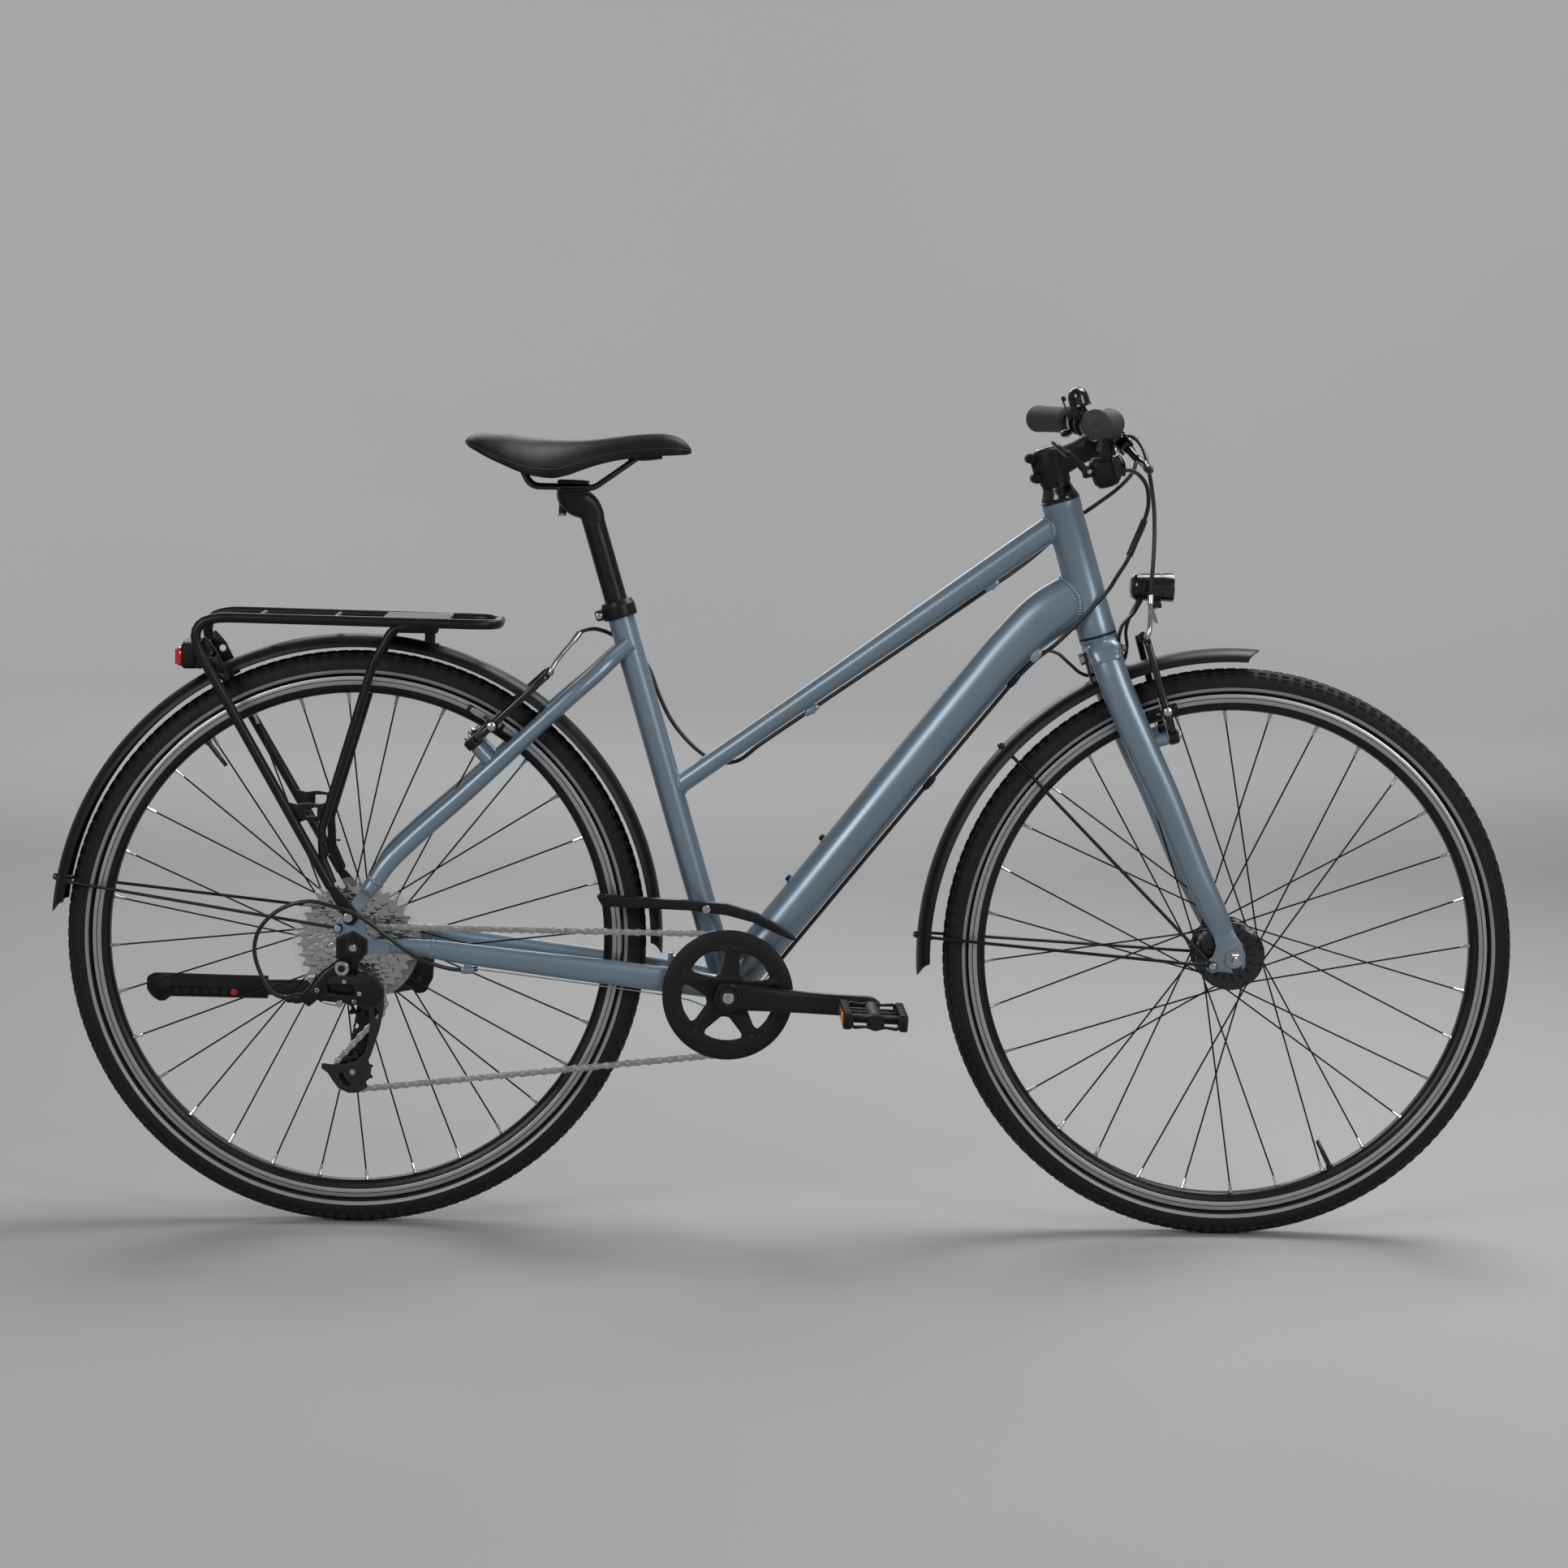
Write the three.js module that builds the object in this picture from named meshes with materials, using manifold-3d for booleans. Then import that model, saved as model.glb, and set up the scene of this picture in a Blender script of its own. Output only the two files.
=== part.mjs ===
// Step-through city bicycle with mudguards, rack, lamps and a kickstand.
// Millimetres. X points forward, Y to the rider's left, Z up. The ground is Z = 0.
// Frame measures start at the rear axle; the finished bicycle is centred on its own box.

import * as THREE from 'three';
import { mergeVertices } from 'three/addons/utils/BufferGeometryUtils.js';
import Module from 'manifold-3d';

const wasm = await Module();
wasm.setup();

// Driving sizes

const gap = 0.3;                 // clearance between two pieces that touch

const rimRadius = 319;           // edge of a 622 rim
const rimDepth = 21.5;           // from the rim's edge to its spoke bed
const rimWidth = 24;
const tyreHeight = 30;           // 38 mm tyre, over the rim's edge
const tyreWidth = 38;
const wheelSides = 32;
const spokeCount = 32;
const spokeRadius = 1.1;
const axleRadius = 4.7;

const axleHeight = 349;          // height of the axles in the frame's own measures
const wheelbase = 1059;
const chainstayLength = 451.3;
const bottomBracketDrop = 54.5;
const headAngle = THREE.MathUtils.degToRad(72.8);
const seatAngle = THREE.MathUtils.degToRad(73);
const forkRake = 50;
const crownHeight = 420;         // along the steering axis, from the axle's foot
const headTubeLength = 167;
const headTubeRadius = 23.5;
const steererRadius = 14.3;
const crownFront = 20.5;         // half the crown's depth
const crownBolt = 396;           // bolt through the crown, for the lamp and the front mudguard
const crownBoltHole = 3.6;
const seatTubeLength = 488;
const seatTubeRadius = 15.9;
const seatPostRadius = 13.6;
const shellRadius = 21;
const shellWidth = 68;
const topTubeRear = 240;         // height of the top tube over the bottom bracket, at the seat tube
const topTubeDrop = 21;          // its axis meets the steering axis this far under the head tube's top
const topTubeThin = 23.5;
const topTubeThick = 31;
const downTubeThin = 50;
const downTubeThick = 56;
const downTubeFlare = 66;
const downTubeAim = 88.8;        // its straight run points this far over the crown, on the steering axis
const rearSpacing = 135;         // between the rear dropouts
const frontSpacing = 100;        // between the fork ends
const dropoutThickness = 5.8;

const crankLength = 170;
const crankDroop = THREE.MathUtils.degToRad(2);
const chainPitch = 12.7;
const ringTeeth = 36;
const cogTeeth = [11, 13, 15, 18, 21, 24, 28, 34];
const cogPitch = 4.8;
const pulleyTeeth = 11;
const ringPlane = -46;           // chainline of the chainring
const cogPlane = -62;            // plane of the smallest sprocket and of the pulleys
const guardRadius = 79;          // plain disc outside the chainring
const spindleRadius = 8;

const mudguardRise = 26;         // from the tyre's tread to the mudguard
const mudguardWidth = 50;
const mudguardDepth = 13;
const mudguardSkin = 2;

const barRadius = 11.1;
const barReach = 62;             // ahead of the steering axis
const stemRise = 55;             // bar over the head tube's top, along the steering axis
const barHalf = 305;             // half the bar's width over the grips
const gripLength = 128;
const gripRadius = 16.5;

// Places worked out from the driving sizes

const rimBed = rimRadius - rimDepth;
const wheelRadius = rimRadius + tyreHeight;
const mudguardRadius = wheelRadius + mudguardRise;
const bracketX = Math.sqrt(chainstayLength ** 2 - bottomBracketDrop ** 2);
const bracketZ = axleHeight - bottomBracketDrop;
const steerFootX = wheelbase - forkRake * Math.sin(headAngle);
const steerFootZ = axleHeight - forkRake * Math.cos(headAngle);
const headTop = crownHeight + headTubeLength;
const barHeight = headTop + stemRise;
const dropoutInner = rearSpacing / 2 + 0.2;
const dropoutOuter = dropoutInner + dropoutThickness;
const pitchRadius = (teeth) => chainPitch / (2 * Math.sin(Math.PI / teeth));

// A point given along the steering axis (s), ahead of it (p) and to the left (y).
function onSteer(p, y, s) {
  const x = steerFootX + p * Math.sin(headAngle) - s * Math.cos(headAngle);
  const z = steerFootZ + p * Math.cos(headAngle) + s * Math.sin(headAngle);
  return [x, y, z];
}

// A point on the seat tube axis, a length up from the bottom bracket.
function onSeat(length, y = 0, ahead = 0) {
  const x = bracketX - length * Math.cos(seatAngle) + ahead * Math.sin(seatAngle);
  const z = bracketZ + length * Math.sin(seatAngle) + ahead * Math.cos(seatAngle);
  return [x, y, z];
}

// Solids

function solid(geometry) {
  geometry.deleteAttribute('normal');
  geometry.deleteAttribute('uv');
  const merged = mergeVertices(geometry, 1e-4);
  const index = merged.index.array;
  const faces = [];
  for (let i = 0; i < index.length; i += 3) {
    const [a, b, c] = [index[i], index[i + 1], index[i + 2]];
    if (a !== b && b !== c && c !== a) faces.push(a, b, c);
  }
  const positions = new Float32Array(merged.attributes.position.array);
  const build = (triangles) => new wasm.Manifold(new wasm.Mesh({
    numProp: 3,
    vertProperties: positions,
    triVerts: new Uint32Array(triangles),
  }));
  const body = build(faces);
  if (body.volume() > 0) return body;
  const turned = [];
  for (let i = 0; i < faces.length; i += 3) turned.push(faces[i], faces[i + 2], faces[i + 1]);
  return build(turned);
}

const join = (...bodies) => bodies.reduce((all, body) => all.add(body));
const cut = (body, ...tools) => tools.reduce((left, tool) => left.subtract(tool), body);

// The largest piece that is left when a trim cuts a body through.
function largest(body) {
  const pieces = body.decompose();
  return pieces.reduce((best, piece) => (piece.volume() > best.volume() ? piece : best));
}

const mirrored = (body) => body.mirror([0, 1, 0]);
const moved = (body, x, y, z) => body.translate([x, y, z]);

const vector = ([x, y, z]) => new THREE.Vector3(x, y, z);

// Skins rows of points into a closed body. The rows close on themselves when looped.
function skin(rings, { looped = false, capFaces = null } = {}) {
  const count = rings[0].length;
  const positions = rings.flat().flatMap((point) => [point.x, point.y, point.z]);
  const index = [];
  const rows = looped ? rings.length : rings.length - 1;
  for (let row = 0; row < rows; row++) {
    const here = row * count;
    const there = ((row + 1) % rings.length) * count;
    for (let i = 0; i < count; i++) {
      const next = (i + 1) % count;
      index.push(here + i, here + next, there + i);
      index.push(here + next, there + next, there + i);
    }
  }
  if (!looped) {
    const cap = capFaces ?? Array.from({ length: count - 2 }, (_, i) => [0, i + 1, i + 2]);
    const last = (rings.length - 1) * count;
    for (const [a, b, c] of cap) {
      index.push(a, c, b);
      index.push(last + a, last + b, last + c);
    }
  }
  const geometry = new THREE.BufferGeometry();
  geometry.setAttribute('position', new THREE.Float32BufferAttribute(positions, 3));
  geometry.setIndex(index);
  return solid(geometry);
}

// Points round a unit section. Power 2 is an ellipse, a higher power is boxier.
function section(sides, power = 2) {
  return Array.from({ length: sides }, (_, i) => {
    const turn = (2 * Math.PI * (i + 0.5)) / sides;
    const a = Math.cos(turn);
    const b = Math.sin(turn);
    return [Math.sign(a) * Math.abs(a) ** (2 / power), Math.sign(b) * Math.abs(b) ** (2 / power)];
  });
}

function tangents(centres) {
  return centres.map((centre, i) => {
    const along = new THREE.Vector3();
    if (i > 0) along.add(centre.clone().sub(centres[i - 1]).normalize());
    if (i < centres.length - 1) along.add(centres[i + 1].clone().sub(centre).normalize());
    return along.normalize();
  });
}

// A body through stations [x, y, z, width, height]; width lies along the sideways direction.
function loft(stations, { sides = 16, power = 2, sideways = [0, 1, 0] } = {}) {
  const centres = stations.map(vector);
  const outline = section(sides, power);
  const along = tangents(centres);
  const rings = centres.map((centre, i) => {
    const side = vector(sideways);
    side.addScaledVector(along[i], -side.dot(along[i])).normalize();
    const upright = new THREE.Vector3().crossVectors(along[i], side);
    const [, , , wide, tall] = stations[i];
    return outline.map(([a, b]) => centre.clone()
      .addScaledVector(side, (a * wide) / 2)
      .addScaledVector(upright, (b * tall) / 2));
  });
  return skin(rings);
}

// A corner of a path swapped for an arc of a few short steps.
function roundCorners(points, bend, steps) {
  const path = [points[0]];
  for (let i = 1; i < points.length - 1; i++) {
    const before = points[i - 1].clone().sub(points[i]);
    const after = points[i + 1].clone().sub(points[i]);
    const reach = Math.min(
      bend / Math.tan(before.angleTo(after) / 2),
      before.length() * 0.48,
      after.length() * 0.48,
    );
    const start = points[i].clone().addScaledVector(before.normalize(), reach);
    const end = points[i].clone().addScaledVector(after.normalize(), reach);
    const curve = new THREE.QuadraticBezierCurve3(start, points[i], end);
    path.push(...curve.getPoints(steps));
  }
  path.push(points[points.length - 1]);
  return path;
}

// A round bar bent along a path, with its section carried along without twist.
function pipe(route, radius, { sides = 8, bend = 0, steps = 3 } = {}) {
  const points = route.map(vector);
  const centres = bend > 0 ? roundCorners(points, bend, steps) : points;
  const along = tangents(centres);
  const start = Math.abs(along[0].y) < 0.8 ? new THREE.Vector3(0, 1, 0) : new THREE.Vector3(1, 0, 0);
  const side = start.addScaledVector(along[0], -start.dot(along[0])).normalize();
  const outline = section(sides);
  const rings = centres.map((centre, i) => {
    if (i > 0) {
      const turn = new THREE.Quaternion().setFromUnitVectors(along[i - 1], along[i]);
      side.applyQuaternion(turn);
    }
    const upright = new THREE.Vector3().crossVectors(along[i], side);
    return outline.map(([a, b]) => centre.clone()
      .addScaledVector(side, a * radius)
      .addScaledVector(upright, b * radius));
  });
  return skin(rings);
}

// A smooth cable through hand-chosen points.
function cable(route, radius, { sides = 8, steps = 40 } = {}) {
  const shape = new THREE.Shape(section(sides).map(([a, b]) => new THREE.Vector2(a * radius, b * radius)));
  const path = new THREE.CatmullRomCurve3(route.map(vector), false, 'centripetal');
  return solid(new THREE.ExtrudeGeometry(shape, { steps, bevelEnabled: false, extrudePath: path }));
}

// A turned body from a profile of [radius, distance along the axis].
function turned(profile, { from = [0, 0, 0], axis = [0, 1, 0], sides = 24 } = {}) {
  const points = profile.map(([radius, along]) => new THREE.Vector2(radius, along));
  points.push(points[0].clone());
  const geometry = new THREE.LatheGeometry(points, sides);
  const turn = new THREE.Quaternion().setFromUnitVectors(new THREE.Vector3(0, 1, 0), vector(axis).normalize());
  geometry.applyQuaternion(turn);
  geometry.translate(...from);
  return solid(geometry);
}

// A round bar from one point to another.
function rod(from, to, radius, { sides = 12, endRadius = radius } = {}) {
  const start = vector(from);
  const axis = vector(to).sub(start);
  const profile = [[0, 0], [radius, 0], [endRadius, axis.length()], [0, axis.length()]];
  return turned(profile, { from, axis: axis.toArray(), sides });
}

// A plate cut from a side-view outline of [x, z], between two places across the bicycle.
function plate(outline, yLow, yHigh, holes = []) {
  const points = outline.map(([x, z]) => new THREE.Vector2(x, z));
  if (THREE.ShapeUtils.isClockWise(points)) points.reverse();
  const shape = new THREE.Shape(points);
  shape.holes.push(...holes);
  const geometry = new THREE.ExtrudeGeometry(shape, {
    depth: yHigh - yLow,
    bevelEnabled: false,
    curveSegments: 8,
  });
  geometry.rotateX(Math.PI / 2);
  geometry.translate(0, yHigh, 0);
  return solid(geometry);
}

function roundHole(x, z, radius) {
  return new THREE.Path().absarc(x, z, radius, 0, 2 * Math.PI, true);
}

function squareHole(x, z, half) {
  return new THREE.Path([
    new THREE.Vector2(x - half, z - half), new THREE.Vector2(x - half, z + half),
    new THREE.Vector2(x + half, z + half), new THREE.Vector2(x + half, z - half),
  ]);
}

function block(x, y, z) {
  const geometry = new THREE.BoxGeometry(x[1] - x[0], y[1] - y[0], z[1] - z[0]);
  geometry.translate((x[0] + x[1]) / 2, (y[0] + y[1]) / 2, (z[0] + z[1]) / 2);
  return solid(geometry);
}

// A strip of constant section that follows an arc in side view.
function arcStrip(outline, centre, radius, fromAngle, toAngle, steps) {
  const rings = [];
  for (let i = 0; i <= steps; i++) {
    const angle = fromAngle + ((toAngle - fromAngle) * i) / steps;
    rings.push(outline.map(([across, out]) => new THREE.Vector3(
      centre[0] + (radius + out) * Math.cos(angle),
      across,
      centre[1] + (radius + out) * Math.sin(angle),
    )));
  }
  const flat = outline.map(([a, b]) => new THREE.Vector2(a, b));
  return skin(rings, { capFaces: THREE.ShapeUtils.triangulateShape(flat, []) });
}

// Finishes

const finish = (color, metalness, roughness) => new THREE.MeshStandardMaterial({ color, metalness, roughness });
const frameBlue = finish(0x5a6e7d, 0.55, 0.38);
const satinBlack = finish(0x1b1c1e, 0.25, 0.5);
const glossBlack = finish(0x0b0b0c, 0.1, 0.15);
const rubber = finish(0x17181a, 0, 0.85);
const silver = finish(0xb9bcc0, 0.95, 0.25);
const redLens = finish(0x8c0f12, 0, 0.2);

// The scene graph. Pieces that steer share one leaning group, and each wheel has its own.

const bicycle = new THREE.Group();
const frame = new THREE.Group();
frame.position.z = wheelRadius - axleHeight;
bicycle.add(frame);

const rearWheel = new THREE.Group();
rearWheel.position.set(0, 0, axleHeight);
frame.add(rearWheel);

const crankset = new THREE.Group();
crankset.position.set(bracketX, 0, bracketZ);
frame.add(crankset);

const steering = new THREE.Group();
steering.position.set(steerFootX, 0, steerFootZ);
steering.rotation.y = headAngle - Math.PI / 2;
frame.add(steering);

const frontWheel = new THREE.Group();
frontWheel.position.set(forkRake, 0, 0);
frontWheel.rotation.y = Math.PI / 2 - headAngle;
steering.add(frontWheel);

function part(name, body, material, group = frame) {
  const mesh = body.simplify(0.05).getMesh();
  const geometry = new THREE.BufferGeometry();
  geometry.setAttribute('position', new THREE.BufferAttribute(mesh.vertProperties, 3));
  geometry.setIndex(new THREE.BufferAttribute(mesh.triVerts, 1));
  geometry.computeVertexNormals();
  const piece = new THREE.Mesh(geometry, material);
  piece.name = name;
  group.add(piece);
  return piece;
}

// Rim brakes. Their arms turn on studs: the front ones in steering coordinates, the rear
// ones in a frame of their own whose Z runs up the seat stay and whose X is ahead and down.

const brakeHubHalf = 5.7;
const brakeStud = 4;
const frontBrake = {
  at: 51.5,
  half: 41,
  foot: 280,
  padAt: [43, 311.2],
  padLean: THREE.MathUtils.degToRad(0.8),
};
const rearBrake = {
  at: -38,
  half: 44,
  foot: 0,
  padAt: [-48.8, 30.2],
  padLean: THREE.MathUtils.degToRad(17.5),
};

// Two stations of the left seat stay, and the rear brakes' feet on the straight run between them.
const stayLower = [127, 51, 531.5];
const stayUpper = [227, 38, 626];
const rearBrakeShare = 0.355;
const alongStay = (axis) => stayLower[axis] + rearBrakeShare * (stayUpper[axis] - stayLower[axis]);
const rearBrakeFoot = [alongStay(0), alongStay(2)];
const rearBrakeTurn = Math.PI / 2 - Math.atan2(stayUpper[2] - stayLower[2], stayUpper[0] - stayLower[0]);

// A stud from the frame out to its own cap.
function brakeStand(root, { at, half, foot }) {
  const side = Math.sign(at);
  const face = at - side * (brakeHubHalf + gap);
  const cap = at + side * (brakeHubHalf + gap);
  return join(
    rod([root, half, foot], [face, half, foot], 8, { sides: 8 }),
    rod([face - side, half, foot], [cap + side * 4, half, foot], brakeStud, { sides: 6 }),
    rod([cap, half, foot], [cap + side * 4, half, foot], 7, { sides: 6 }),
  );
}

function rearBrakeBoss() {
  const lean = THREE.MathUtils.radToDeg(rearBrakeTurn);
  return moved(brakeStand(-6, rearBrake).rotate([0, lean, 0]), rearBrakeFoot[0], 0, rearBrakeFoot[1]);
}

// Frame tubes

const seatFoot = [bracketX, 0, bracketZ];
const seatAxis = [-Math.cos(seatAngle), 0, Math.sin(seatAngle)];
const steerAxis = [-Math.cos(headAngle), 0, Math.sin(headAngle)];
const postBore = seatPostRadius + 0.55;
const seatBoreDepth = 250;

function shellBody(grow) {
  const half = shellWidth / 2 + grow;
  return rod([bracketX, -half, bracketZ], [bracketX, half, bracketZ], shellRadius + grow, { sides: 24 });
}

function seatTubeBody(grow) {
  return rod(seatFoot, onSeat(seatTubeLength + grow), seatTubeRadius + grow, { sides: 24 });
}

const headFoot = onSteer(0, 0, crownHeight - 5);
const headKeep = rod(headFoot, onSteer(0, 0, headTop + 5), headTubeRadius + gap, { sides: 24 });
const seatKeep = seatTubeBody(gap);
const shellKeep = shellBody(gap);

function makeHeadTube() {
  const bore = steererRadius + 0.7;
  return turned([
    [bore, 0], [headTubeRadius, 0], [headTubeRadius, headTubeLength], [bore, headTubeLength],
  ], { from: onSteer(0, 0, crownHeight), axis: steerAxis });
}

function makeSeatTube() {
  const bore = rod(onSeat(seatTubeLength - seatBoreDepth), onSeat(seatTubeLength + 5), postBore, { sides: 24 });
  const across = (y) => [bracketX, y, bracketZ];
  const shellBore = rod(across(-shellWidth), across(shellWidth), spindleRadius + 0.6);
  return cut(join(seatTubeBody(0), shellBody(0)), bore, shellBore);
}

const topTubeFoot = onSeat(topTubeRear / Math.sin(seatAngle));
const topTubeHead = onSteer(0, 0, headTop - topTubeDrop);
const topTubeRise = (topTubeHead[2] - topTubeFoot[2]) / (topTubeHead[0] - topTubeFoot[0]);

function alongTopTube(x) {
  return [x, 0, topTubeFoot[2] + topTubeRise * (x - topTubeFoot[0])];
}

function makeTopTube() {
  const [rear] = topTubeFoot;
  const [front] = topTubeHead;
  const body = loft([
    [...alongTopTube(rear), topTubeThin, topTubeThin],
    [...alongTopTube(rear + 120), topTubeThin, topTubeThin],
    [...alongTopTube(front - 40), topTubeThick, topTubeThick],
    [...alongTopTube(front), topTubeThick, topTubeThick],
  ], { sides: 16 });
  return cut(body, headKeep, seatKeep);
}

const downTubeHead = onSteer(0, 0, crownHeight + downTubeAim);
const downTubeSlope = Math.atan2(downTubeHead[2] - bracketZ, downTubeHead[0] - bracketX);
const downTubeLength = Math.hypot(downTubeHead[2] - bracketZ, downTubeHead[0] - bracketX);
const downTubeWidth = 44;

// A point a length up the straight run of the down tube, and a distance under it.
function alongDownTube(length, under = 0, y = 0) {
  const x = bracketX + length * Math.cos(downTubeSlope) + under * Math.sin(downTubeSlope);
  const z = bracketZ + length * Math.sin(downTubeSlope) - under * Math.cos(downTubeSlope);
  return [x, y, z];
}

function bottleBoss(length) {
  const low = alongDownTube(length, 4 - downTubeThin / 2);
  const high = alongDownTube(length, -7 - downTubeThick / 2);
  return rod(low, high, 4.5, { sides: 8 });
}

function makeDownTube() {
  const body = loft([
    [...alongDownTube(10), downTubeThin, downTubeThin],
    [...alongDownTube(200), downTubeThin, downTubeThin + 1],
    [...alongDownTube(downTubeLength - 188), downTubeWidth + 3, downTubeThick - 2],
    [...alongDownTube(downTubeLength - 123, 2), downTubeWidth, downTubeThick],
    [...alongDownTube(downTubeLength - 73, 10), downTubeWidth, downTubeFlare - 4],
    [...onSteer(0, 0, crownHeight + 51), downTubeWidth - 2, downTubeFlare],
  ], { sides: 16 });
  const bosses = [bottleBoss(152), bottleBoss(216)];
  return largest(cut(join(body, ...bosses), headKeep, seatKeep, shellKeep));
}

// The end plate that carries the rear axle, seen from the side.
const stayEndAxis = new THREE.Vector2(0.53, 0.85).normalize();
const stayEnd = [8, 404.6];
const stayEndHalf = 11;
const dropoutOutline = [
  [stayEnd[0] - stayEndHalf * stayEndAxis.y, stayEnd[1] + stayEndHalf * stayEndAxis.x],
  [-22, 390], [-28, 376], [-24, 364], [-19, 350], [-15, 338], [-8, 333], [12, 333],
  [24, 338], [44, 341], [44, 361], [26, 366], [18, 378],
  [stayEnd[0] + stayEndHalf * stayEndAxis.y, stayEnd[1] - stayEndHalf * stayEndAxis.x],
];

function chainstayBody(grow) {
  const g = 2 * grow;
  return loft([
    [432, 27, 301, 17 + g, 30 + g],
    [398, 30, 306, 17 + g, 31 + g],
    [350, 35, 312, 17 + g, 31 + g],
    [198, 50, 331, 17 + g, 27 + g],
    [110, 59, 343, 15 + g, 23 + g],
    [84, 62.5, 347, 12 + g, 20 + g],
    [60, 67, 349.5, 8 + g, 17 + g],
    [38, 70.6, 351, 5.4 + g, 20 + g],
  ], { sides: 10, power: 2.4 });
}

function makeChainstay() {
  const hole = roundHole(0, axleHeight, axleRadius + 0.5);
  const end = plate(dropoutOutline, dropoutInner, dropoutOuter, [hole]);
  return cut(join(chainstayBody(0), end), shellKeep, seatKeep);
}

// Bar between the chainstays, with a tab that stands behind the mudguard's front end.
function makeChainstayBridge() {
  const bar = rod([384, -29, 318], [384, 29, 318], 5, { sides: 10 });
  const tab = block([mudguardRadius + 0.5, 382], [-9, 9], [316, 338]);
  return join(cut(bar, mirrored(chainstayBody(gap))), tab);
}

function makeSeatstay() {
  const [endX, endZ] = stayEnd;
  const lift = gap + 0.1;
  const body = loft([
    [322, 11.5, 714, 18, 20],
    [300, 16, 694, 18, 20],
    [283, 23, 677, 20, 20],
    [255, 33, 652, 21, 20],
    [...stayUpper, 21, 20],
    [...stayLower, 21, 22],
    [63, 60, 473, 20, 22],
    [35, 66, 445, 14, 22],
    [endX + 16 * stayEndAxis.x, 69.6, endZ + 16 * stayEndAxis.y, 8, 22],
    [endX + lift * stayEndAxis.x, 70.6, endZ + lift * stayEndAxis.y, 5.6, 22],
  ], { sides: 10 });
  return join(cut(body, seatKeep), rearBrakeBoss());
}

part('head_tube', makeHeadTube(), frameBlue);
part('seat_tube', makeSeatTube(), frameBlue);
part('top_tube', makeTopTube(), frameBlue);
part('down_tube', makeDownTube(), frameBlue);
part('chainstay_left', largest(join(makeChainstay(), makeChainstayBridge())), frameBlue);
part('chainstay_right', mirrored(makeChainstay()), frameBlue);
part('seatstay_left', makeSeatstay(), frameBlue);
part('seatstay_right', mirrored(makeSeatstay()), frameBlue);

const clampLength = 18;
const clampWall = 4.6;

function makeSeatClamp() {
  const inner = seatTubeRadius + gap;
  const lip = seatPostRadius + 0.6;
  const top = clampLength + 3;
  const outer = inner + clampWall;
  const ring = turned([
    [inner, 0], [outer, 0], [outer, top], [lip, top], [lip, clampLength + gap], [inner, clampLength + gap],
  ], { from: onSeat(seatTubeLength - clampLength), axis: seatAxis });
  const ear = 9;
  const middle = seatTubeLength - clampLength / 2;
  const ears = loft([
    [...onSeat(middle, -ear, -outer - 3), 12, 14],
    [...onSeat(middle, ear, -outer - 3), 12, 14],
  ], { sides: 12, power: 4, sideways: [Math.sin(seatAngle), 0, Math.cos(seatAngle)] });
  const bolt = rod(onSeat(middle, -ear - 3, -outer - 4), onSeat(middle, ear + 3, -outer - 4), 3.6);
  const keep = rod(onSeat(middle - 20), onSeat(middle + 20), inner, { sides: 24 });
  return join(ring, cut(join(ears, bolt), keep));
}

part('seat_clamp', makeSeatClamp(), satinBlack);

// Seat post and saddle

const postInsertion = 130;
const railSpread = 22;
const railRadius = 3.5;
const railHeight = 899;
const postTop = (railHeight - bracketZ) / Math.sin(seatAngle) - 18;
const clampX = onSeat(postTop)[0] - 17.5;

function makeSeatPost() {
  const post = rod(onSeat(seatTubeLength - postInsertion), onSeat(postTop), seatPostRadius, { sides: 24 });
  const neck = loft([
    [...onSeat(postTop - 22), 25, 26],
    [...onSeat(postTop - 8, 0, -3), 26, 32],
    [clampX, 0, railHeight - 14, 40, 38],
    [clampX, 0, railHeight - railRadius - gap, 50, 40],
  ], { sides: 12, power: 3 });
  const inner = railSpread - railRadius - gap;
  const core = block([clampX - 17, clampX + 17], [-inner, inner], [railHeight - 9, railHeight + 4]);
  const cap = block(
    [clampX - 18, clampX + 18],
    [-railSpread - 4, railSpread + 4],
    [railHeight + railRadius + gap, railHeight + railRadius + 4],
  );
  const bolt = rod([clampX - 14, 0, railHeight - 34], [clampX - 14, 0, railHeight - 9], 4.5);
  return join(post, neck, core, cap, bolt);
}

// The saddle is drawn from the middle of its rails' clamp.
function saddleRail() {
  return pipe([
    [-65, railSpread + 6, 27],
    [-51, railSpread, 0],
    [25, railSpread, 0],
    [77, 13, 37],
  ], railRadius, { bend: 18, sides: 6, steps: 2 });
}

function makeSaddle() {
  const shell = loft([
    [-128, 0, 51, 70, 8],
    [-121, 0, 52, 118, 22],
    [-101, 0, 48.5, 152, 32],
    [-73, 0, 44, 165, 40],
    [-46, 0, 40, 148, 40],
    [-19, 0, 39, 112, 40],
    [11, 0, 41, 78, 34],
    [49, 0, 47, 54, 28],
    [94, 0, 50, 46, 31],
    [125, 0, 52, 42, 26],
    [138, 0, 50, 32, 18],
    [142.5, 0, 48, 16, 8],
  ], { sides: 12, power: 2.3 });
  const rail = saddleRail();
  return moved(join(shell, rail, mirrored(rail)), clampX, 0, railHeight);
}

part('seatpost', makeSeatPost(), satinBlack);
part('saddle', makeSaddle(), satinBlack);

// Wheels

function makeTyre() {
  const half = tyreWidth / 2;
  const side = [[rimRadius + gap, rimWidth / 2 - 6], [rimRadius + 12, half], [wheelRadius - 6, half - 5]];
  const other = side.map(([r, y]) => [r, -y]).reverse();
  return turned([...side, [wheelRadius, 0], ...other], { sides: wheelSides });
}

function makeRim() {
  const half = rimWidth / 2;
  const side = [[rimBed, half - 5], [rimBed + 10, half], [rimRadius, half]];
  return turned([...side, ...side.map(([r, y]) => [r, -y]).reverse()], { sides: wheelSides });
}

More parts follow.
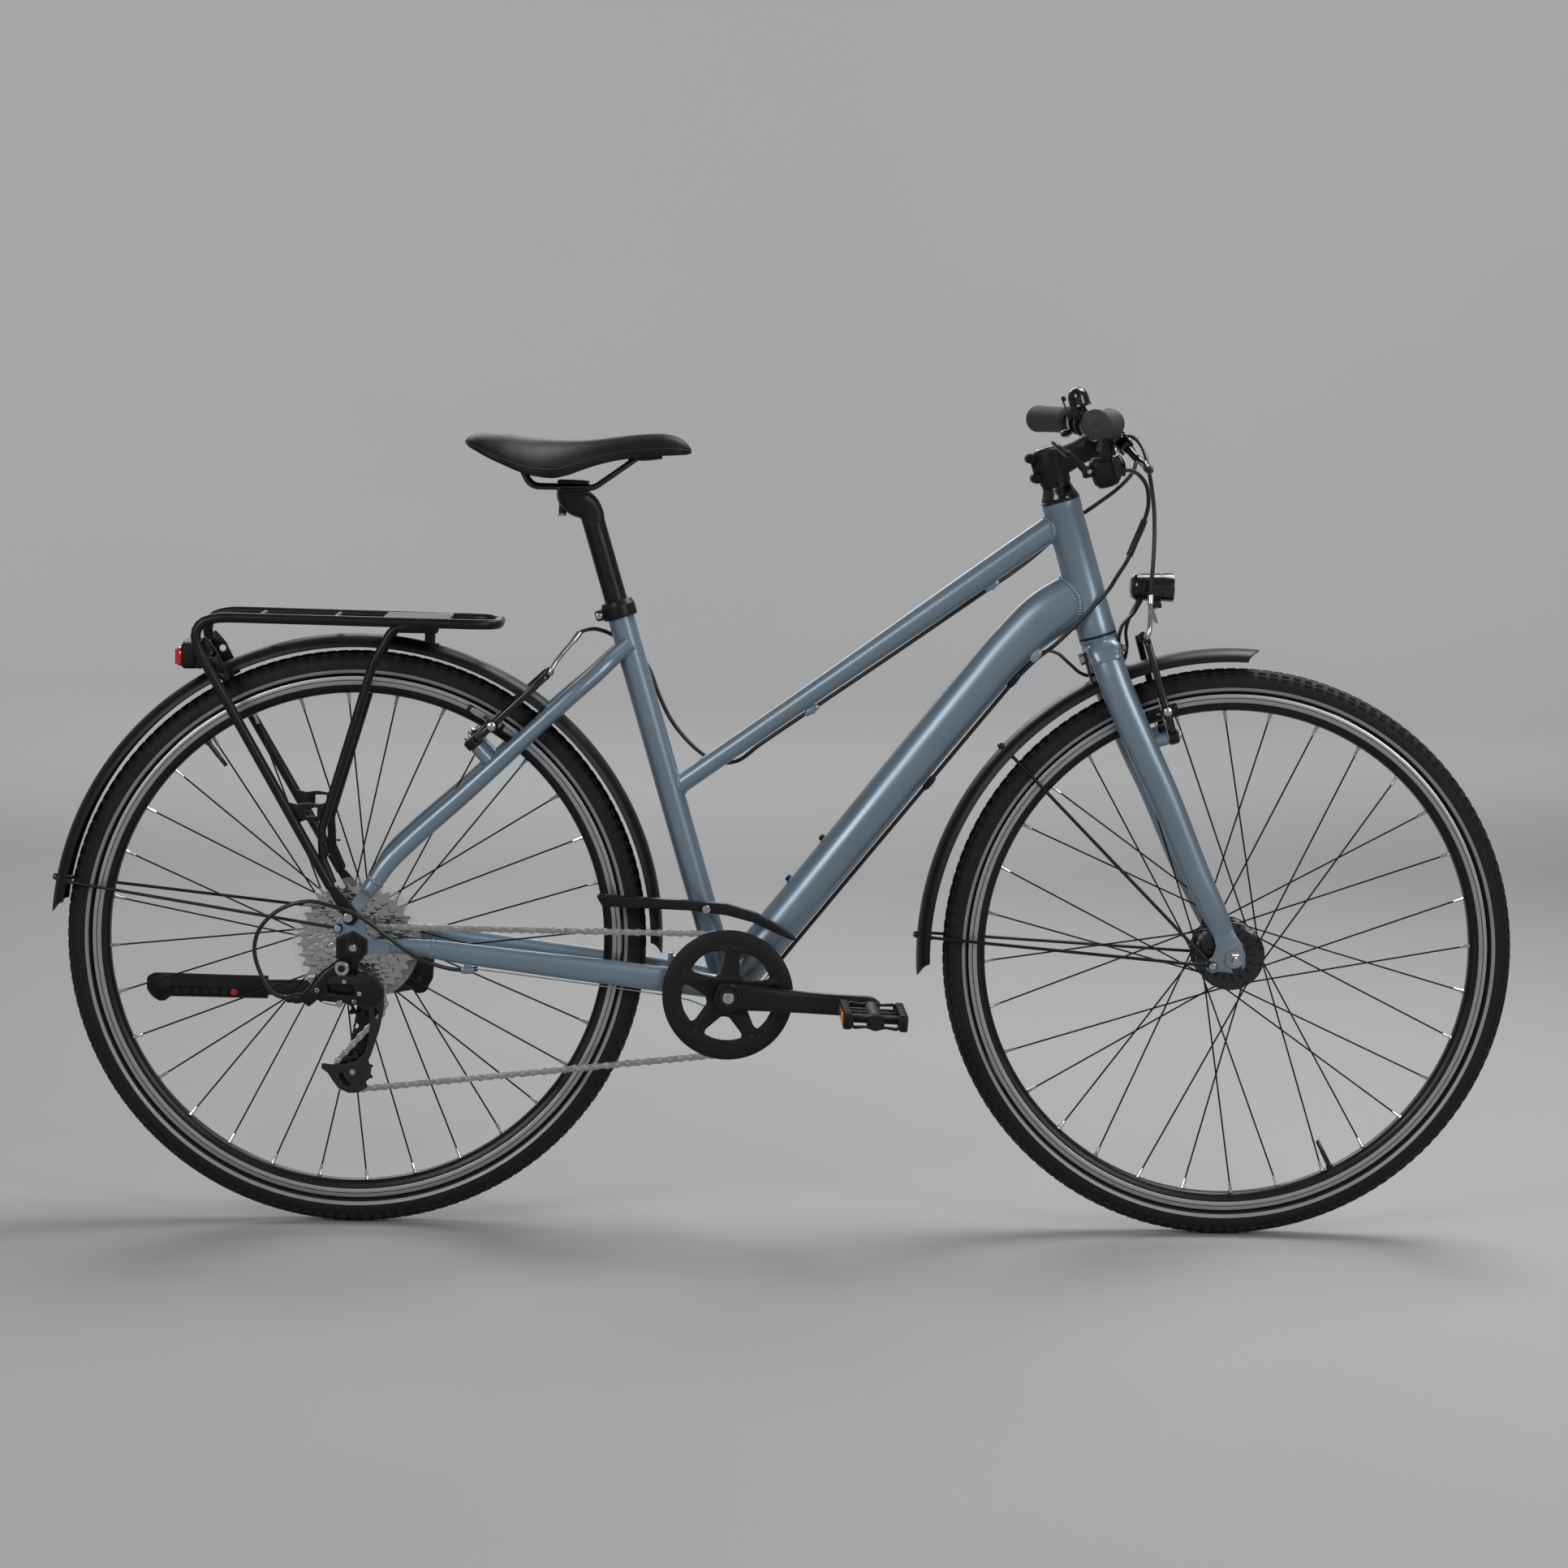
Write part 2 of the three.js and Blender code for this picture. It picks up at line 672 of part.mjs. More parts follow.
// Spokes leave each flange at a slant and end just inside the spoke bed.
function makeSpokes(rightFlange, leftFlange) {
  const end = rimBed * Math.cos(Math.PI / wheelSides) - gap;
  const lean = THREE.MathUtils.degToRad(62);
  const spokes = [];
  for (let i = 0; i < spokeCount; i++) {
    const rimAngle = (2 * Math.PI * (i + 0.25)) / spokeCount;
    const flange = i % 2 ? leftFlange : rightFlange;
    const hubAngle = rimAngle + (Math.floor(i / 2) % 2 ? lean : -lean);
    const weave = Math.floor(i / 2) % 2 ? 1.6 : -1.6;
    const from = [flange.radius * Math.cos(hubAngle), flange.y + weave, flange.radius * Math.sin(hubAngle)];
    const to = [end * Math.cos(rimAngle), Math.sign(flange.y) * 3 + weave, end * Math.sin(rimAngle)];
    spokes.push(pipe([from, to], spokeRadius, { sides: 3 }));
  }
  return spokes;
}

const axleBore = axleRadius + 0.6;

function makeFrontHub() {
  const end = 44;
  const shell = turned([
    [axleBore, -end], [12, -end], [15, -33], [38, -29], [42, -24], [42, 24], [38, 29], [15, 33], [12, end],
    [axleBore, end],
  ], { sides: 16 });
  return join(shell, ...makeSpokes({ radius: 38, y: -26 }, { radius: 38, y: 26 }));
}

const rearHubRight = cogPlane + cogPitch * (cogTeeth.length - 1) + 2.2;
const protectorRadius = 77;
const rearHubLeft = 58;

function makeRearHub() {
  const disc = rearHubRight + 1.2;
  const shell = turned([
    [axleBore, rearHubRight], [protectorRadius, rearHubRight], [protectorRadius, disc],
    [24, disc], [24, disc + 5.5], [16, disc + 7], [16, 30], [24, 31.5], [24, 35.5], [13, 37],
    [13, rearHubLeft], [axleBore, rearHubLeft],
  ], { sides: 16 });
  return join(shell, ...makeSpokes({ radius: 21, y: disc + 3.5 }, { radius: 21, y: 33.5 }));
}

const nutRadius = 9.5;
const nutLength = 9;

// Threaded axle with its cone nuts inside the dropouts and its wheel nuts outside.
function makeAxle(inner, outer, hubRight, hubLeft) {
  const half = outer.left + nutLength + 4;
  const right = outer.right + nutLength + 4;
  const shaft = rod([0, -right, 0], [0, half, 0], axleRadius, { sides: 8 });
  const ring = (from, to, radius, sides) => rod([0, from, 0], [0, to, 0], radius, { sides });
  return join(
    shaft,
    ring(-inner + gap, hubRight - gap, nutRadius - 1, 8),
    ring(hubLeft + gap, inner - gap, nutRadius - 1, 8),
    ring(-outer.right - gap - nutLength, -outer.right - gap, nutRadius, 6),
    ring(outer.left + gap, outer.left + gap + nutLength, nutRadius, 6),
  );
}

const hangerThickness = 4;
const cassetteOuter = cogPlane - 3;
const forkEndInner = frontSpacing / 2 + 0.2;
const forkEndOuter = forkEndInner + 6;

part('rear_tyre', makeTyre(), rubber, rearWheel);
part('rear_rim', makeRim(), satinBlack, rearWheel);
part('rear_hub', makeRearHub(), satinBlack, rearWheel);
part('rear_axle', makeAxle(
  dropoutInner,
  { left: dropoutOuter, right: dropoutOuter + gap + hangerThickness },
  cassetteOuter,
  rearHubLeft,
), silver, rearWheel);
part('front_tyre', makeTyre(), rubber, frontWheel);
part('front_rim', makeRim(), satinBlack, frontWheel);
part('front_hub', makeFrontHub(), satinBlack, frontWheel);
part('front_axle', makeAxle(
  forkEndInner,
  { left: forkEndOuter, right: forkEndOuter },
  -44,
  44,
), silver, frontWheel);

// Sprockets, chainring and cranks

function toothedDisc(teeth, thickness, middle, holeRadius, holes = []) {
  const pitch = pitchRadius(teeth);
  const outline = [];
  for (let i = 0; i < teeth; i++) {
    const point = (turn, radius) => {
      const angle = (2 * Math.PI * (i + turn)) / teeth;
      return [radius * Math.cos(angle), radius * Math.sin(angle)];
    };
    outline.push(point(0, pitch + 3.2), point(0.5, pitch - 3));
  }
  const cuts = [roundHole(0, 0, holeRadius), ...holes];
  return plate(outline, middle - thickness / 2, middle + thickness / 2, cuts);
}

const cogThickness = 1.8;

// The smallest sprocket stands free for the chain; the others step up as one block.
function makeCassette() {
  const inner = cogPlane + cogPitch * (cogTeeth.length - 1) + 1.8;
  const half = cogThickness / 2;
  const rim = (teeth) => pitchRadius(teeth) + 2.2;
  const profile = [
    [axleBore, cassetteOuter], [15, cassetteOuter], [18, cogPlane - half], [rim(cogTeeth[0]), cogPlane - half],
    [rim(cogTeeth[0]), cogPlane + half], [18, cogPlane + half],
  ];
  let radius = 18;
  cogTeeth.slice(1).forEach((teeth, i) => {
    const low = cogPlane + cogPitch * (i + 1) - half;
    profile.push([radius, low], [rim(teeth), low]);
    radius = rim(teeth);
  });
  profile.push([radius, inner], [axleBore, inner]);
  return turned(profile, { sides: 14 });
}

function makeChainring() {
  const outer = ringPlane - cogThickness / 2;
  const inner = ringPlane + cogThickness / 2;
  const face = ringPlane - 4.4;
  const tip = pitchRadius(ringTeeth) + 2.2;
  const ring = turned([
    [50, outer], [61, outer], [61, face], [66, face], [66, outer], [tip, outer], [tip, inner], [50, inner],
  ], { sides: 24 });
  const windows = [];
  const arms = 5;
  for (let i = 0; i < arms; i++) {
    const middle = (2 * Math.PI * (i + 0.7)) / arms;
    const corner = (turn, radius) => new THREE.Vector2(
      radius * Math.cos(middle + turn),
      radius * Math.sin(middle + turn),
    );
    const window = new THREE.Path();
    window.setFromPoints([
      corner(-0.42, 56), corner(0, 59), corner(0.42, 56), corner(0.46, 50), corner(0.2, 28),
      corner(-0.2, 28), corner(-0.46, 50),
    ]);
    windows.push(window);
  }
  const outline = Array.from({ length: 30 }, (_, i) => {
    const angle = (2 * Math.PI * i) / 30;
    return [guardRadius * Math.cos(angle), guardRadius * Math.sin(angle)];
  });
  const bore = roundHole(0, 0, spindleRadius + 8 + gap);
  const guard = plate(outline, ringPlane - 7.5, ringPlane - 4.2, [bore, ...windows]);
  return join(ring, guard);
}

const armRoot = -(ringPlane - 8);      // inner face of the right crank arm
const pedalMiddle = 150;
const pedalHalf = 46;
const armEnd = 92;
const crankSocket = 11;                // depth of the spindle in the left arm

// Crank arm along +X, from its boss to the pedal eye, on the side y > 0.
function crankArm(root) {
  const boss = rod([0, root, 0], [0, root + 24, 0], 17, { sides: 14 });
  const arm = loft([
    [0, root + 11, 0, 18, 30],
    [34, root + 13, 0, 16, 30],
    [120, armEnd - 10, 0, 14, 25],
    [crankLength, armEnd - 8, 0, 14, 25],
    [crankLength + 9, armEnd - 8, 0, 13, 18],
    [crankLength + 13, armEnd - 8, 0, 12, 8],
  ], { sides: 8, power: 4 });
  return join(boss, arm);
}

function pedalPin() {
  return rod([crankLength, armEnd - 4, 0], [crankLength, pedalMiddle + pedalHalf - 8, 0], 4.2, { sides: 10 });
}

function makeRightCrank() {
  const body = mirrored(join(crankArm(armRoot), pedalPin()));
  const spindle = rod([0, -armRoot - 4, 0], [0, armRoot + crankSocket - gap, 0], spindleRadius, { sides: 16 });
  const collar = rod([0, ringPlane + 2, 0], [0, -armRoot - 2, 0], spindleRadius + 8, { sides: 16 });
  const bolt = rod([0, -armRoot - 24, 0], [0, -armRoot - 26, 0], 7, { sides: 12 });
  return join(body, spindle, collar, bolt);
}

function makeLeftCrank() {
  const body = join(crankArm(armRoot), pedalPin());
  const socket = rod([0, armRoot - 6, 0], [0, armRoot + crankSocket, 0], spindleRadius + 0.5, { sides: 16 });
  const bolt = rod([0, armRoot + crankSocket, 0], [0, armRoot + 26, 0], 7, { sides: 12 });
  return join(cut(body, socket), bolt);
}

// Resin pedal: a bearing barrel in a frame with two tread bars. Centred on its own pin.
function makePedal() {
  const half = pedalHalf;
  const bore = 4.8;
  const barrel = rod([0, -half, 0], [0, half - 3, 0], 10.5, { sides: 8 });
  const bars = [-1, 1].map((side) => block([side * 33 - 5, side * 33 + 5], [-half, half], [-10, 10]));
  const cheeks = [-1, 1].map((side) => block([-33, 33], [side * half - 4, side * half + 4], [-8, 8]));
  const webs = block([-33, 33], [-6, 6], [-3.5, 3.5]);
  const tool = rod([0, -half - 10, 0], [0, half - 6, 0], bore, { sides: 8 });
  return cut(join(barrel, ...bars, ...cheeks, webs), tool);
}

function addPedal(name, parent, side) {
  const holder = new THREE.Group();
  holder.position.set(crankLength, side * pedalMiddle, 0);
  parent.add(holder);
  const body = makePedal();
  return part(name, side > 0 ? body : mirrored(body), satinBlack, holder);
}

const rightArm = new THREE.Group();
rightArm.rotation.y = crankDroop;
crankset.add(rightArm);
const leftArm = new THREE.Group();
leftArm.rotation.y = crankDroop + Math.PI;
crankset.add(leftArm);

part('cassette', makeCassette(), silver, rearWheel);
part('chainring', makeChainring(), satinBlack, rightArm);
part('crank_right', makeRightCrank(), satinBlack, rightArm);
part('crank_left', makeLeftCrank(), satinBlack, leftArm);
addPedal('pedal_right', rightArm, -1);
addPedal('pedal_left', leftArm, 1);

// Mudguards and their wire stays

const degrees = THREE.MathUtils.degToRad;
const wireRadius = 2;

function guardSection() {
  const half = mudguardWidth / 2;
  const inner = half - mudguardSkin;
  return [
    [-half, -mudguardDepth], [-inner, -mudguardDepth], [-half + 9, -mudguardSkin], [half - 9, -mudguardSkin],
    [inner, -mudguardDepth], [half, -mudguardDepth], [half - 8, 0], [-half + 8, 0],
  ];
}

const rearGuardSteps = 20;
const rearGuardStart = degrees(-2);
const rearGuardEnd = degrees(175);
const frontGuardStart = degrees(87);
const frontGuardEnd = degrees(183.5);
const frontGuardShift = -4;

function makeRearMudguard() {
  return arcStrip(guardSection(), [0, 0], mudguardRadius, rearGuardStart, rearGuardEnd, rearGuardSteps);
}

// The space of the rear mudguard and its clearance, for what stands on it.
function makeGuardKeep() {
  const half = mudguardWidth / 2 + gap;
  const outline = [[-half, -mudguardDepth], [half, -mudguardDepth], [half, gap], [-half, gap]];
  return moved(
    arcStrip(outline, [0, 0], mudguardRadius, rearGuardStart, rearGuardEnd, rearGuardSteps),
    0, 0, axleHeight,
  );
}

// A point of the steering frame, measured from the front axle.
function fromFrontAxle(ahead, y, up) {
  const [x, , z] = onSteer(ahead, y, up);
  return [x - wheelbase, y, z - axleHeight];
}

// The front mudguard has a tab that is bolted behind the fork crown.
function makeFrontMudguard() {
  const centre = [frontGuardShift, frontGuardShift];
  const guard = arcStrip(guardSection(), centre, mudguardRadius, frontGuardStart, frontGuardEnd, 11);
  const back = -crownFront - gap;
  const corner = (ahead, up) => {
    const [x, , z] = fromFrontAxle(ahead, 0, up);
    return [x, z];
  };
  const tabTop = crownBolt + 8;
  const tabLow = 365;
  const tab = plate([
    corner(back, tabTop), corner(back - 2.5, tabTop), corner(back - 2.5, tabLow - 0.5), corner(back, tabLow),
  ], -9, 9);
  const low = fromFrontAxle(back - 9, 0, crownBolt);
  const high = fromFrontAxle(back + 9, 0, crownBolt);
  const hole = rod(low, high, crownBoltHole, { sides: 6 });
  return join(guard, cut(tab, hole));
}

// A wire stay: out from an eyelet, round the back of the mudguard and home on the other side.
function wireStay(eyeX, eyeZ, eyeY, angle, centre = 0) {
  const out = mudguardRadius + wireRadius + gap + 0.2;
  const side = mudguardWidth / 2 + wireRadius + 1.2;
  const at = (radius, y) => [centre + radius * Math.cos(angle), y, centre + radius * Math.sin(angle)];
  return pipe([
    [eyeX, -eyeY, eyeZ], at(mudguardRadius - 20, -side), at(out, -side), at(out, side),
    at(mudguardRadius - 20, side), [eyeX, eyeY, eyeZ],
  ], wireRadius, { sides: 5, bend: 6, steps: 1 });
}

function eyelet(x, z, from, to) {
  const eye = rod([x, from, z], [x, to, z], 5, { sides: 10 });
  return join(eye, mirrored(eye));
}

const rearEye = [-19, 371 - axleHeight];
const eyeInner = dropoutOuter + gap;

function makeRearStays() {
  const middle = eyeInner + 3;
  return join(
    wireStay(rearEye[0], rearEye[1], middle, degrees(169.5)),
    eyelet(rearEye[0], rearEye[1], eyeInner, eyeInner + 7),
  );
}

const frontEye = [-27, -8];
const frontEyeInner = forkEndOuter + gap;

function makeFrontStays() {
  const middle = frontEyeInner + 3;
  return join(
    wireStay(frontEye[0], frontEye[1], middle, degrees(177), frontGuardShift),
    wireStay(frontEye[0], frontEye[1] + 1, middle, degrees(138), frontGuardShift),
    eyelet(frontEye[0], frontEye[1], frontEyeInner, frontEyeInner + 7),
  );
}

part('rear_mudguard', makeRearMudguard(), glossBlack, rearWheel);
part('rear_mudguard_stays', makeRearStays(), satinBlack, rearWheel);
part('front_mudguard', makeFrontMudguard(), glossBlack, frontWheel);
part('front_mudguard_stays', makeFrontStays(), satinBlack, frontWheel);

// Rack and tail lamp

const rackTube = 6;
const rackHeight = 739;
const rackHalf = 62;
const rackFoot = [-7, 384];
const rackFootY = dropoutOuter + gap + rackTube;
const rackPlateTop = rackHeight + 5;

function rackLeg() {
  return pipe([
    [84, rackHalf - 2, rackHeight - 2], [40, rackHalf - 1, rackHeight - 12], [18, rackHalf + 1, 686],
    [-40, rackHalf + 6, 488], [-38, rackHalf + 8, 452], [-26, rackHalf + 10, 424],
  ], rackTube - 0.8, { bend: 16, sides: 6, steps: 1 });
}

function rackSide() {
  const gusset = plate(
    [[-98, 546], [-22, 546], [-36, 506], [-70, 496]],
    rackHalf + 3, rackHalf + 6,
    [squareHole(-62, 528, 7)],
  );
  const [x, z] = rackFoot;
  const foot = rod([x, dropoutOuter + gap, z], [x, rackFootY + 5, z], 8, { sides: 6 });
  return join(rackLeg(), gusset, foot);
}

function makeRack() {
  const [footX, footZ] = rackFoot;
  const front = 165;
  const loop = pipe([
    [footX, -rackFootY, footZ], [-211, -rackHalf, rackHeight - 1], [front, -rackHalf + 2, rackHeight - 4],
    [front, rackHalf - 2, rackHeight - 4], [-211, rackHalf, rackHeight - 1], [footX, rackFootY, footZ],
  ], rackTube, { bend: 34, sides: 6, steps: 2 });
  const rungHeight = rackHeight - 1;
  const rungs = [-120, -30].map((x) => {
    return rod([x, -rackHalf, rungHeight], [x, rackHalf, rungHeight], 4, { sides: 6 });
  });
  const deck = block([28, 108], [-rackHalf, rackHalf], [rackHeight - 2, rackPlateTop]);
  const mount = block([50, 84], [-13, 13], [axleHeight + mudguardRadius - 14, rackHeight]);
  const lampBar = block([-190, -184], [-rackHalf - 1, rackHalf + 1], [676, 704]);
  const side = rackSide();
  return join(loop, side, mirrored(side), ...rungs, deck, cut(mount, makeGuardKeep()), lampBar);
}

function makeTailLight() {
  const body = loft([
    [-190 - gap, 0, 690, 88, 30], [-204, 0, 690, 92, 34], [-209, 0, 690, 92, 34],
  ], { sides: 12, power: 5 });
  const lens = loft([
    [-208, 0, 690, 84, 27], [-216, 0, 690, 80, 26], [-219, 0, 690, 66, 18],
  ], { sides: 12, power: 4 });
  return join(body, lens);
}

part('rear_rack', makeRack(), satinBlack);
part('tail_light', makeTailLight(), redLens);

// Chain: two rows of side plates on a belt path, tied by rollers on the free runs

const guidePulley = [15, 279];
const tensionPulley = [0, 196];

// The pitch line of a closed chain round wheels { x, z, radius, turn, y }, in order.
// Turn is 1 where the chain wraps counter-clockwise seen from the right side, else -1.
function beltPath(wheels, arcStep, hold) {
  const runs = wheels.map((wheel, i) => {
    const next = wheels[(i + 1) % wheels.length];
    const span = Math.hypot(next.x - wheel.x, next.z - wheel.z);
    const bearing = Math.atan2(next.z - wheel.z, next.x - wheel.x);
    const lean = bearing + Math.asin((wheel.turn * wheel.radius - next.turn * next.radius) / span);
    const outward = [Math.sin(lean), -Math.cos(lean)];
    const touch = (at) => [at.x + outward[0] * at.turn * at.radius, at.z + outward[1] * at.turn * at.radius];
    return { leave: touch(wheel), arrive: touch(next) };
  });
  const path = [];
  wheels.forEach((wheel, i) => {
    const arrive = runs[(i + wheels.length - 1) % wheels.length].arrive;
    const { leave, arrive: nextArrive } = runs[i];
    const next = wheels[(i + 1) % wheels.length];
    const from = Math.atan2(arrive[1] - wheel.z, arrive[0] - wheel.x);
    const to = Math.atan2(leave[1] - wheel.z, leave[0] - wheel.x);
    const full = 2 * Math.PI;
    const swept = wheel.turn > 0 ? (to - from + 2 * full) % full : -((from - to + 2 * full) % full);
    const steps = Math.max(2, Math.ceil(Math.abs(swept) / arcStep));
    for (let k = 0; k <= steps; k++) {
      const angle = from + (swept * k) / steps;
      path.push([wheel.x + wheel.radius * Math.cos(angle), wheel.y, wheel.z + wheel.radius * Math.sin(angle)]);
    }
    const run = Math.hypot(nextArrive[0] - leave[0], nextArrive[1] - leave[1]);
    if (run > 3 * hold) {
      const share = hold / run;
      const between = (t, axis) => leave[axis] + (nextArrive[axis] - leave[axis]) * t;
      const along = (t, y) => [between(t, 0), y, between(t, 1)];
      path.push(along(share, wheel.y), along(1 - share, next.y));
    }
  });
  return path;
}

const chainWheels = [
  { x: bracketX, z: bracketZ, radius: pitchRadius(ringTeeth), turn: 1, y: ringPlane },
  { x: 0, z: axleHeight, radius: pitchRadius(cogTeeth[0]), turn: 1, y: cogPlane },
  { x: guidePulley[0], z: guidePulley[1], radius: pitchRadius(pulleyTeeth), turn: -1, y: cogPlane },
  { x: tensionPulley[0], z: tensionPulley[1], radius: pitchRadius(pulleyTeeth), turn: 1, y: cogPlane },
];
const chainHold = 38;
const chainHalf = 3.9;
const plateInner = 1.7;
const plateOuter = 3.4;

// One row of side plates: a flat band that follows the pitch line at a distance across it.
function chainBand(path, near, far) {
  const rings = path.map(([x, y, z], i) => {
    const before = path[(i + path.length - 1) % path.length];
    const after = path[(i + 1) % path.length];
    const length = Math.hypot(after[0] - before[0], after[2] - before[2]);
    const [nx, nz] = [(after[2] - before[2]) / length, -(after[0] - before[0]) / length];
    const corner = (across, out) => new THREE.Vector3(x + nx * out, y + across, z + nz * out);
    return [corner(near, -chainHalf), corner(far, -chainHalf), corner(far, chainHalf), corner(near, chainHalf)];
  });
  return skin(rings, { looped: true });
}

// Pins stand only on the free runs, clear of every tooth.
function chainPins(path) {
  const pins = [];
  for (let i = 0; i < path.length; i++) {
    const from = path[i];
    const to = path[(i + 1) % path.length];
    const run = Math.hypot(to[0] - from[0], to[2] - from[2]);
    if (run < 3 * chainHold) continue;
    const count = Math.floor(run / (6 * chainPitch));
    for (let k = 0; k <= count; k++) {
      const [x, y, z] = [0, 1, 2].map((axis) => from[axis] + ((to[axis] - from[axis]) * k) / count);
      pins.push(rod([x, y - plateOuter + 0.2, z], [x, y + plateOuter - 0.2, z], 2.6, { sides: 4 }));
    }
  }
  return pins;
}

function makeChain() {
  const path = beltPath(chainWheels, degrees(30), chainHold);
  const bands = [chainBand(path, plateInner, plateOuter), chainBand(path, -plateOuter, -plateInner)];
  return join(...bands, ...chainPins(path));
}

part('chain', makeChain(), silver);

// Rear derailleur: hanger, body and cage, with two free pulleys

const cageInner = cogPlane + 4.6;
const cageOuter = cogPlane - 4.6;
const cagePlate = 1.8;
const pulleyBore = 3.3;
const hangerOuter = -dropoutOuter - gap;
const derailleurBolt = [-2, 323];

function pulleyPin([x, z]) {
  return rod([x, cageOuter - cagePlate, z], [x, cageInner + cagePlate, z], 2.5, { sides: 8 });
}

function makeDerailleur() {
  const hanger = plate(
    [[-21, 360], [-1, 367], [15, 356], [16, 342], [8, 330], [3, 314], [-8, 314], [-17, 334]],
    hangerOuter - hangerThickness, hangerOuter,
    [roundHole(0, axleHeight, axleRadius + 0.5)],
  );
  const [boltX, boltZ] = derailleurBolt;
  const bolt = rod([boltX, -96, boltZ], [boltX, hangerOuter - 2, boltZ], 9);
  const body = loft([
    [boltX, -87, boltZ, 17, 25],
    [-18, -89, 317, 20, 34],
    [-33, -89, 306, 20, 30],
    [-47, -87, 292, 16, 18],
  ], { sides: 6, power: 3 });
  const link = loft([
    [-30, -90, 306, 14, 34],
    [-6, -86, 304, 16, 38],
    [16, -80, 298, 18, 38],
    [34, -76, 292, 14, 32],
  ], { sides: 6, power: 3 });
  const knuckle = rod([24, -86, 291], [24, cageOuter - 1, 291], 16, { sides: 12 });
  const barrel = rod([-40, -88, 293], [-74, -84, 286], 6, { sides: 8, endRadius: 4.5 });
  const outerPlate = plate([
    [26, 297], [39, 288], [38, 270], [33, 248], [16, 216], [23, 199], [16, 178], [1, 171], [-17, 178],
    [-29, 195], [-37, 200], [-36, 207], [-21, 208], [-8, 222], [6, 262], [8, 288],
  ], cageOuter - cagePlate, cageOuter);
  const innerPlate = plate([
    [22, 292], [31, 282], [28, 250], [14, 216], [19, 198], [12, 182], [-1, 176], [-14, 183], [-20, 198],
    [-14, 212], [-4, 226], [2, 262], [5, 286],
  ], cageInner, cageInner + cagePlate);
  return join(
    hanger, bolt, body, link, knuckle, barrel, outerPlate, innerPlate,
    pulleyPin(guidePulley), pulleyPin(tensionPulley),
  );
}

function makePulley([x, z]) {
  const hub = turned([
    [pulleyBore, cageOuter + gap], [8, cageOuter + gap], [8, cageInner - gap], [pulleyBore, cageInner - gap],
  ], { sides: 8 });
  const wheel = toothedDisc(pulleyTeeth, cogThickness, cogPlane, 6);
  return moved(join(wheel, hub), x, 0, z);
}

part('derailleur', makeDerailleur(), satinBlack);
part('guide_pulley', makePulley(guidePulley), satinBlack);
part('tension_pulley', makePulley(tensionPulley), satinBlack);

// Chain guard bar

function makeChainGuard() {
  const outline = [
    [286, 414], [335, 411], [397, 408], [444, 405], [482, 394], [507, 380], [529, 365], [526, 361],
    [507, 369], [476, 383], [444, 391], [398, 396], [335, 398], [295, 399],
  ];
  const bar = plate(outline, -52, -40);
  const lug = loft([
    [426, -46, 400, 24, 12],
    [421, -30, 397, 24, 12],
    [417, -12, 396, 26, 12],
  ], { sides: 8, power: 5, sideways: [1, 0, 0] });
  const bolt = rod([420, -55, 397], [420, -50, 397], 5, { sides: 8 });
  return largest(cut(join(bar, lug, bolt), seatKeep));
}

part('chain_guard', makeChainGuard(), satinBlack);

// Kickstand under the left chainstay, folded up. Its pivot leans, so the leg swings out as it drops.

const standPivot = [71, 80, 285];
const standLean = degrees(17.2);
const standHub = 15;                   // length of the leg's hub along its pivot
const standPin = 4;

function onStandPivot(distance) {
  const [x, y, z] = standPivot;
  return [x, y + distance * Math.cos(standLean), z + distance * Math.sin(standLean)];
}

function makeStandBracket() {
  const outer = dropoutOuter + 1.2;
  const flange = plate([[40, 338], [95, 334], [90, 292], [80, 274], [60, 272], [48, 290]], 58, outer);
  const clamp = block([46, 92], [52, outer], [324, 362]);
  const boss = rod(onStandPivot(-16), onStandPivot(-gap), 13, { sides: 14 });
  const pin = rod(onStandPivot(-3), onStandPivot(standHub + 2), standPin);
  const behind = block([-60, 46], [40, 90], [300, 400]);
  return cut(join(flange, clamp, boss, pin), chainstayBody(gap), behind);
}

function makeStandLeg() {
  const [x, y, z] = onStandPivot(standHub / 2);
  const knuckle = rod(standPivot, onStandPivot(standHub), 15, { sides: 14 });
  const sideways = [0, Math.cos(standLean), Math.sin(standLean)];
  const blade = loft([
    [x - 2, y + 1.3, z - 2.5, standHub, 27],
    [30, y + 3, 278, standHub, 26],
    [-64, y + 5, 273.5, standHub, 26],
    [-66, y + 5, 273.5, standHub, 20],
    [-117, y + 5.5, 272, standHub, 20],
    [-119, y + 5.5, 272, standHub - 2, 15],
    [-232, y + 6, 268, standHub - 2, 15],
  ], { sides: 8, power: 3, sideways });
  const foot = loft([
    [-222, y + 6, 270, 20, 20],
    [-240, y + 6, 271, 24, 34],
    [-258, y + 6, 272, 24, 32],
    [-265, y + 6, 272, 16, 16],
  ], { sides: 8, power: 4, sideways });
  const bore = rod(onStandPivot(-10), onStandPivot(standHub + 10), standPin + 0.4);
  return cut(join(knuckle, blade, foot), bore);
}

part('kickstand_bracket', makeStandBracket(), satinBlack);
part('kickstand_leg', makeStandLeg(), satinBlack);

// Fork and headset, in steering coordinates: X ahead of the steering axis, Z up along it

const crownTop = crownHeight - gap;
const steererTop = barHeight - 2;

function forkLeg() {
  return loft([
    [0, 26, 392, 26, 38],
    [1, 38, 366, 29, 39],
    [12, 47.5, 275, 26, 38],
    [22.3, 50, 210, 25, 36],
    [33.3, 53, 115, 23, 33],
    [42, 54, 62, 18, 30],
    [47, 53.2, 30, 6, 26],
  ], { sides: 8 });
}

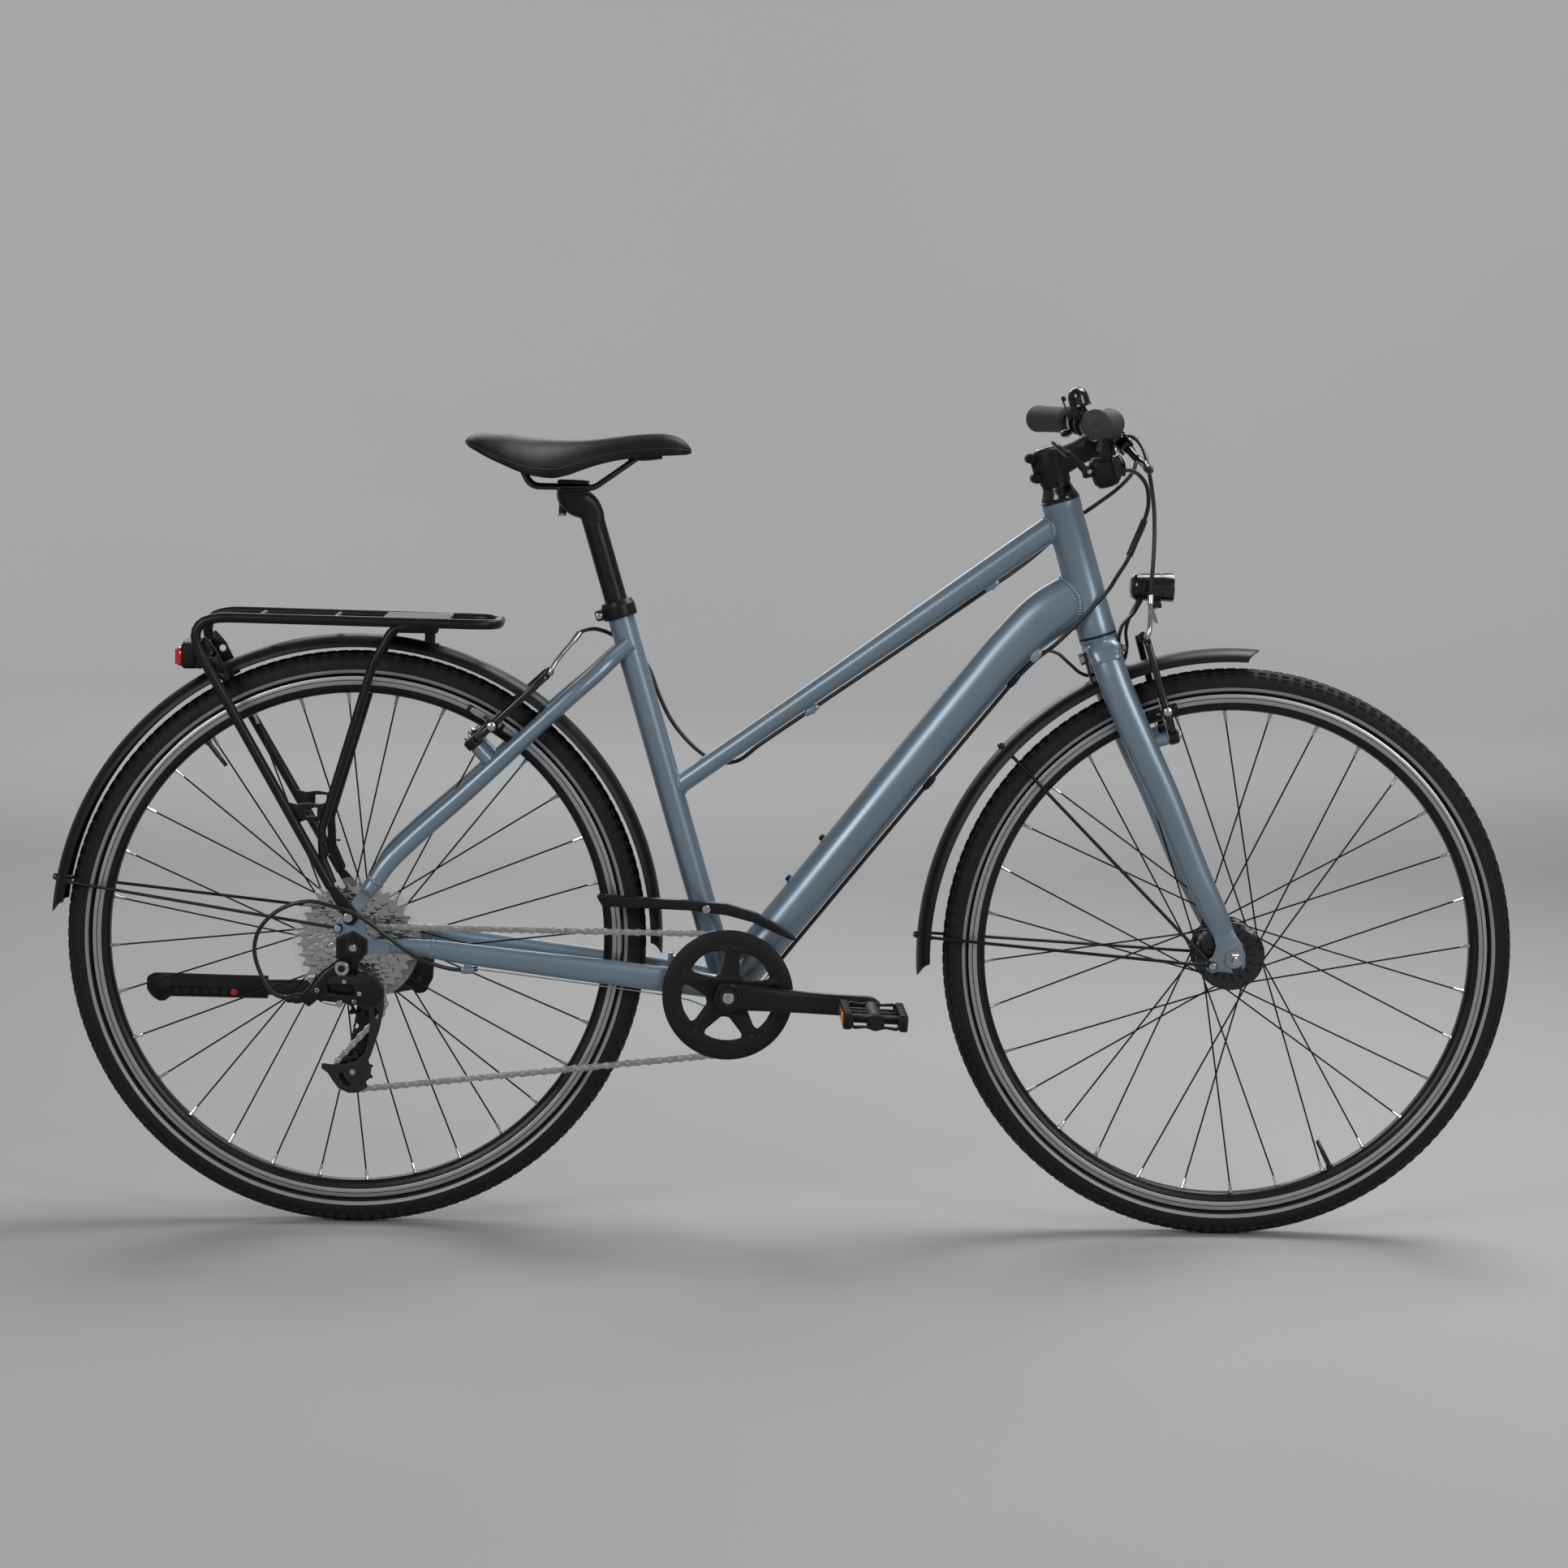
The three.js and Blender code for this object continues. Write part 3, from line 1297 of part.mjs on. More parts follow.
function forkEnd() {
  const half = axleRadius + 1;
  const slot = [0, 60, 120, 180].map((turn) => [
    forkRake + half * Math.cos(degrees(turn)),
    half * Math.sin(degrees(turn)),
  ]);
  const outline = [
    [35, 40], [58, 36], [63, 18], [65, 2], [61, -12], [forkRake + half, -16], ...slot,
    [forkRake - half, -16], [38, -13], [28, -9], [20, -9], [15, -3], [16, 6], [26, 10], [33, 20],
  ];
  return plate(outline, forkEndInner, forkEndOuter);
}

function makeFork() {
  const leg = join(forkLeg(), forkEnd(), brakeStand(22, frontBrake));
  const crown = loft([
    [0, -41, 391, 34, 17],
    [0, -30, 398, 2 * crownFront, 31],
    [0, 0, 400.5, 2 * crownFront, 35],
    [0, 30, 398, 2 * crownFront, 31],
    [0, 41, 391, 34, 17],
  ], { sides: 8, power: 4, sideways: [1, 0, 0] });
  const race = rod([0, 0, 405], [0, 0, crownTop], 21, { sides: 16, endRadius: headTubeRadius });
  const steerer = rod([0, 0, 405], [0, 0, steererTop], steererRadius, { sides: 12 });
  const bolt = join(
    rod([-29, 0, crownBolt], [-24, 0, crownBolt], 6.5, { sides: 6 }),
    rod([-25, 0, crownBolt], [29, 0, crownBolt], 2.9, { sides: 6 }),
    rod([crownFront + 4.6, 0, crownBolt], [29, 0, crownBolt], 5.5, { sides: 6 }),
  );
  return join(leg, mirrored(leg), crown, race, steerer, bolt);
}

function makeHeadset() {
  const bore = steererRadius + 0.6;
  return turned([
    [bore, headTop + gap], [24, headTop + gap], [23, headTop + 6], [17.5, headTop + 17], [17.5, headTop + 23],
    [bore, headTop + 23],
  ], { axis: [0, 0, 1], sides: 16 });
}

part('fork', makeFork(), frameBlue, steering);
part('headset', makeHeadset(), satinBlack, steering);

// Stem and handlebar

const stemLow = headTop + 23 + gap;
const stemTop = barHeight + 11;
const stemRoof = steererTop + 2;
const barSlope = 6.5 / 90;

// The bar and all that it carries are drawn from the steering axis, with the bar's middle at its
// drawn height and reach, in a group that follows the stem.
const drawnHeight = 642;
const drawnReach = 62;
const cockpit = new THREE.Group();
cockpit.position.set(barReach - drawnReach, 0, barHeight - drawnHeight);
steering.add(cockpit);

// A point on the straight run of the bar between its bend and the grip, by its place across.
function onBar(y) {
  const along = (y - 90) / 90;
  return [66 - 4 * along, y, 662 + barSlope * (y - 90)];
}

const gripRoot = onBar(180);
const barEnd = [31, barHalf, 678];

function barRoute() {
  const half = [[drawnReach, 35, drawnHeight], onBar(90), gripRoot, barEnd];
  return [...half.map(([p, y, s]) => [p, -y, s]).reverse(), ...half];
}

function makeHandlebar() {
  return pipe(barRoute(), barRadius, { sides: 8, bend: 60, steps: 2 });
}

function makeStem() {
  const bore = steererRadius + 0.7;
  const sleeve = turned([
    [bore, stemLow], [19, stemLow], [19, stemTop - 3], [16, stemTop], [0, stemTop], [0, stemRoof],
    [bore, stemRoof],
  ], { axis: [0, 0, 1], sides: 14 });
  const arm = loft([
    [6, 0, barHeight - 10, 34, 34],
    [barReach / 2 - 1, 0, barHeight - 5, 32, 30],
    [barReach - 4, 0, barHeight + 1, 38, 30],
  ], { sides: 10, power: 3 });
  const barrel = rod([barReach, -21, barHeight], [barReach, 21, barHeight], 19, { sides: 14 });
  const barKeep = rod([barReach, -40, barHeight], [barReach, 40, barHeight], barRadius + 0.7, { sides: 12 });
  const shaftKeep = rod([0, 0, stemLow - 10], [0, 0, stemRoof], bore, { sides: 14 });
  const heights = [barHeight - 20, barHeight + 5];
  const rearBolts = heights.map((height) => rod([-21, -11, height], [-21, 11, height], 4, { sides: 6 }));
  const rearLug = block([-24, -15], [-8, 8], [barHeight - 25, stemTop - 2]);
  return join(cut(join(arm, barrel, rearLug), barKeep, shaftKeep), sleeve, ...rearBolts);
}

function makeGrip() {
  const axis = vector(barEnd).sub(vector(gripRoot));
  const length = axis.length();
  const inner = length - gripLength + 12;
  const bore = barRadius + 0.6;
  return turned([
    [bore, inner], [gripRadius + 1, inner], [gripRadius, length - 4], [gripRadius - 2, length + 4],
    [0, length + 4], [0, length + gap], [bore, length + gap],
  ], { from: gripRoot, axis: axis.toArray(), sides: 12 });
}

part('handlebar', makeHandlebar(), satinBlack, cockpit);
part('stem', makeStem(), satinBlack, steering);
part('grip_left', makeGrip(), rubber, cockpit);
part('grip_right', mirrored(makeGrip()), rubber, cockpit);

// Brake levers, shifter and bell

const leverPivot = [74, 148, 638];
const leverAxis = [Math.cos(degrees(29.4)), 0, Math.sin(degrees(29.4))];
const leverHub = 5.3;
const leverPin = 2.3;

// A place on the pivot line of the left brake lever.
function onLeverPivot(distance) {
  return leverPivot.map((value, i) => value + leverAxis[i] * distance);
}

// The space of the bar where the controls are clamped.
const controlKeep = rod(onBar(92), onBar(176), barRadius + 0.7, { sides: 12 });

function makePerch() {
  const clamp = rod(onBar(138), onBar(158), 15.8, { sides: 10 });
  const neck = loft([
    [64, 148, 660, 18, 18], [69, 147.5, 650, 20, 18], [74, 147, 638, 20, 18], [76, 147, 632, 18, 14],
  ], { sides: 8, power: 4, sideways: leverAxis });
  const barrel = rod([74, 141, 640], [74, 123, 641], 4.5, { sides: 6 });
  const slot = rod(onLeverPivot(-leverHub - gap), onLeverPivot(leverHub + gap), 11, { sides: 10 });
  const pin = rod(onLeverPivot(-9), onLeverPivot(9), leverPin, { sides: 6 });
  return join(cut(join(clamp, neck, barrel), controlKeep, slot), pin);
}

function makeBrakeLever() {
  const hub = rod(onLeverPivot(-leverHub), onLeverPivot(leverHub), 8.5, { sides: 10 });
  const blade = loft([
    [75, 149, 636, 9, 13], [84, 175, 618, 9, 12], [85, 205, 613, 8, 15], [84, 235, 612, 8, 15],
    [80.5, 258, 611, 8, 12], [79, 264, 611, 9, 13], [78, 268, 611, 6, 8],
  ], { sides: 8, power: 3, sideways: leverAxis });
  const bore = rod(onLeverPivot(-20), onLeverPivot(20), leverPin + 0.6, { sides: 8 });
  return cut(join(hub, blade), bore);
}

const podPivot = [27, 620];
const podMiddle = -135;

function makeControlRight() {
  const pod = loft([
    [46, podMiddle, 600, 26, 28], [46, podMiddle, 604, 32, 33], [46, podMiddle, 624, 32, 33],
    [47, podMiddle, 630, 24, 24],
  ], { sides: 8, power: 5 });
  const neck = loft([[58, -143, 654, 14, 12], [50, -139, 626, 16, 14]], { sides: 8, power: 4 });
  const lug = block([20, 34], [podMiddle - 10, podMiddle + 10], [613, 627]);
  const [p, s] = podPivot;
  const slot = block([14, p + 7.6], [podMiddle - 6.3, podMiddle + 6.3], [600, 640]);
  const pin = rod([p, podMiddle - 9, s], [p, podMiddle + 9, s], 2, { sides: 6 });
  const barrel = rod([56, podMiddle + 14, 610], [66, podMiddle + 24, 609], 4.5, { sides: 6 });
  return join(mirrored(makePerch()), cut(join(pod, neck, lug, barrel), mirrored(controlKeep), slot), pin);
}

function makeShiftLever() {
  const [p, s] = podPivot;
  const hub = rod([p, podMiddle - 6, s], [p, podMiddle + 6, s], 7, { sides: 10 });
  const arm = loft([
    [p, podMiddle, s, 8, 10], [16, podMiddle, 636, 8, 8], [8, podMiddle, 648, 10, 8],
  ], { sides: 6, power: 3 });
  const paddle = loft([
    [9, podMiddle, 644, 10, 6], [5, podMiddle, 650, 20, 7], [0, podMiddle, 658, 21, 7],
    [-4, podMiddle, 665, 14, 5],
  ], { sides: 8, power: 2.4 });
  const bore = rod([p, podMiddle - 20, s], [p, podMiddle + 20, s], 2.6, { sides: 8 });
  return cut(join(hub, arm, paddle), bore);
}

const bellMiddle = 108;
const strikerPivot = [50, 682];

function makeBell() {
  const [p, , s] = onBar(bellMiddle);
  const clamp = rod(onBar(bellMiddle - 6), onBar(bellMiddle + 6), 15, { sides: 10 });
  const base = rod([p, bellMiddle, s + 13], [p, bellMiddle, 688], 7, { sides: 8 });
  const dome = turned([
    [0, 686], [13.5, 686], [13.5, 697], [11.5, 704], [7, 708.5], [0, 710],
  ], { from: [p, bellMiddle, 0], axis: [0, 0, 1], sides: 12 });
  const lug = block([46, p], [bellMiddle - 6, bellMiddle + 6], [674, 684.6]);
  const slot = block([40, strikerPivot[0] + 4.2], [bellMiddle - 3.3, bellMiddle + 3.3], [670, 690]);
  const [pinP, pinS] = strikerPivot;
  const pin = rod([pinP, bellMiddle - 5, pinS], [pinP, bellMiddle + 5, pinS], 1.5, { sides: 6 });
  return join(cut(join(clamp, base, dome, lug), controlKeep, slot), pin);
}

function makeStriker() {
  const [p, s] = strikerPivot;
  const hub = rod([p, bellMiddle - 3, s], [p, bellMiddle + 3, s], 3.6, { sides: 8 });
  const arm = loft([
    [p - 1, bellMiddle, s + 1, 4, 3], [47, bellMiddle, 692, 4, 2.4], [46.5, bellMiddle, 700, 4, 2.4],
  ], { sides: 4 });
  const knob = rod([44.5, bellMiddle, 701], [50.5, bellMiddle, 701], 3.6, { sides: 8 });
  const bore = rod([p, bellMiddle - 9, s], [p, bellMiddle + 9, s], 2, { sides: 6 });
  return cut(join(hub, arm, knob), bore);
}

part('brake_perch_left', makePerch(), satinBlack, cockpit);
part('control_right', makeControlRight(), satinBlack, cockpit);
part('brake_lever_left', makeBrakeLever(), satinBlack, cockpit);
part('brake_lever_right', mirrored(makeBrakeLever()), satinBlack, cockpit);
part('shift_lever', makeShiftLever(), satinBlack, cockpit);
part('bell_body', makeBell(), glossBlack, cockpit);
part('bell_striker', makeStriker(), silver, cockpit);

// Front lamp on its bracket, level with the ground

function makeHeadlight() {
  const level = [Math.sin(headAngle), 0, -Math.cos(headAngle)];
  const middle = [78.4, 0, 457];
  const from = middle.map((value, i) => value - 26 * level[i]);
  const lamp = turned([
    [0, 0], [9, 0], [14, 5], [16, 14], [17, 40], [17.6, 52], [0, 52],
  ], { from, axis: level, sides: 14 });
  const strap = loft([
    [crownFront + 2.2, 0, 387, 16, 3.2], [crownFront + 2.4, 0, 402, 16, 3.2], [31, 0, 421, 14, 4],
    [50, 0, 434, 12, 5], [62, 0, 449, 12, 8],
  ], { sides: 6, power: 5 });
  const hole = rod([0, 0, crownBolt], [40, 0, crownBolt], crownBoltHole, { sides: 6 });
  return join(cut(strap, hole), lamp);
}

part('headlight', makeHeadlight(), glossBlack, steering);

// Rim brake arms, each turning on its own stud

function brakeArm({ at, half, foot, padAt, padLean }) {
  const hub = rod([at - brakeHubHalf, half, foot], [at + brakeHubHalf, half, foot], 9.5, { sides: 10 });
  const blade = loft([
    [at, half + 1, foot + 2, 10, 15], [at, half + 4, foot + 50, 9, 12], [at, half + 4, foot + 90, 9, 11],
    [at, half + 1, foot + 114, 9, 12], [at, half - 1, foot + 121, 8, 9],
  ], { sides: 6, power: 4, sideways: [1, 0, 0] });
  const [padX, padZ] = padAt;
  const padEnd = (t) => [padX + t * Math.cos(padLean), 19, padZ + t * Math.sin(padLean)];
  const pad = loft([[...padEnd(-25), 10, 8], [...padEnd(25), 10, 8]], { sides: 8, power: 5 });
  const stud = loft([
    [padX, 21, padZ, 8, 8], [padX, 30, padZ, 8, 8], [at, half - 2, padZ + 1, 9, 9],
    [at, half + 10, padZ + 1, 9, 9],
  ], { sides: 6, sideways: [1, 0, 0] });
  const bore = rod([at - 20, half, foot], [at + 20, half, foot], brakeStud + 0.6, { sides: 8 });
  return cut(join(hub, blade, pad, stud), bore);
}

part('front_brake_left', brakeArm(frontBrake), satinBlack, steering);
part('front_brake_right', mirrored(brakeArm(frontBrake)), satinBlack, steering);

const rearBrakes = new THREE.Group();
rearBrakes.position.set(rearBrakeFoot[0], 0, rearBrakeFoot[1]);
rearBrakes.rotation.y = rearBrakeTurn;
frame.add(rearBrakes);

part('rear_brake_left', brakeArm(rearBrake), satinBlack, rearBrakes);
part('rear_brake_right', mirrored(brakeArm(rearBrake)), satinBlack, rearBrakes);

// Cables. Each is one piece from its lever to its brake or derailleur.

const housing = 2.5;
const innerWire = 1;
const armTop = 121 + housing + 1.3;

// The middle of the top of a rear brake arm, in the frame's coordinates.
function onRearArm(y) {
  const [x, z] = [rearBrake.at, rearBrake.foot + armTop];
  const [c, s] = [Math.cos(rearBrakeTurn), Math.sin(rearBrakeTurn)];
  return [rearBrakeFoot[0] + x * c + z * s, y, rearBrakeFoot[1] - x * s + z * c];
}

function underTopTube(x, depth, y = 0) {
  const [, , z] = alongTopTube(x);
  return [x, y, z - depth * Math.hypot(1, topTubeRise)];
}

function makeRearBrakeCable() {
  const tip = onRearArm(-37);
  const route = [
    onSteer(73.5, -122, 641.2), onSteer(84, -100, 637), onSteer(93, -70, 620), onSteer(92, -35, 603),
    onSteer(84, -5, 591), onSteer(68, 18, 580), onSteer(49, 28, 572), onSteer(30, 32, 565),
    onSteer(12, 33, 560), [822, 27, 838], [790, 18, 812], underTopTube(757, 18.1, 5),
    underTopTube(640, 17), underTopTube(543, 15.8), underTopTube(482, 15.2), [455, 10, 572],
    [430, 22, 569], [410, 27, 580], [392, 28, 596], [373, 27, 620], [358, 26, 650], [346, 26.5, 680],
    [331, 28, 701], [314, 26, 715], [302, 15, 721], [290, 0, 727],
    [276, -13, 730], [262, -24, 726], [256, -29, 718],
  ];
  const noodle = [[256, -29, 718], [243, -40, 703], [232, -50, 688], onRearArm(-52), onRearArm(-47), tip];
  return join(
    cable(route, housing, { sides: 5, steps: 38 }),
    cable(noodle, housing + 0.4, { sides: 5, steps: 8 }),
    rod([262, -24.5, 726], [254, -30.5, 715.5], 4, { sides: 6 }),
    rod(onRearArm(-40), onRearArm(44), innerWire, { sides: 4 }),
  );
}

function makeFrontBrakeCable() {
  const { at, foot } = frontBrake;
  const top = foot + armTop;
  const route = [
    [73.5, 122, 641.2], [83, 105, 641], [98, 80, 640], [110, 50, 635], [115, 30, 624], [114, 8, 605],
    [110, -8, 580], [104, -20, 550], [96, -28, 522], [84, -33, 487], [72, -35, 455], [69, -35, 445],
  ];
  const noodle = [
    [69, -35, 445], [63, -44, 428], [56, -52, 412], [at, -52, top], [at, -47, top], [at, -35, top],
  ];
  return join(
    cable(route, housing, { sides: 5, steps: 20 }),
    cable(noodle, housing + 0.4, { sides: 5, steps: 8 }),
    rod([71, -35, 451], [67.5, -37, 441], 4, { sides: 6 }),
    rod([at, -38, top], [at, 43, top], innerWire, { sides: 4 }),
  );
}

function makeGearCable() {
  const front = [
    onSteer(66.4, -110.6, 609), onSteer(78, -98, 606), onSteer(90, -80, 596), onSteer(97, -64, 579),
    onSteer(94, -52, 556), onSteer(82, -44, 535), onSteer(68, -40, 517), onSteer(55, -38, 500),
    onSteer(38, -34, 484), onSteer(23, -30, 470), [835, -20, 724], alongDownTube(551, 34.5, -9),
    alongDownTube(511, 31.3), alongDownTube(480, 30.8), alongDownTube(350, 30), alongDownTube(200, 29.2),
    alongDownTube(60, 28.8),
  ];
  const wire = [
    alongDownTube(62, 28.8), alongDownTube(14, 29), [462, -2, 270.5], [444, -5, 269.5], [424, -12, 273],
    [400, -22, 283], [350, -34, 293], [198, -49, 314], [140, -56, 322],
  ];
  const rear = [
    [146, -55.3, 321.2], [120, -60, 321], [92, -68, 329], [72, -79, 340], [41, -87, 363], [8, -89.5, 387],
    [-21, -89.5, 398], [-55, -88, 404], [-89, -85, 392], [-111, -83, 369], [-117, -82, 345], [-112, -81.5, 322],
    [-103, -82, 304], [-92, -83, 291], [-76, -84, 286],
  ];
  return join(
    cable(front, housing, { sides: 5, steps: 24 }),
    cable(wire, innerWire, { sides: 4, steps: 12 }),
    cable(rear, housing, { sides: 5, steps: 22 }),
  );
}

function makeLightWire() {
  return cable([
    alongDownTube(505, 29.8, 8), alongDownTube(528, 31.2, 9), [826, 11, 713], [840, 13, 711], [855, 14, 699],
    [870, 14, 687], onSteer(-20, 14, 372.5), onSteer(0, 14, 376.3), onSteer(22, 13, 378), onSteer(31, 11, 392),
    onSteer(36, 9, 415), onSteer(47, 8, 432), onSteer(58, 7.6, 443.5),
  ], 1.6, { sides: 5, steps: 22 });
}

part('rear_brake_cable', makeRearBrakeCable(), rubber);
part('gear_cable', makeGearCable(), rubber);
part('light_wire', makeLightWire(), rubber);
part('front_brake_cable', makeFrontBrakeCable(), rubber, steering);

// The row frame puts the middle of the whole bicycle over the origin.
bicycle.updateMatrixWorld(true);
const bounds = new THREE.Box3().setFromObject(bicycle);
frame.position.x = -(bounds.min.x + bounds.max.x) / 2;

export default bicycle;
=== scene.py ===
# %% [markdown]
# A step-through city bicycle, dressed for the camera.
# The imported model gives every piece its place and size. The cells below lay smooth, detailed
# skins over its plain solids, piece by piece, and give each one its finish. All shapes are
# written in millimetres, measured forward, left and up from the rear axle's foot on the
# ground, because that is how a bicycle is drawn. One function turns them into metres.

# %% Load the frame
import math

import bmesh
import bpy
import numpy as np
from mathutils import Matrix, Vector


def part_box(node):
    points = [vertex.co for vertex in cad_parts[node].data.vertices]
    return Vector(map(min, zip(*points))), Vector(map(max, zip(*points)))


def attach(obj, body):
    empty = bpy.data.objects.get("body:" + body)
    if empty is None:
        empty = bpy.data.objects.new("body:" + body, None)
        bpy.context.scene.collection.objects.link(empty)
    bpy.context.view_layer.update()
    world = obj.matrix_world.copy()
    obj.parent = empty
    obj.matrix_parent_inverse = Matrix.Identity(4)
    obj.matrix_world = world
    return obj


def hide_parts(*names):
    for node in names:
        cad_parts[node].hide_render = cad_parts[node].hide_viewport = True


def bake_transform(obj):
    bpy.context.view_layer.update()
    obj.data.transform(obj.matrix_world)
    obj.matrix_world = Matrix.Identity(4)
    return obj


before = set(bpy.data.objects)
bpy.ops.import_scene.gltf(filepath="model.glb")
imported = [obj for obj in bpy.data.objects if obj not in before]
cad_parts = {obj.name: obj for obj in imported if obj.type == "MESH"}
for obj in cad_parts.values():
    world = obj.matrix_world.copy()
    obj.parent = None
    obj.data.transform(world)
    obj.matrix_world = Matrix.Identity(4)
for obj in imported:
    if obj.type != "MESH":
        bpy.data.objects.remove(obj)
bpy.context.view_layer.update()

MM = 0.001
rear_low, rear_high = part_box("rear_axle")
AXLE_X = (rear_low.x + rear_high.x) / 2
AXLE_Z = (rear_low.z + rear_high.z) / 2 / MM
print("rear axle at", round(AXLE_X / MM, 1), round(AXLE_Z, 1))

# %% [markdown]
# Two sets of measures are enough. Frame measures are (forward, left, up). Steering measures
# are (ahead of the steering axis, left, up along it), because fork, stem and bar all lean
# with the head tube. Anything can be drawn upright and square, and then leaned into place.

# %% Places on the bicycle
WHEELBASE = 1059
FORK_RAKE = 50
HEAD_ANGLE = math.radians(72.8)
SEAT_ANGLE = math.radians(73)
BRACKET_DROP = 54.5
CHAINSTAY = 451.3
BRACKET_X = math.sqrt(CHAINSTAY ** 2 - BRACKET_DROP ** 2)
BRACKET_Z = AXLE_Z - BRACKET_DROP
STEER_X = WHEELBASE - FORK_RAKE * math.sin(HEAD_ANGLE)
STEER_Z = AXLE_Z - FORK_RAKE * math.cos(HEAD_ANGLE)
TAU = 2 * math.pi


def in_frame(points):
    """Frame measures in millimetres to the row frame in metres."""
    return np.asarray(points, float) * MM + [AXLE_X, 0, 0]


def steer(p, y, s):
    """One place given in steering measures, as frame measures."""
    x = STEER_X + p * math.sin(HEAD_ANGLE) - s * math.cos(HEAD_ANGLE)
    z = STEER_Z + p * math.cos(HEAD_ANGLE) + s * math.sin(HEAD_ANGLE)
    return (x, y, z)


def in_steering(points):
    """Steering measures in millimetres to the row frame in metres."""
    p, y, s = np.asarray(points, float).T
    return in_frame(np.column_stack(steer(p, y, s)))


def on_seat(length, y=0, ahead=0):
    """A place along the seat tube, measured up from the bottom bracket."""
    x = BRACKET_X - length * math.cos(SEAT_ANGLE) + ahead * math.sin(SEAT_ANGLE)
    z = BRACKET_Z + length * math.sin(SEAT_ANGLE) + ahead * math.cos(SEAT_ANGLE)
    return (x, y, z)


# %% [markdown]
# Shapes are made as plain lists of points and faces. A turned profile gives hubs and caps,
# a loft gives tubes that change section, a swept tube gives wires and bars, and a slab gives
# plates with holes. Each is a few lines, and they all end in the same pair of lists.

# %% Smooth curves through a few stations
def smooth_rows(rows, per):
    """Rows of numbers, with smooth rows between them that never overshoot."""
    rows = np.asarray(rows, float)
    lengths = np.linalg.norm(np.diff(rows[:, :3], axis=0), axis=1)
    slopes = np.diff(rows, axis=0) / lengths[:, None]
    bends = np.zeros_like(rows)
    bends[0], bends[-1] = slopes[0], slopes[-1]
    for i in range(1, len(rows) - 1):
        same = slopes[i - 1] * slopes[i] > 0
        total = np.where(same, slopes[i - 1] + slopes[i], 1)
        bends[i] = np.where(same, 2 * slopes[i - 1] * slopes[i] / total, 0)
    path = [rows[0]]
    for i, length in enumerate(lengths):
        for k in range(1, per + 1):
            t = k / per
            a = (1 + 2 * t) * (1 - t) ** 2
            b = t * (1 - t) ** 2 * length
            c = t * t * (3 - 2 * t)
            d = t * t * (t - 1) * length
            path.append(a * rows[i] + b * bends[i] + c * rows[i + 1] + d * bends[i + 1])
    return np.array(path)


def flowing(points, per=8):
    """A cable's line: a centripetal curve through chosen points."""
    points = [np.array(p, float) for p in points]
    points = [2 * points[0] - points[1], *points, 2 * points[-1] - points[-2]]
    path = [points[1]]
    for i in range(1, len(points) - 2):
        p0, p1, p2, p3 = points[i - 1:i + 3]
        t0, t1 = 0, np.linalg.norm(p1 - p0) ** 0.5
        t2 = t1 + np.linalg.norm(p2 - p1) ** 0.5
        t3 = t2 + np.linalg.norm(p3 - p2) ** 0.5
        for k in range(1, per + 1):
            t = t1 + (t2 - t1) * k / per
            a1 = (t1 - t) / (t1 - t0) * p0 + (t - t0) / (t1 - t0) * p1
            a2 = (t2 - t) / (t2 - t1) * p1 + (t - t1) / (t2 - t1) * p2
            a3 = (t3 - t) / (t3 - t2) * p2 + (t - t2) / (t3 - t2) * p3
            b1 = (t2 - t) / (t2 - t0) * a1 + (t - t0) / (t2 - t0) * a2
            b2 = (t3 - t) / (t3 - t1) * a2 + (t - t1) / (t3 - t1) * a3
            path.append((t2 - t) / (t2 - t1) * b1 + (t - t1) / (t2 - t1) * b2)
    return np.array(path)


def bent(points, bend, steps=6, closed=False):
    """A path of straight runs whose corners are rounded."""
    points = [np.array(p, float) for p in points]
    count = len(points)
    inner = range(count) if closed else range(1, count - 1)
    path = [] if closed else [points[0]]
    for i in inner:
        before = points[i - 1] - points[i]
        after = points[(i + 1) % count] - points[i]
        long_before, long_after = np.linalg.norm(before), np.linalg.norm(after)
        cosine = np.clip(before @ after / long_before / long_after, -1, 1)
        turn = math.acos(cosine)
        if turn > math.pi - 0.01:
            path.append(points[i])
            continue
        reach = min(bend / math.tan(turn / 2), long_before * 0.48, long_after * 0.48)
        start = points[i] + before / long_before * reach
        end = points[i] + after / long_after * reach
        for k in range(steps + 1):
            t = k / steps
            path.append((1 - t) ** 2 * start + 2 * t * (1 - t) * points[i] + t * t * end)
    if not closed:
        path.append(points[-1])
    return np.array(path)


# %% [markdown]
# Most bodies of a bicycle are skins stretched over a row of sections. A ring of points is laid
# round each place along the body, and faces join each ring to the next. The loft sets rings
# through stations with a width and a height, the swept tube keeps one round section, and a
# turned profile walks its rings round an axis. A subdivision surface could round such forms
# too, but rings keep every measure just as it is written.

# %% Skins over rings of points
def skin(rings, closed=False):
    """Points and faces of a body through rings that all have the same number of points."""
    rings = np.asarray(rings, float)
    rows, count = rings.shape[:2]
    faces = []
    for row in range(rows if closed else rows - 1):
        here, there = row * count, (row + 1) % rows * count
        for i in range(count):
            j = (i + 1) % count
            faces.append((here + i, here + j, there + j, there + i))
    if not closed:
        faces.append(tuple(range(count))[::-1])
        last = (rows - 1) * count
        faces.append(tuple(range(last, last + count)))
    return rings.reshape(-1, 3), faces


def section(sides, power=2.0):
    """A unit section: power 2 is round, and a higher power is boxier."""
    turn = TAU * (np.arange(sides) + 0.5) / sides
    a, b = np.cos(turn), np.sin(turn)
    return np.column_stack([
        np.sign(a) * np.abs(a) ** (2 / power),
        np.sign(b) * np.abs(b) ** (2 / power),
    ])


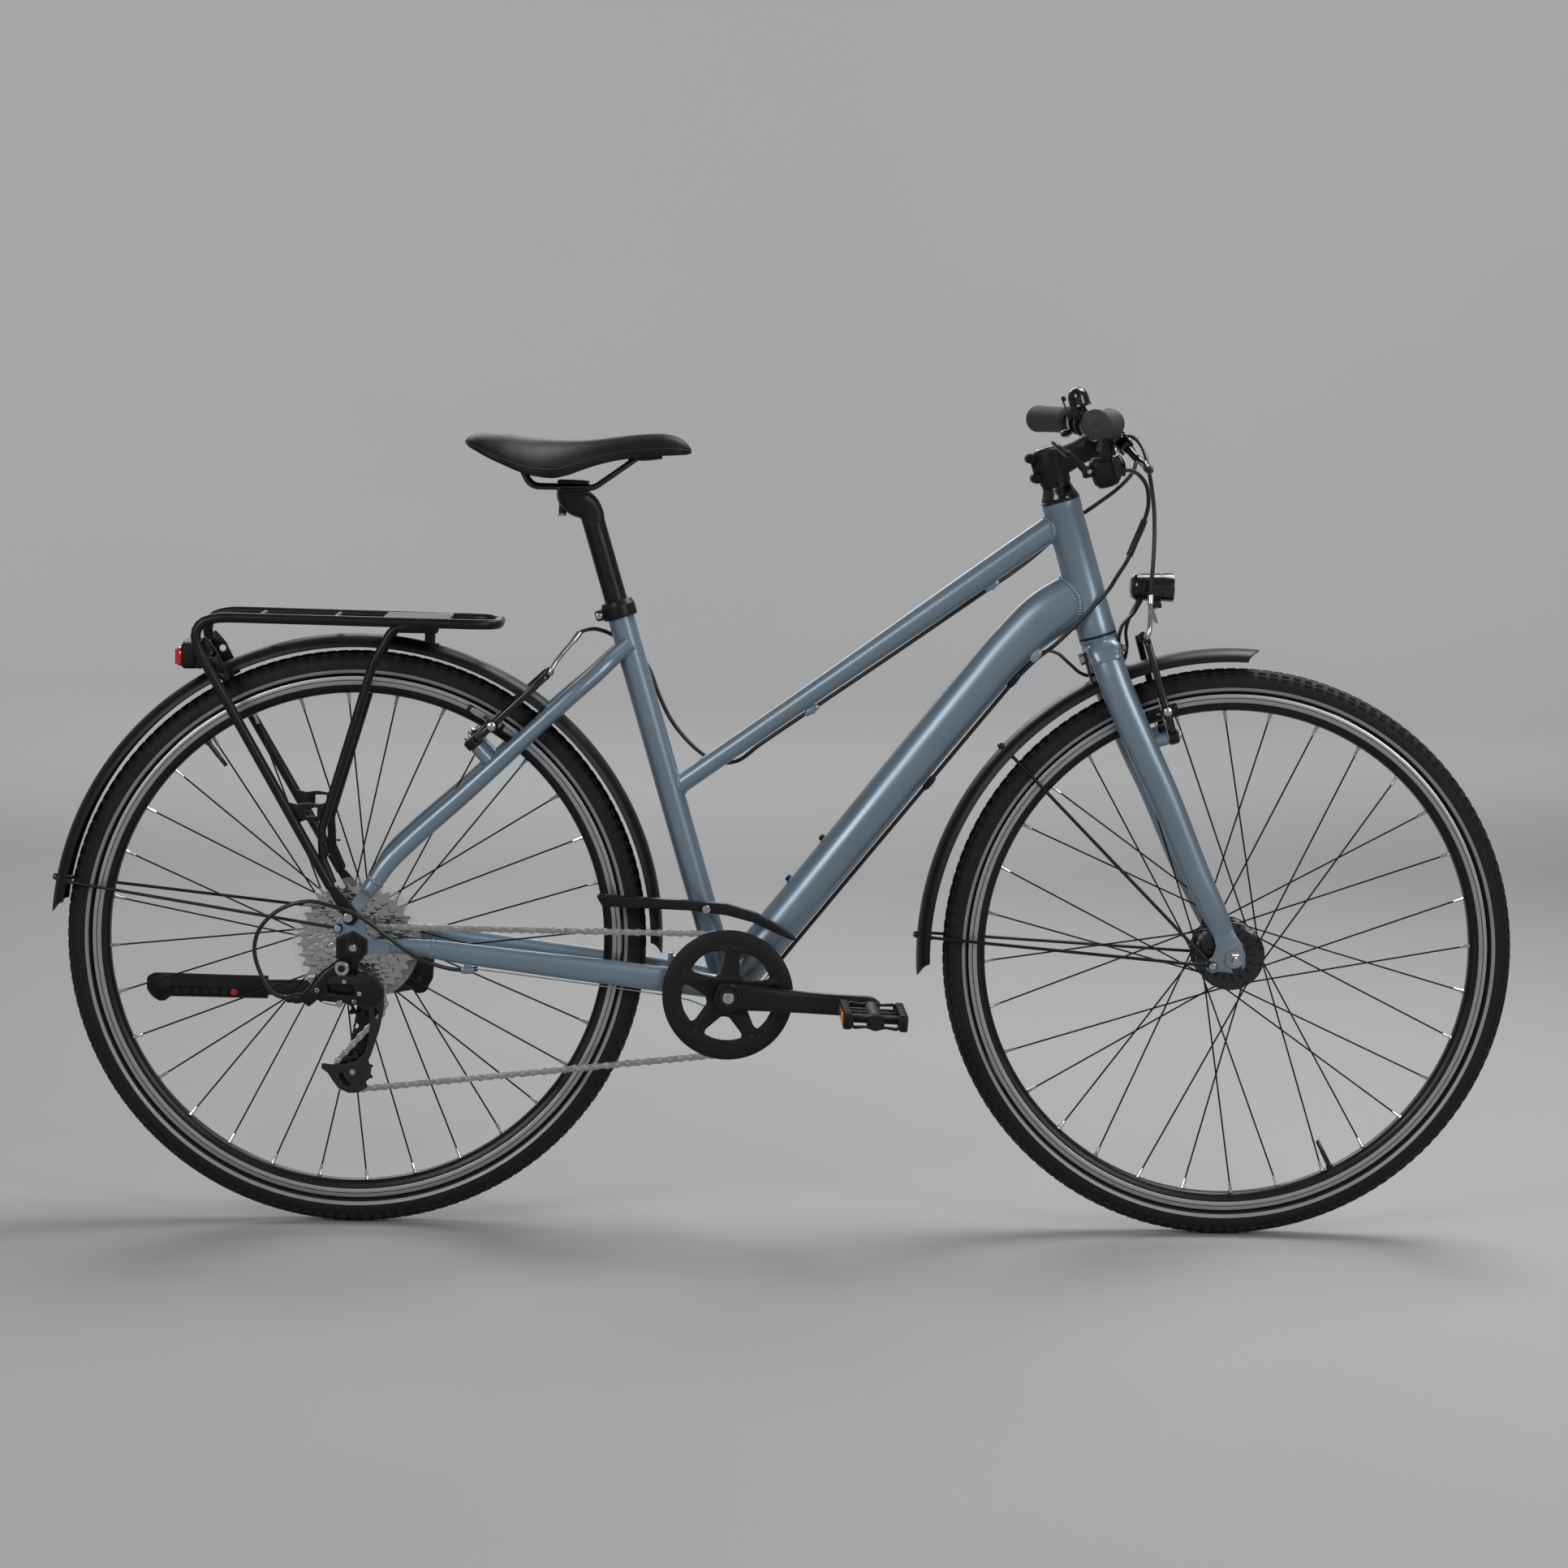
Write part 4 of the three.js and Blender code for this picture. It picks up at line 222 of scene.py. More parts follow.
def directions(path, closed=False):
    """The unit direction of a path at each of its points."""
    path = np.asarray(path, float)
    if closed:
        along = np.roll(path, -1, axis=0) - np.roll(path, 1, axis=0)
    else:
        along = np.gradient(path, axis=0)
    return along / np.linalg.norm(along, axis=1)[:, None]


def across(along, hint):
    """The unit direction nearest to the hint that is square to a path's direction."""
    side = np.array(hint, float) - np.dot(hint, along) * along
    return side / np.linalg.norm(side)


def loft(stations, sides=32, power=2.0, sideways=(0, 1, 0), per=6, round_ends=0.0):
    """A body through stations (x, y, z, width, height), smoothed, with its ends rounded over."""
    rows = smooth_rows(stations, per)
    along = directions(rows[:, :3])
    if round_ends > 0:
        start, end = [], []
        for turn in (1.45, 1.1, 0.75, 0.4):
            shrink = 2 * round_ends * (1 - math.cos(turn))
            reach = round_ends * math.sin(turn)
            for rims, row, ahead in ((start, rows[0], -along[0]), (end, rows[-1], along[-1])):
                rim = row.copy()
                rim[:3] += ahead * reach
                rim[3:] = np.maximum(rim[3:] - shrink, 0.4)
                rims.append(rim)
        rows = np.vstack([start, rows, end[::-1]])
        along = np.vstack([[along[0]] * 4, along, [along[-1]] * 4])
    outline = section(sides, power)
    rings = []
    for row, ahead in zip(rows, along):
        side = across(ahead, sideways)
        up = np.cross(ahead, side)
        ring = row[:3] + np.outer(outline[:, 0] * row[3] / 2, side)
        rings.append(ring + np.outer(outline[:, 1] * row[4] / 2, up))
    return skin(rings)


def tube(points, radius, sides=12, bend=0.0, steps=6, closed=False):
    """A round bar, wire or housing along a path, with its section carried along untwisted."""
    path = bent(points, bend, steps, closed) if bend else np.asarray(points, float)
    along = directions(path, closed)
    side = across(along[0], (0, 1, 0) if abs(along[0][1]) < 0.8 else (1, 0, 0))
    outline = section(sides)
    reach = np.broadcast_to(radius, len(path))
    rings = []
    for centre, ahead, r in zip(path, along, reach):
        side = across(ahead, side)
        up = np.cross(ahead, side)
        rings.append(centre + r * (np.outer(outline[:, 0], side) + np.outer(outline[:, 1], up)))
    return skin(rings, closed)


def rod(start, end, radius, sides=24, edge=0.4):
    """A straight round bar with softened edges."""
    start, end = np.array(start, float), np.array(end, float)
    length = np.linalg.norm(end - start)
    edge = min(edge, radius / 2, length / 3)
    profile = [(0, 0), (radius - edge, 0), (radius, edge), (radius, length - edge),
               (radius - edge, length), (0, length)]
    return turned(profile, start, end - start, sides)


def turned(profile, at=(0, 0, 0), axis=(0, 1, 0), sides=64, ring=False, bend=0.0):
    """A profile of (radius, distance along the axis), turned about the axis."""
    if bend > 0:
        profile = bent([(r, a, 0) for r, a in profile], bend, 3, ring)[:, :2]
    axis = np.array(axis, float) / np.linalg.norm(axis)
    side = across(axis, (1, 0, 0) if abs(axis[0]) < 0.9 else (0, 0, 1))
    up = np.cross(axis, side)
    turn = TAU * np.arange(sides) / sides
    circle = np.outer(np.cos(turn), side) + np.outer(np.sin(turn), up)
    points, rows, faces = [], [], []
    for radius, reach in profile:
        centre = np.array(at, float) + reach * axis
        rows.append((len(points), radius > 1e-6))
        points.extend(centre + radius * circle if radius > 1e-6 else [centre])
    for (here, wide), (there, next_wide) in zip(rows, rows[1:] + (rows[:1] if ring else [])):
        for i in range(sides):
            j = (i + 1) % sides
            if wide and next_wide:
                faces.append((here + i, here + j, there + j, there + i))
            elif wide:
                faces.append((here + i, here + j, there))
            elif next_wide:
                faces.append((here, there + j, there + i))
    if not ring:
        for start, wide in (rows[0], rows[-1]):
            if wide:
                faces.append(tuple(range(start, start + sides)))
    return np.array(points), faces


# %% [markdown]
# Plates are cut from sheet, so they are drawn as one outline with holes. Blender's own 2-D
# curve fills the outline, gives it thickness and rounds its edges, which is long work by hand.
# Blocks are bevelled boxes. Bolts and nuts are seen all over a bicycle, so each is one small
# function with a place and a direction.

# %% Plates, blocks and bolts
def from_bmesh(made):
    """A bmesh as plain points and faces. The bmesh is freed."""
    made.verts.index_update()
    points = np.array([v.co for v in made.verts])
    faces = [tuple(v.index for v in f.verts) for f in made.faces]
    made.free()
    return points, faces


def counter_clockwise(ring):
    x, z = np.asarray(ring, float).T
    area = np.sum(x * np.roll(z, -1) - np.roll(x, -1) * z)
    return list(ring) if area > 0 else list(ring)[::-1]


def slab(outline, low, high, holes=(), edge=0.5):
    """A plate with softened edges, from a side view of (x, z), between two places across."""
    curve = bpy.data.curves.new("outline", "CURVE")
    curve.dimensions = "2D"
    curve.fill_mode = "BOTH"
    curve.extrude = (high - low) / 2 - edge
    curve.bevel_depth = edge
    curve.bevel_resolution = 1
    curve.offset = -edge
    rings = [counter_clockwise(outline)] + [counter_clockwise(hole)[::-1] for hole in holes]
    for ring in rings:
        spline = curve.splines.new("POLY")
        spline.points.add(len(ring) - 1)
        for point, (x, z) in zip(spline.points, ring):
            point.co = (x, z, 0, 1)
        spline.use_cyclic_u = True
    holder = bpy.data.objects.new("outline", curve)
    flat = bpy.data.meshes.new_from_object(holder)
    made = bmesh.new()
    made.from_mesh(flat)
    bmesh.ops.remove_doubles(made, verts=made.verts, dist=1e-3)
    points, faces = from_bmesh(made)
    bpy.data.objects.remove(holder)
    bpy.data.curves.remove(curve)
    bpy.data.meshes.remove(flat)
    return np.column_stack([points[:, 0], (low + high) / 2 + points[:, 2], points[:, 1]]), faces


def circle(x, z, radius, count=24):
    turn = TAU * np.arange(count) / count
    return [(x + radius * math.cos(t), z + radius * math.sin(t)) for t in turn]


def soft_outline(points, bend, steps=5):
    """A closed side view with rounded corners."""
    return [tuple(p[:2]) for p in bent([(x, z, 0) for x, z in points], bend, steps, closed=True)]


def block(x, y, z, edge=1.0, steps=2):
    """A box with rounded edges, given by its ranges."""
    made = bmesh.new()
    bmesh.ops.create_cube(made, size=1)
    low = np.array([x[0], y[0], z[0]], float)
    size = np.array([x[1], y[1], z[1]], float) - low
    for v in made.verts:
        v.co = low + (np.array(v.co) + 0.5) * size
    edge = min(edge, size.min() * 0.45)
    bmesh.ops.bevel(made, geom=made.edges[:], offset=edge, segments=steps, profile=0.5,
                    affect="EDGES")
    return from_bmesh(made)


def hexagon(turn):
    """How far a hexagon's side is, as a share of its corner, in a direction."""
    return math.cos(math.pi / 6) / math.cos(turn % (math.pi / 3) - math.pi / 6)


def bolt(at, axis, radius, height, socket=0.5, depth=0.6):
    """A round bolt head with a hexagon socket. It stands on a surface, along the axis."""
    axis = np.array(axis, float) / np.linalg.norm(axis)
    side = across(axis, (1, 0, 0) if abs(axis[0]) < 0.9 else (0, 0, 1))
    up = np.cross(axis, side)
    key = radius * socket
    rows = [(radius, 0, False), (radius, height * 0.6, False), (radius * 0.9, height * 0.92, False),
            (radius * 0.78, height, False), (key * 1.12, height, False), (key, height, True),
            (key * 0.97, height * (1 - depth), True), (key * 0.1, height * (1 - depth) - 0.2, True)]
    rings = []
    for r, reach, six in rows:
        ring = []
        for k in range(24):
            turn = TAU * k / 24
            far = r * (hexagon(turn) if six else 1)
            ring.append(np.array(at) + reach * axis + far * (math.cos(turn) * side + math.sin(turn) * up))
        rings.append(ring)
    return skin(rings)


def nut(at, axis, radius, height, bore=0.0):
    """A hexagon nut with chamfered corners, standing on a surface along the axis."""
    chamfer = radius * 0.12
    if bore > 0:
        profile = [(bore, 0), (radius * 0.9, 0), (radius, chamfer), (radius, height - chamfer),
                   (radius * 0.88, height), (bore * 1.05, height)]
        return turned(profile, at, axis, 6, ring=True)
    profile = [(0, 0), (radius * 0.9, 0), (radius, chamfer), (radius, height - chamfer),
               (radius * 0.88, height), (0, height)]
    return turned(profile, at, axis, 6)


def mirror(shape):
    points, faces = shape
    return np.asarray(points) * [1, -1, 1], faces


def moved(shape, x=0, y=0, z=0):
    points, faces = shape
    return np.asarray(points) + [x, y, z], faces


def turned_about_y(shape, turn, at=(0, 0, 0)):
    """A shape swung in the side view, from forward towards up, about a point."""
    points, faces = shape
    x, y, z = (np.asarray(points) - at).T
    c, s = math.cos(turn), math.sin(turn)
    return np.column_stack([x * c - z * s, y, x * s + z * c]) + at, faces


# %% [markdown]
# A piece is several shapes with their finishes, gathered into one object that rides on a
# body of the bicycle. Its normals are turned outwards, its faces are smooth, and edges
# sharper than a set angle stay crisp, as on real metal and mouldings.

# %% Gathering shapes into a piece
totals = {}


class Piece:
    """Shapes with their finishes, which end as one object riding on a body."""

    def __init__(self, name, place=in_frame):
        self.name, self.place = name, place
        self.points, self.faces, self.indices, self.finishes = [], [], [], []

    def add(self, shape, finish, place=None):
        points, faces = shape
        start = len(self.points)
        self.points.extend((place or self.place)(points))
        self.faces.extend(tuple(start + i for i in face) for face in faces)
        if finish not in self.finishes:
            self.finishes.append(finish)
        self.indices.extend([self.finishes.index(finish)] * len(faces))
        return self

    def pair(self, shape, finish, place=None):
        """A shape and its mirror image on the other side."""
        return self.add(shape, finish, place).add(mirror(shape), finish, place)

    def ride(self, body, *nodes, slot, crease=32, towards=None):
        """Makes the object. A cable that crosses a joint names the other body and two places. These are not
        used: such a cable is baked where it lies and rides on no body.
        """
        mesh = bpy.data.meshes.new(self.name)
        mesh.from_pydata([tuple(p) for p in self.points], [], self.faces)
        for finish in self.finishes:
            mesh.materials.append(finish)
        mesh.polygons.foreach_set("material_index", self.indices)
        made = bmesh.new()
        made.from_mesh(mesh)
        bmesh.ops.recalc_face_normals(made, faces=made.faces)
        made.to_mesh(mesh)
        made.free()
        mesh.polygons.foreach_set("use_smooth", [True] * len(mesh.polygons))
        mesh.set_sharp_from_angle(angle=math.radians(crease))
        piece = bpy.data.objects.new(self.name, mesh)
        bpy.context.scene.collection.objects.link(piece)
        if towards:
            other, start, end = towards
            tuple(in_frame([start])[0])
            tuple(in_frame([end])[0])
            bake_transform(piece)
        else:
            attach(piece, body)
        if nodes:
            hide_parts(*nodes)
        totals[self.name] = sum(len(p.vertices) - 2 for p in mesh.polygons)
        print(self.name, totals[self.name], "triangles on", body)
        return piece


# %% [markdown]
# Spokes, tread blocks, chain links and weld beads repeat dozens of times. Two Geometry
# Nodes trees lay them out: one sets copies in a ring about the wheel's axle, and one sets
# copies on the points of a path, each turned to its own direction. Both realize their
# instances and set a finish, and the result is read back as plain points and faces.

# %% Trees for what repeats
def new_tree(name, inputs):
    tree = bpy.data.node_groups.new(name, "GeometryNodeTree")
    tree.interface.new_socket("Geometry", in_out="INPUT", socket_type="NodeSocketGeometry")
    for label, kind in inputs:
        tree.interface.new_socket(label, in_out="INPUT", socket_type=kind)
    tree.interface.new_socket("Geometry", in_out="OUTPUT", socket_type="NodeSocketGeometry")
    return tree, tree.nodes.new("NodeGroupInput"), tree.nodes.new("NodeGroupOutput")


def close_tree(tree, given, result, instances):
    realize = tree.nodes.new("GeometryNodeRealizeInstances")
    painted = tree.nodes.new("GeometryNodeSetMaterial")
    tree.links.new(instances.outputs["Instances"], realize.inputs[0])
    tree.links.new(realize.outputs[0], painted.inputs["Geometry"])
    tree.links.new(given.outputs["Finish"], painted.inputs["Material"])
    tree.links.new(painted.outputs[0], result.inputs[0])


def ring_tree():
    """Copies of the modified mesh in a ring about its Y axis."""
    tree, given, result = new_tree("Ring of copies", [
        ("Count", "NodeSocketInt"), ("Step", "NodeSocketFloat"), ("Finish", "NodeSocketMaterial"),
    ])
    points = tree.nodes.new("GeometryNodePoints")
    index = tree.nodes.new("GeometryNodeInputIndex")
    turn = tree.nodes.new("ShaderNodeMath")
    turn.operation = "MULTIPLY"
    about = tree.nodes.new("ShaderNodeCombineXYZ")
    copies = tree.nodes.new("GeometryNodeInstanceOnPoints")
    tree.links.new(given.outputs["Count"], points.inputs["Count"])
    tree.links.new(index.outputs[0], turn.inputs[0])
    tree.links.new(given.outputs["Step"], turn.inputs[1])
    tree.links.new(turn.outputs[0], about.inputs["Y"])
    tree.links.new(points.outputs[0], copies.inputs["Points"])
    tree.links.new(given.outputs["Geometry"], copies.inputs["Instance"])
    tree.links.new(about.outputs[0], copies.inputs["Rotation"])
    close_tree(tree, given, result, copies)
    return tree


def path_tree():
    """Copies of a template on the points of a mesh, turned by its two direction attributes."""
    tree, given, result = new_tree("Copies on a path", [
        ("Template", "NodeSocketObject"), ("Finish", "NodeSocketMaterial"),
    ])
    template = tree.nodes.new("GeometryNodeObjectInfo")
    tree.links.new(given.outputs["Template"], template.inputs["Object"])
    turns = []
    for axis, label in (("X", "along"), ("Z", "out")):
        named = tree.nodes.new("GeometryNodeInputNamedAttribute")
        named.data_type = "FLOAT_VECTOR"
        named.inputs["Name"].default_value = label
        align = tree.nodes.new("FunctionNodeAlignRotationToVector")
        align.axis = axis
        tree.links.new(named.outputs["Attribute"], align.inputs["Vector"])
        turns.append(align)
    turns[1].pivot_axis = "X"
    tree.links.new(turns[0].outputs[0], turns[1].inputs["Rotation"])
    copies = tree.nodes.new("GeometryNodeInstanceOnPoints")
    tree.links.new(given.outputs["Geometry"], copies.inputs["Points"])
    tree.links.new(template.outputs["Geometry"], copies.inputs["Instance"])
    tree.links.new(turns[1].outputs[0], copies.inputs["Rotation"])
    close_tree(tree, given, result, copies)
    return tree


RING = ring_tree()
PATH = path_tree()


def plain_object(name, points, faces=()):
    mesh = bpy.data.meshes.new(name)
    mesh.from_pydata([tuple(p) for p in points], [], faces)
    holder = bpy.data.objects.new(name, mesh)
    bpy.context.scene.collection.objects.link(holder)
    return holder


def grown(holder, tree, values):
    """The holder's mesh after the tree, as plain points and faces. The holder is removed."""
    modifier = holder.modifiers.new(tree.name, "NODES")
    modifier.node_group = tree
    for item in tree.interface.items_tree:
        if item.in_out == "INPUT" and item.name in values:
            modifier[item.identifier] = values[item.name]
    graph = bpy.context.evaluated_depsgraph_get()
    mesh = bpy.data.meshes.new_from_object(holder.evaluated_get(graph))
    points = np.empty(len(mesh.vertices) * 3)
    mesh.vertices.foreach_get("co", points)
    faces = [tuple(p.vertices) for p in mesh.polygons]
    bpy.data.meshes.remove(mesh)
    bpy.data.objects.remove(holder)
    return points.reshape(-1, 3), faces


def ringed(shape, count, finish, about=(0, 0, 0)):
    """Copies of a shape, drawn about the origin, in an even ring about a place across."""
    holder = plain_object("template", *shape)
    ring = grown(holder, RING, {"Count": count, "Step": TAU / count, "Finish": finish})
    return moved(ring, *about)


def strung(shape, places, along, out, finish):
    """Copies of a shape at places, its X along one direction and its Z towards another."""
    template = plain_object("template", *shape)
    holder = plain_object("places", places)
    for label, values in (("along", along), ("out", out)):
        layer = holder.data.attributes.new(label, "FLOAT_VECTOR", "POINT")
        layer.data.foreach_set("vector", np.asarray(values, float).ravel())
    result = grown(holder, PATH, {"Template": template, "Finish": finish})
    bpy.data.objects.remove(template)
    return result


# %% [markdown]
# Finishes come from noise on the object's own coordinates. A slow noise moves the colour and
# the roughness a little, as on any real surface, and a fine one gives the grain of paint,
# rubber or moulded plastic as bump. One function makes most of them from a few numbers.

# %% Finishes
def screen(red, green, blue):
    """A colour as seen on a screen, 0 to 255, as the linear values that a shader takes."""
    values = []
    for level in (red, green, blue):
        level /= 255
        values.append(level / 12.92 if level <= 0.04045 else ((level + 0.055) / 1.055) ** 2.4)
    return (*values, 1)


def shade(colour, factor):
    return (*(min(1, level * factor) for level in colour[:3]), 1)


def noise(nodes, links, where, scale, detail=3):
    texture = nodes.new("ShaderNodeTexNoise")
    texture.inputs["Scale"].default_value = scale
    texture.inputs["Detail"].default_value = detail
    links.new(where, texture.inputs["Vector"])
    return texture.outputs["Fac"]


def finish(name, colour, metallic, roughness, mottle=0.08, patch=25, spread=0.06,
           grain=1500, bump=0.15, height=0.00005, coat=0.0, sheen=0.0, specular=0.5):
    """A procedural finish: mottled colour, uneven roughness and a fine grain."""
    material = bpy.data.materials.new(name)
    material.use_nodes = True
    nodes, links = material.node_tree.nodes, material.node_tree.links
    shader = nodes["Principled BSDF"]
    shader.inputs["Metallic"].default_value = metallic
    shader.inputs["Coat Weight"].default_value = coat
    shader.inputs["Coat Roughness"].default_value = 0.12
    shader.inputs["Sheen Weight"].default_value = sheen
    shader.inputs["Specular IOR Level"].default_value = specular
    where = nodes.new("ShaderNodeTexCoord").outputs["Object"]
    slow = noise(nodes, links, where, patch, 5)
    ramp = nodes.new("ShaderNodeValToRGB")
    ramp.color_ramp.elements[0].position = 0.3
    ramp.color_ramp.elements[1].position = 0.7
    ramp.color_ramp.elements[0].color = shade(colour, 1 - mottle)
    ramp.color_ramp.elements[1].color = shade(colour, 1 + mottle)
    links.new(slow, ramp.inputs["Fac"])
    links.new(ramp.outputs["Color"], shader.inputs["Base Color"])
    uneven = nodes.new("ShaderNodeMapRange")
    uneven.inputs["From Min"].default_value = 0.3
    uneven.inputs["From Max"].default_value = 0.7
    uneven.inputs["To Min"].default_value = roughness - spread
    uneven.inputs["To Max"].default_value = roughness + spread
    links.new(slow, uneven.inputs["Value"])
    links.new(uneven.outputs["Result"], shader.inputs["Roughness"])
    raised = nodes.new("ShaderNodeBump")
    raised.inputs["Strength"].default_value = bump
    raised.inputs["Distance"].default_value = height
    links.new(noise(nodes, links, where, grain, 2), raised.inputs["Height"])
    links.new(raised.outputs["Normal"], shader.inputs["Normal"])
    return material


PAINT = finish("slate blue paint", screen(114, 131, 144), 0.5, 0.34, mottle=0.04, patch=9,
               spread=0.04, grain=5000, bump=0.12, coat=0.2)
SATIN = finish("satin black coat", screen(14, 14, 15), 0.1, 0.38, grain=4000, bump=0.2,
               specular=0.3)
GLOSS = finish("gloss black", screen(9, 9, 10), 0.0, 0.16, mottle=0.1, spread=0.04,
               grain=300, bump=0.03, coat=0.2)
GUARD = finish("mudguard resin", screen(10, 10, 11), 0.0, 0.42, mottle=0.08, spread=0.04,
               grain=900, bump=0.05, specular=0.25)
MATTE = finish("matte black plastic", screen(15, 15, 16), 0.0, 0.5, grain=2600, bump=0.3,
               specular=0.25)
TYRE = finish("tyre rubber", screen(18, 18, 19), 0.0, 0.66, mottle=0.12, patch=18,
              spread=0.08, grain=1800, bump=0.3, specular=0.25)
STRIPE = finish("reflective stripe", screen(132, 134, 137), 0.2, 0.42, mottle=0.05,
                grain=3500, bump=0.2)
RIM = finish("black anodised rim", screen(20, 20, 21), 0.5, 0.34, grain=3000, bump=0.1)
STEEL = finish("bright steel", screen(176, 178, 181), 1.0, 0.24, mottle=0.06, patch=120,
               spread=0.07, grain=2500, bump=0.08)
CHAIN = finish("oiled chain steel", screen(168, 168, 170), 1.0, 0.28, mottle=0.14, patch=160,
               spread=0.08, grain=2500, bump=0.08)
COG = finish("stamped sprocket steel", screen(176, 174, 171), 1.0, 0.17, mottle=0.04, patch=160,
             spread=0.03, grain=2500, bump=0.03)
# Black for painted shade: thin discs, blocks and rings that stand in for holes, slits, recesses and the gaps
# between sprockets. The saddle's seam uses it too, as its own dark joint.
SHADE_AND_SEAM = finish("painted shade and seam black", screen(9, 9, 10), 0.0, 0.7)
GRIP = finish("grip rubber", screen(50, 49, 49), 0.0, 0.6, grain=2400, bump=0.4,
              specular=0.3)
CABLE = finish("cable housing", screen(14, 14, 15), 0.0, 0.34, grain=1800, bump=0.08)
AMBER = finish("amber reflector", screen(206, 116, 28), 0.0, 0.18, grain=900, bump=0.5)
RED = finish("red lamp lens", screen(186, 26, 30), 0.0, 0.12, grain=700, bump=0.4, coat=0.5)
RED_DOT = finish("red mark", screen(190, 30, 34), 0.0, 0.35)
CHROME = finish("lamp mirror", screen(214, 216, 220), 1.0, 0.08, bump=0.02)
SPOKE = finish("black spoke steel", screen(24, 24, 25), 0.7, 0.3, grain=3000, bump=0.05)


def clear(name, colour, roughness, alpha):
    """A thin clear plastic, mostly see-through."""
    material = finish(name, colour, 0.0, roughness, mottle=0.02, spread=0.02, bump=0.05)
    material.node_tree.nodes["Principled BSDF"].inputs["Alpha"].default_value = alpha
    return material


LENS = clear("clear lens", screen(225, 230, 235), 0.06, 0.32)
DISC = clear("clear spoke disc", screen(200, 204, 208), 0.12, 0.22)

# %% [markdown]
# The brake track is cut on a lathe, so its fine lines run round the axle. The distance from
# the axle drives a noise with one dimension, which gives rings at any radius.

# %% The turned brake track
def turned_metal(name, centre):
    material = bpy.data.materials.new(name)
    material.use_nodes = True
    nodes, links = material.node_tree.nodes, material.node_tree.links
    shader = nodes["Principled BSDF"]
    shader.inputs["Metallic"].default_value = 1
    where = nodes.new("ShaderNodeTexCoord").outputs["Object"]
    centred = nodes.new("ShaderNodeMapping")
    centred.inputs["Location"].default_value = (-centre[0], 0, -centre[2])
    centred.inputs["Scale"].default_value = (1, 0, 1)
    links.new(where, centred.inputs["Vector"])
    radius = nodes.new("ShaderNodeVectorMath")
    radius.operation = "LENGTH"
    links.new(centred.outputs["Vector"], radius.inputs[0])
    rings = nodes.new("ShaderNodeTexNoise")
    rings.noise_dimensions = "1D"
    rings.inputs["Scale"].default_value = 5000
    links.new(radius.outputs["Value"], rings.inputs["W"])
    ramp = nodes.new("ShaderNodeValToRGB")
    ramp.color_ramp.elements[0].color = screen(126, 127, 129)
    ramp.color_ramp.elements[1].color = screen(206, 207, 209)
    links.new(rings.outputs["Fac"], ramp.inputs["Fac"])
    links.new(ramp.outputs["Color"], shader.inputs["Base Color"])
    rough = nodes.new("ShaderNodeMapRange")
    rough.inputs["To Min"].default_value = 0.22
    rough.inputs["To Max"].default_value = 0.42
    links.new(rings.outputs["Fac"], rough.inputs["Value"])
    links.new(rough.outputs["Result"], shader.inputs["Roughness"])
    raised = nodes.new("ShaderNodeBump")
    raised.inputs["Strength"].default_value = 0.3
    raised.inputs["Distance"].default_value = 0.00003
    links.new(rings.outputs["Fac"], raised.inputs["Height"])
    links.new(raised.outputs["Normal"], shader.inputs["Normal"])
    return material


REAR_CENTRE = (AXLE_X, 0, AXLE_Z * MM)
FRONT_CENTRE = (AXLE_X + WHEELBASE * MM, 0, AXLE_Z * MM)
REAR_TRACK = turned_metal("rear brake track", REAR_CENTRE)
FRONT_TRACK = turned_metal("front brake track", FRONT_CENTRE)


# %% [markdown]
# The saddle cover is synthetic leather: small, rounded cells pressed into a satin skin.
# A Voronoi texture gives the cells, and its distance to the nearest centre gives the bump.

# %% Saddle leather
def leather(name, colour):
    material = finish(name, colour, 0.0, 0.5, mottle=0.1, patch=30, spread=0.05, specular=0.18)
    nodes, links = material.node_tree.nodes, material.node_tree.links
    where = next(n for n in nodes if n.type == "TEX_COORD").outputs["Object"]
    cells = nodes.new("ShaderNodeTexVoronoi")
    cells.inputs["Scale"].default_value = 900
    links.new(where, cells.inputs["Vector"])
    raised = next(n for n in nodes if n.type == "BUMP")
    raised.inputs["Strength"].default_value = 0.5
    raised.inputs["Distance"].default_value = 0.00012
    links.new(cells.outputs["Distance"], raised.inputs["Height"])
    return material


LEATHER = leather("saddle leather", screen(15, 15, 16))
print(len(bpy.data.materials), "finishes")

# %% [markdown]
# The camera stands where the photographer stood: a long lens, four and a half metres away on
# the drive side, a little above the bar and tilted down. Its place and its turn come from
# fitting a pinhole camera to both wheels, the ground line and parts of known size.

# %% Camera
FOCAL = 4621.3 / 1932 * 36
CAMERA_AT = Vector((AXLE_X + 0.32723, -4.5164, 1.0287))
YAW, PITCH, ROLL = -0.04086, 0.10643, 0.02390
right = Vector((math.cos(YAW), math.sin(YAW), 0))
ahead = Vector((-math.sin(YAW), math.cos(YAW), 0))
aim = ahead * math.cos(PITCH) - Vector((0, 0, 1)) * math.sin(PITCH)
over = Vector((0, 0, 1)) * math.cos(PITCH) + ahead * math.sin(PITCH)
level = right * math.cos(ROLL) + over * math.sin(ROLL)
crown = over * math.cos(ROLL) - right * math.sin(ROLL)
lens = bpy.data.cameras.new("camera")
lens.sensor_width = 36
lens.lens = FOCAL
camera = bpy.data.objects.new("camera", lens)
camera.matrix_world = Matrix((
    (level.x, crown.x, -aim.x, CAMERA_AT.x),
    (level.y, crown.y, -aim.y, CAMERA_AT.y),
    (level.z, crown.z, -aim.z, CAMERA_AT.z),
    (0, 0, 0, 1),
))
bpy.context.scene.collection.objects.link(camera)
bpy.context.scene.camera = camera
print("lens", round(FOCAL, 1), "mm at", [round(v, 3) for v in CAMERA_AT])

# %% [markdown]
# The photograph was made before a seamless sweep. The floor here is one turned profile that
# curves up into a wall all round, so that no edge shows from any side. Area lights stand where
# softboxes would: one above, two in front and one behind, and a few that only wash the wall,
# which keeps it as pale as in the picture.

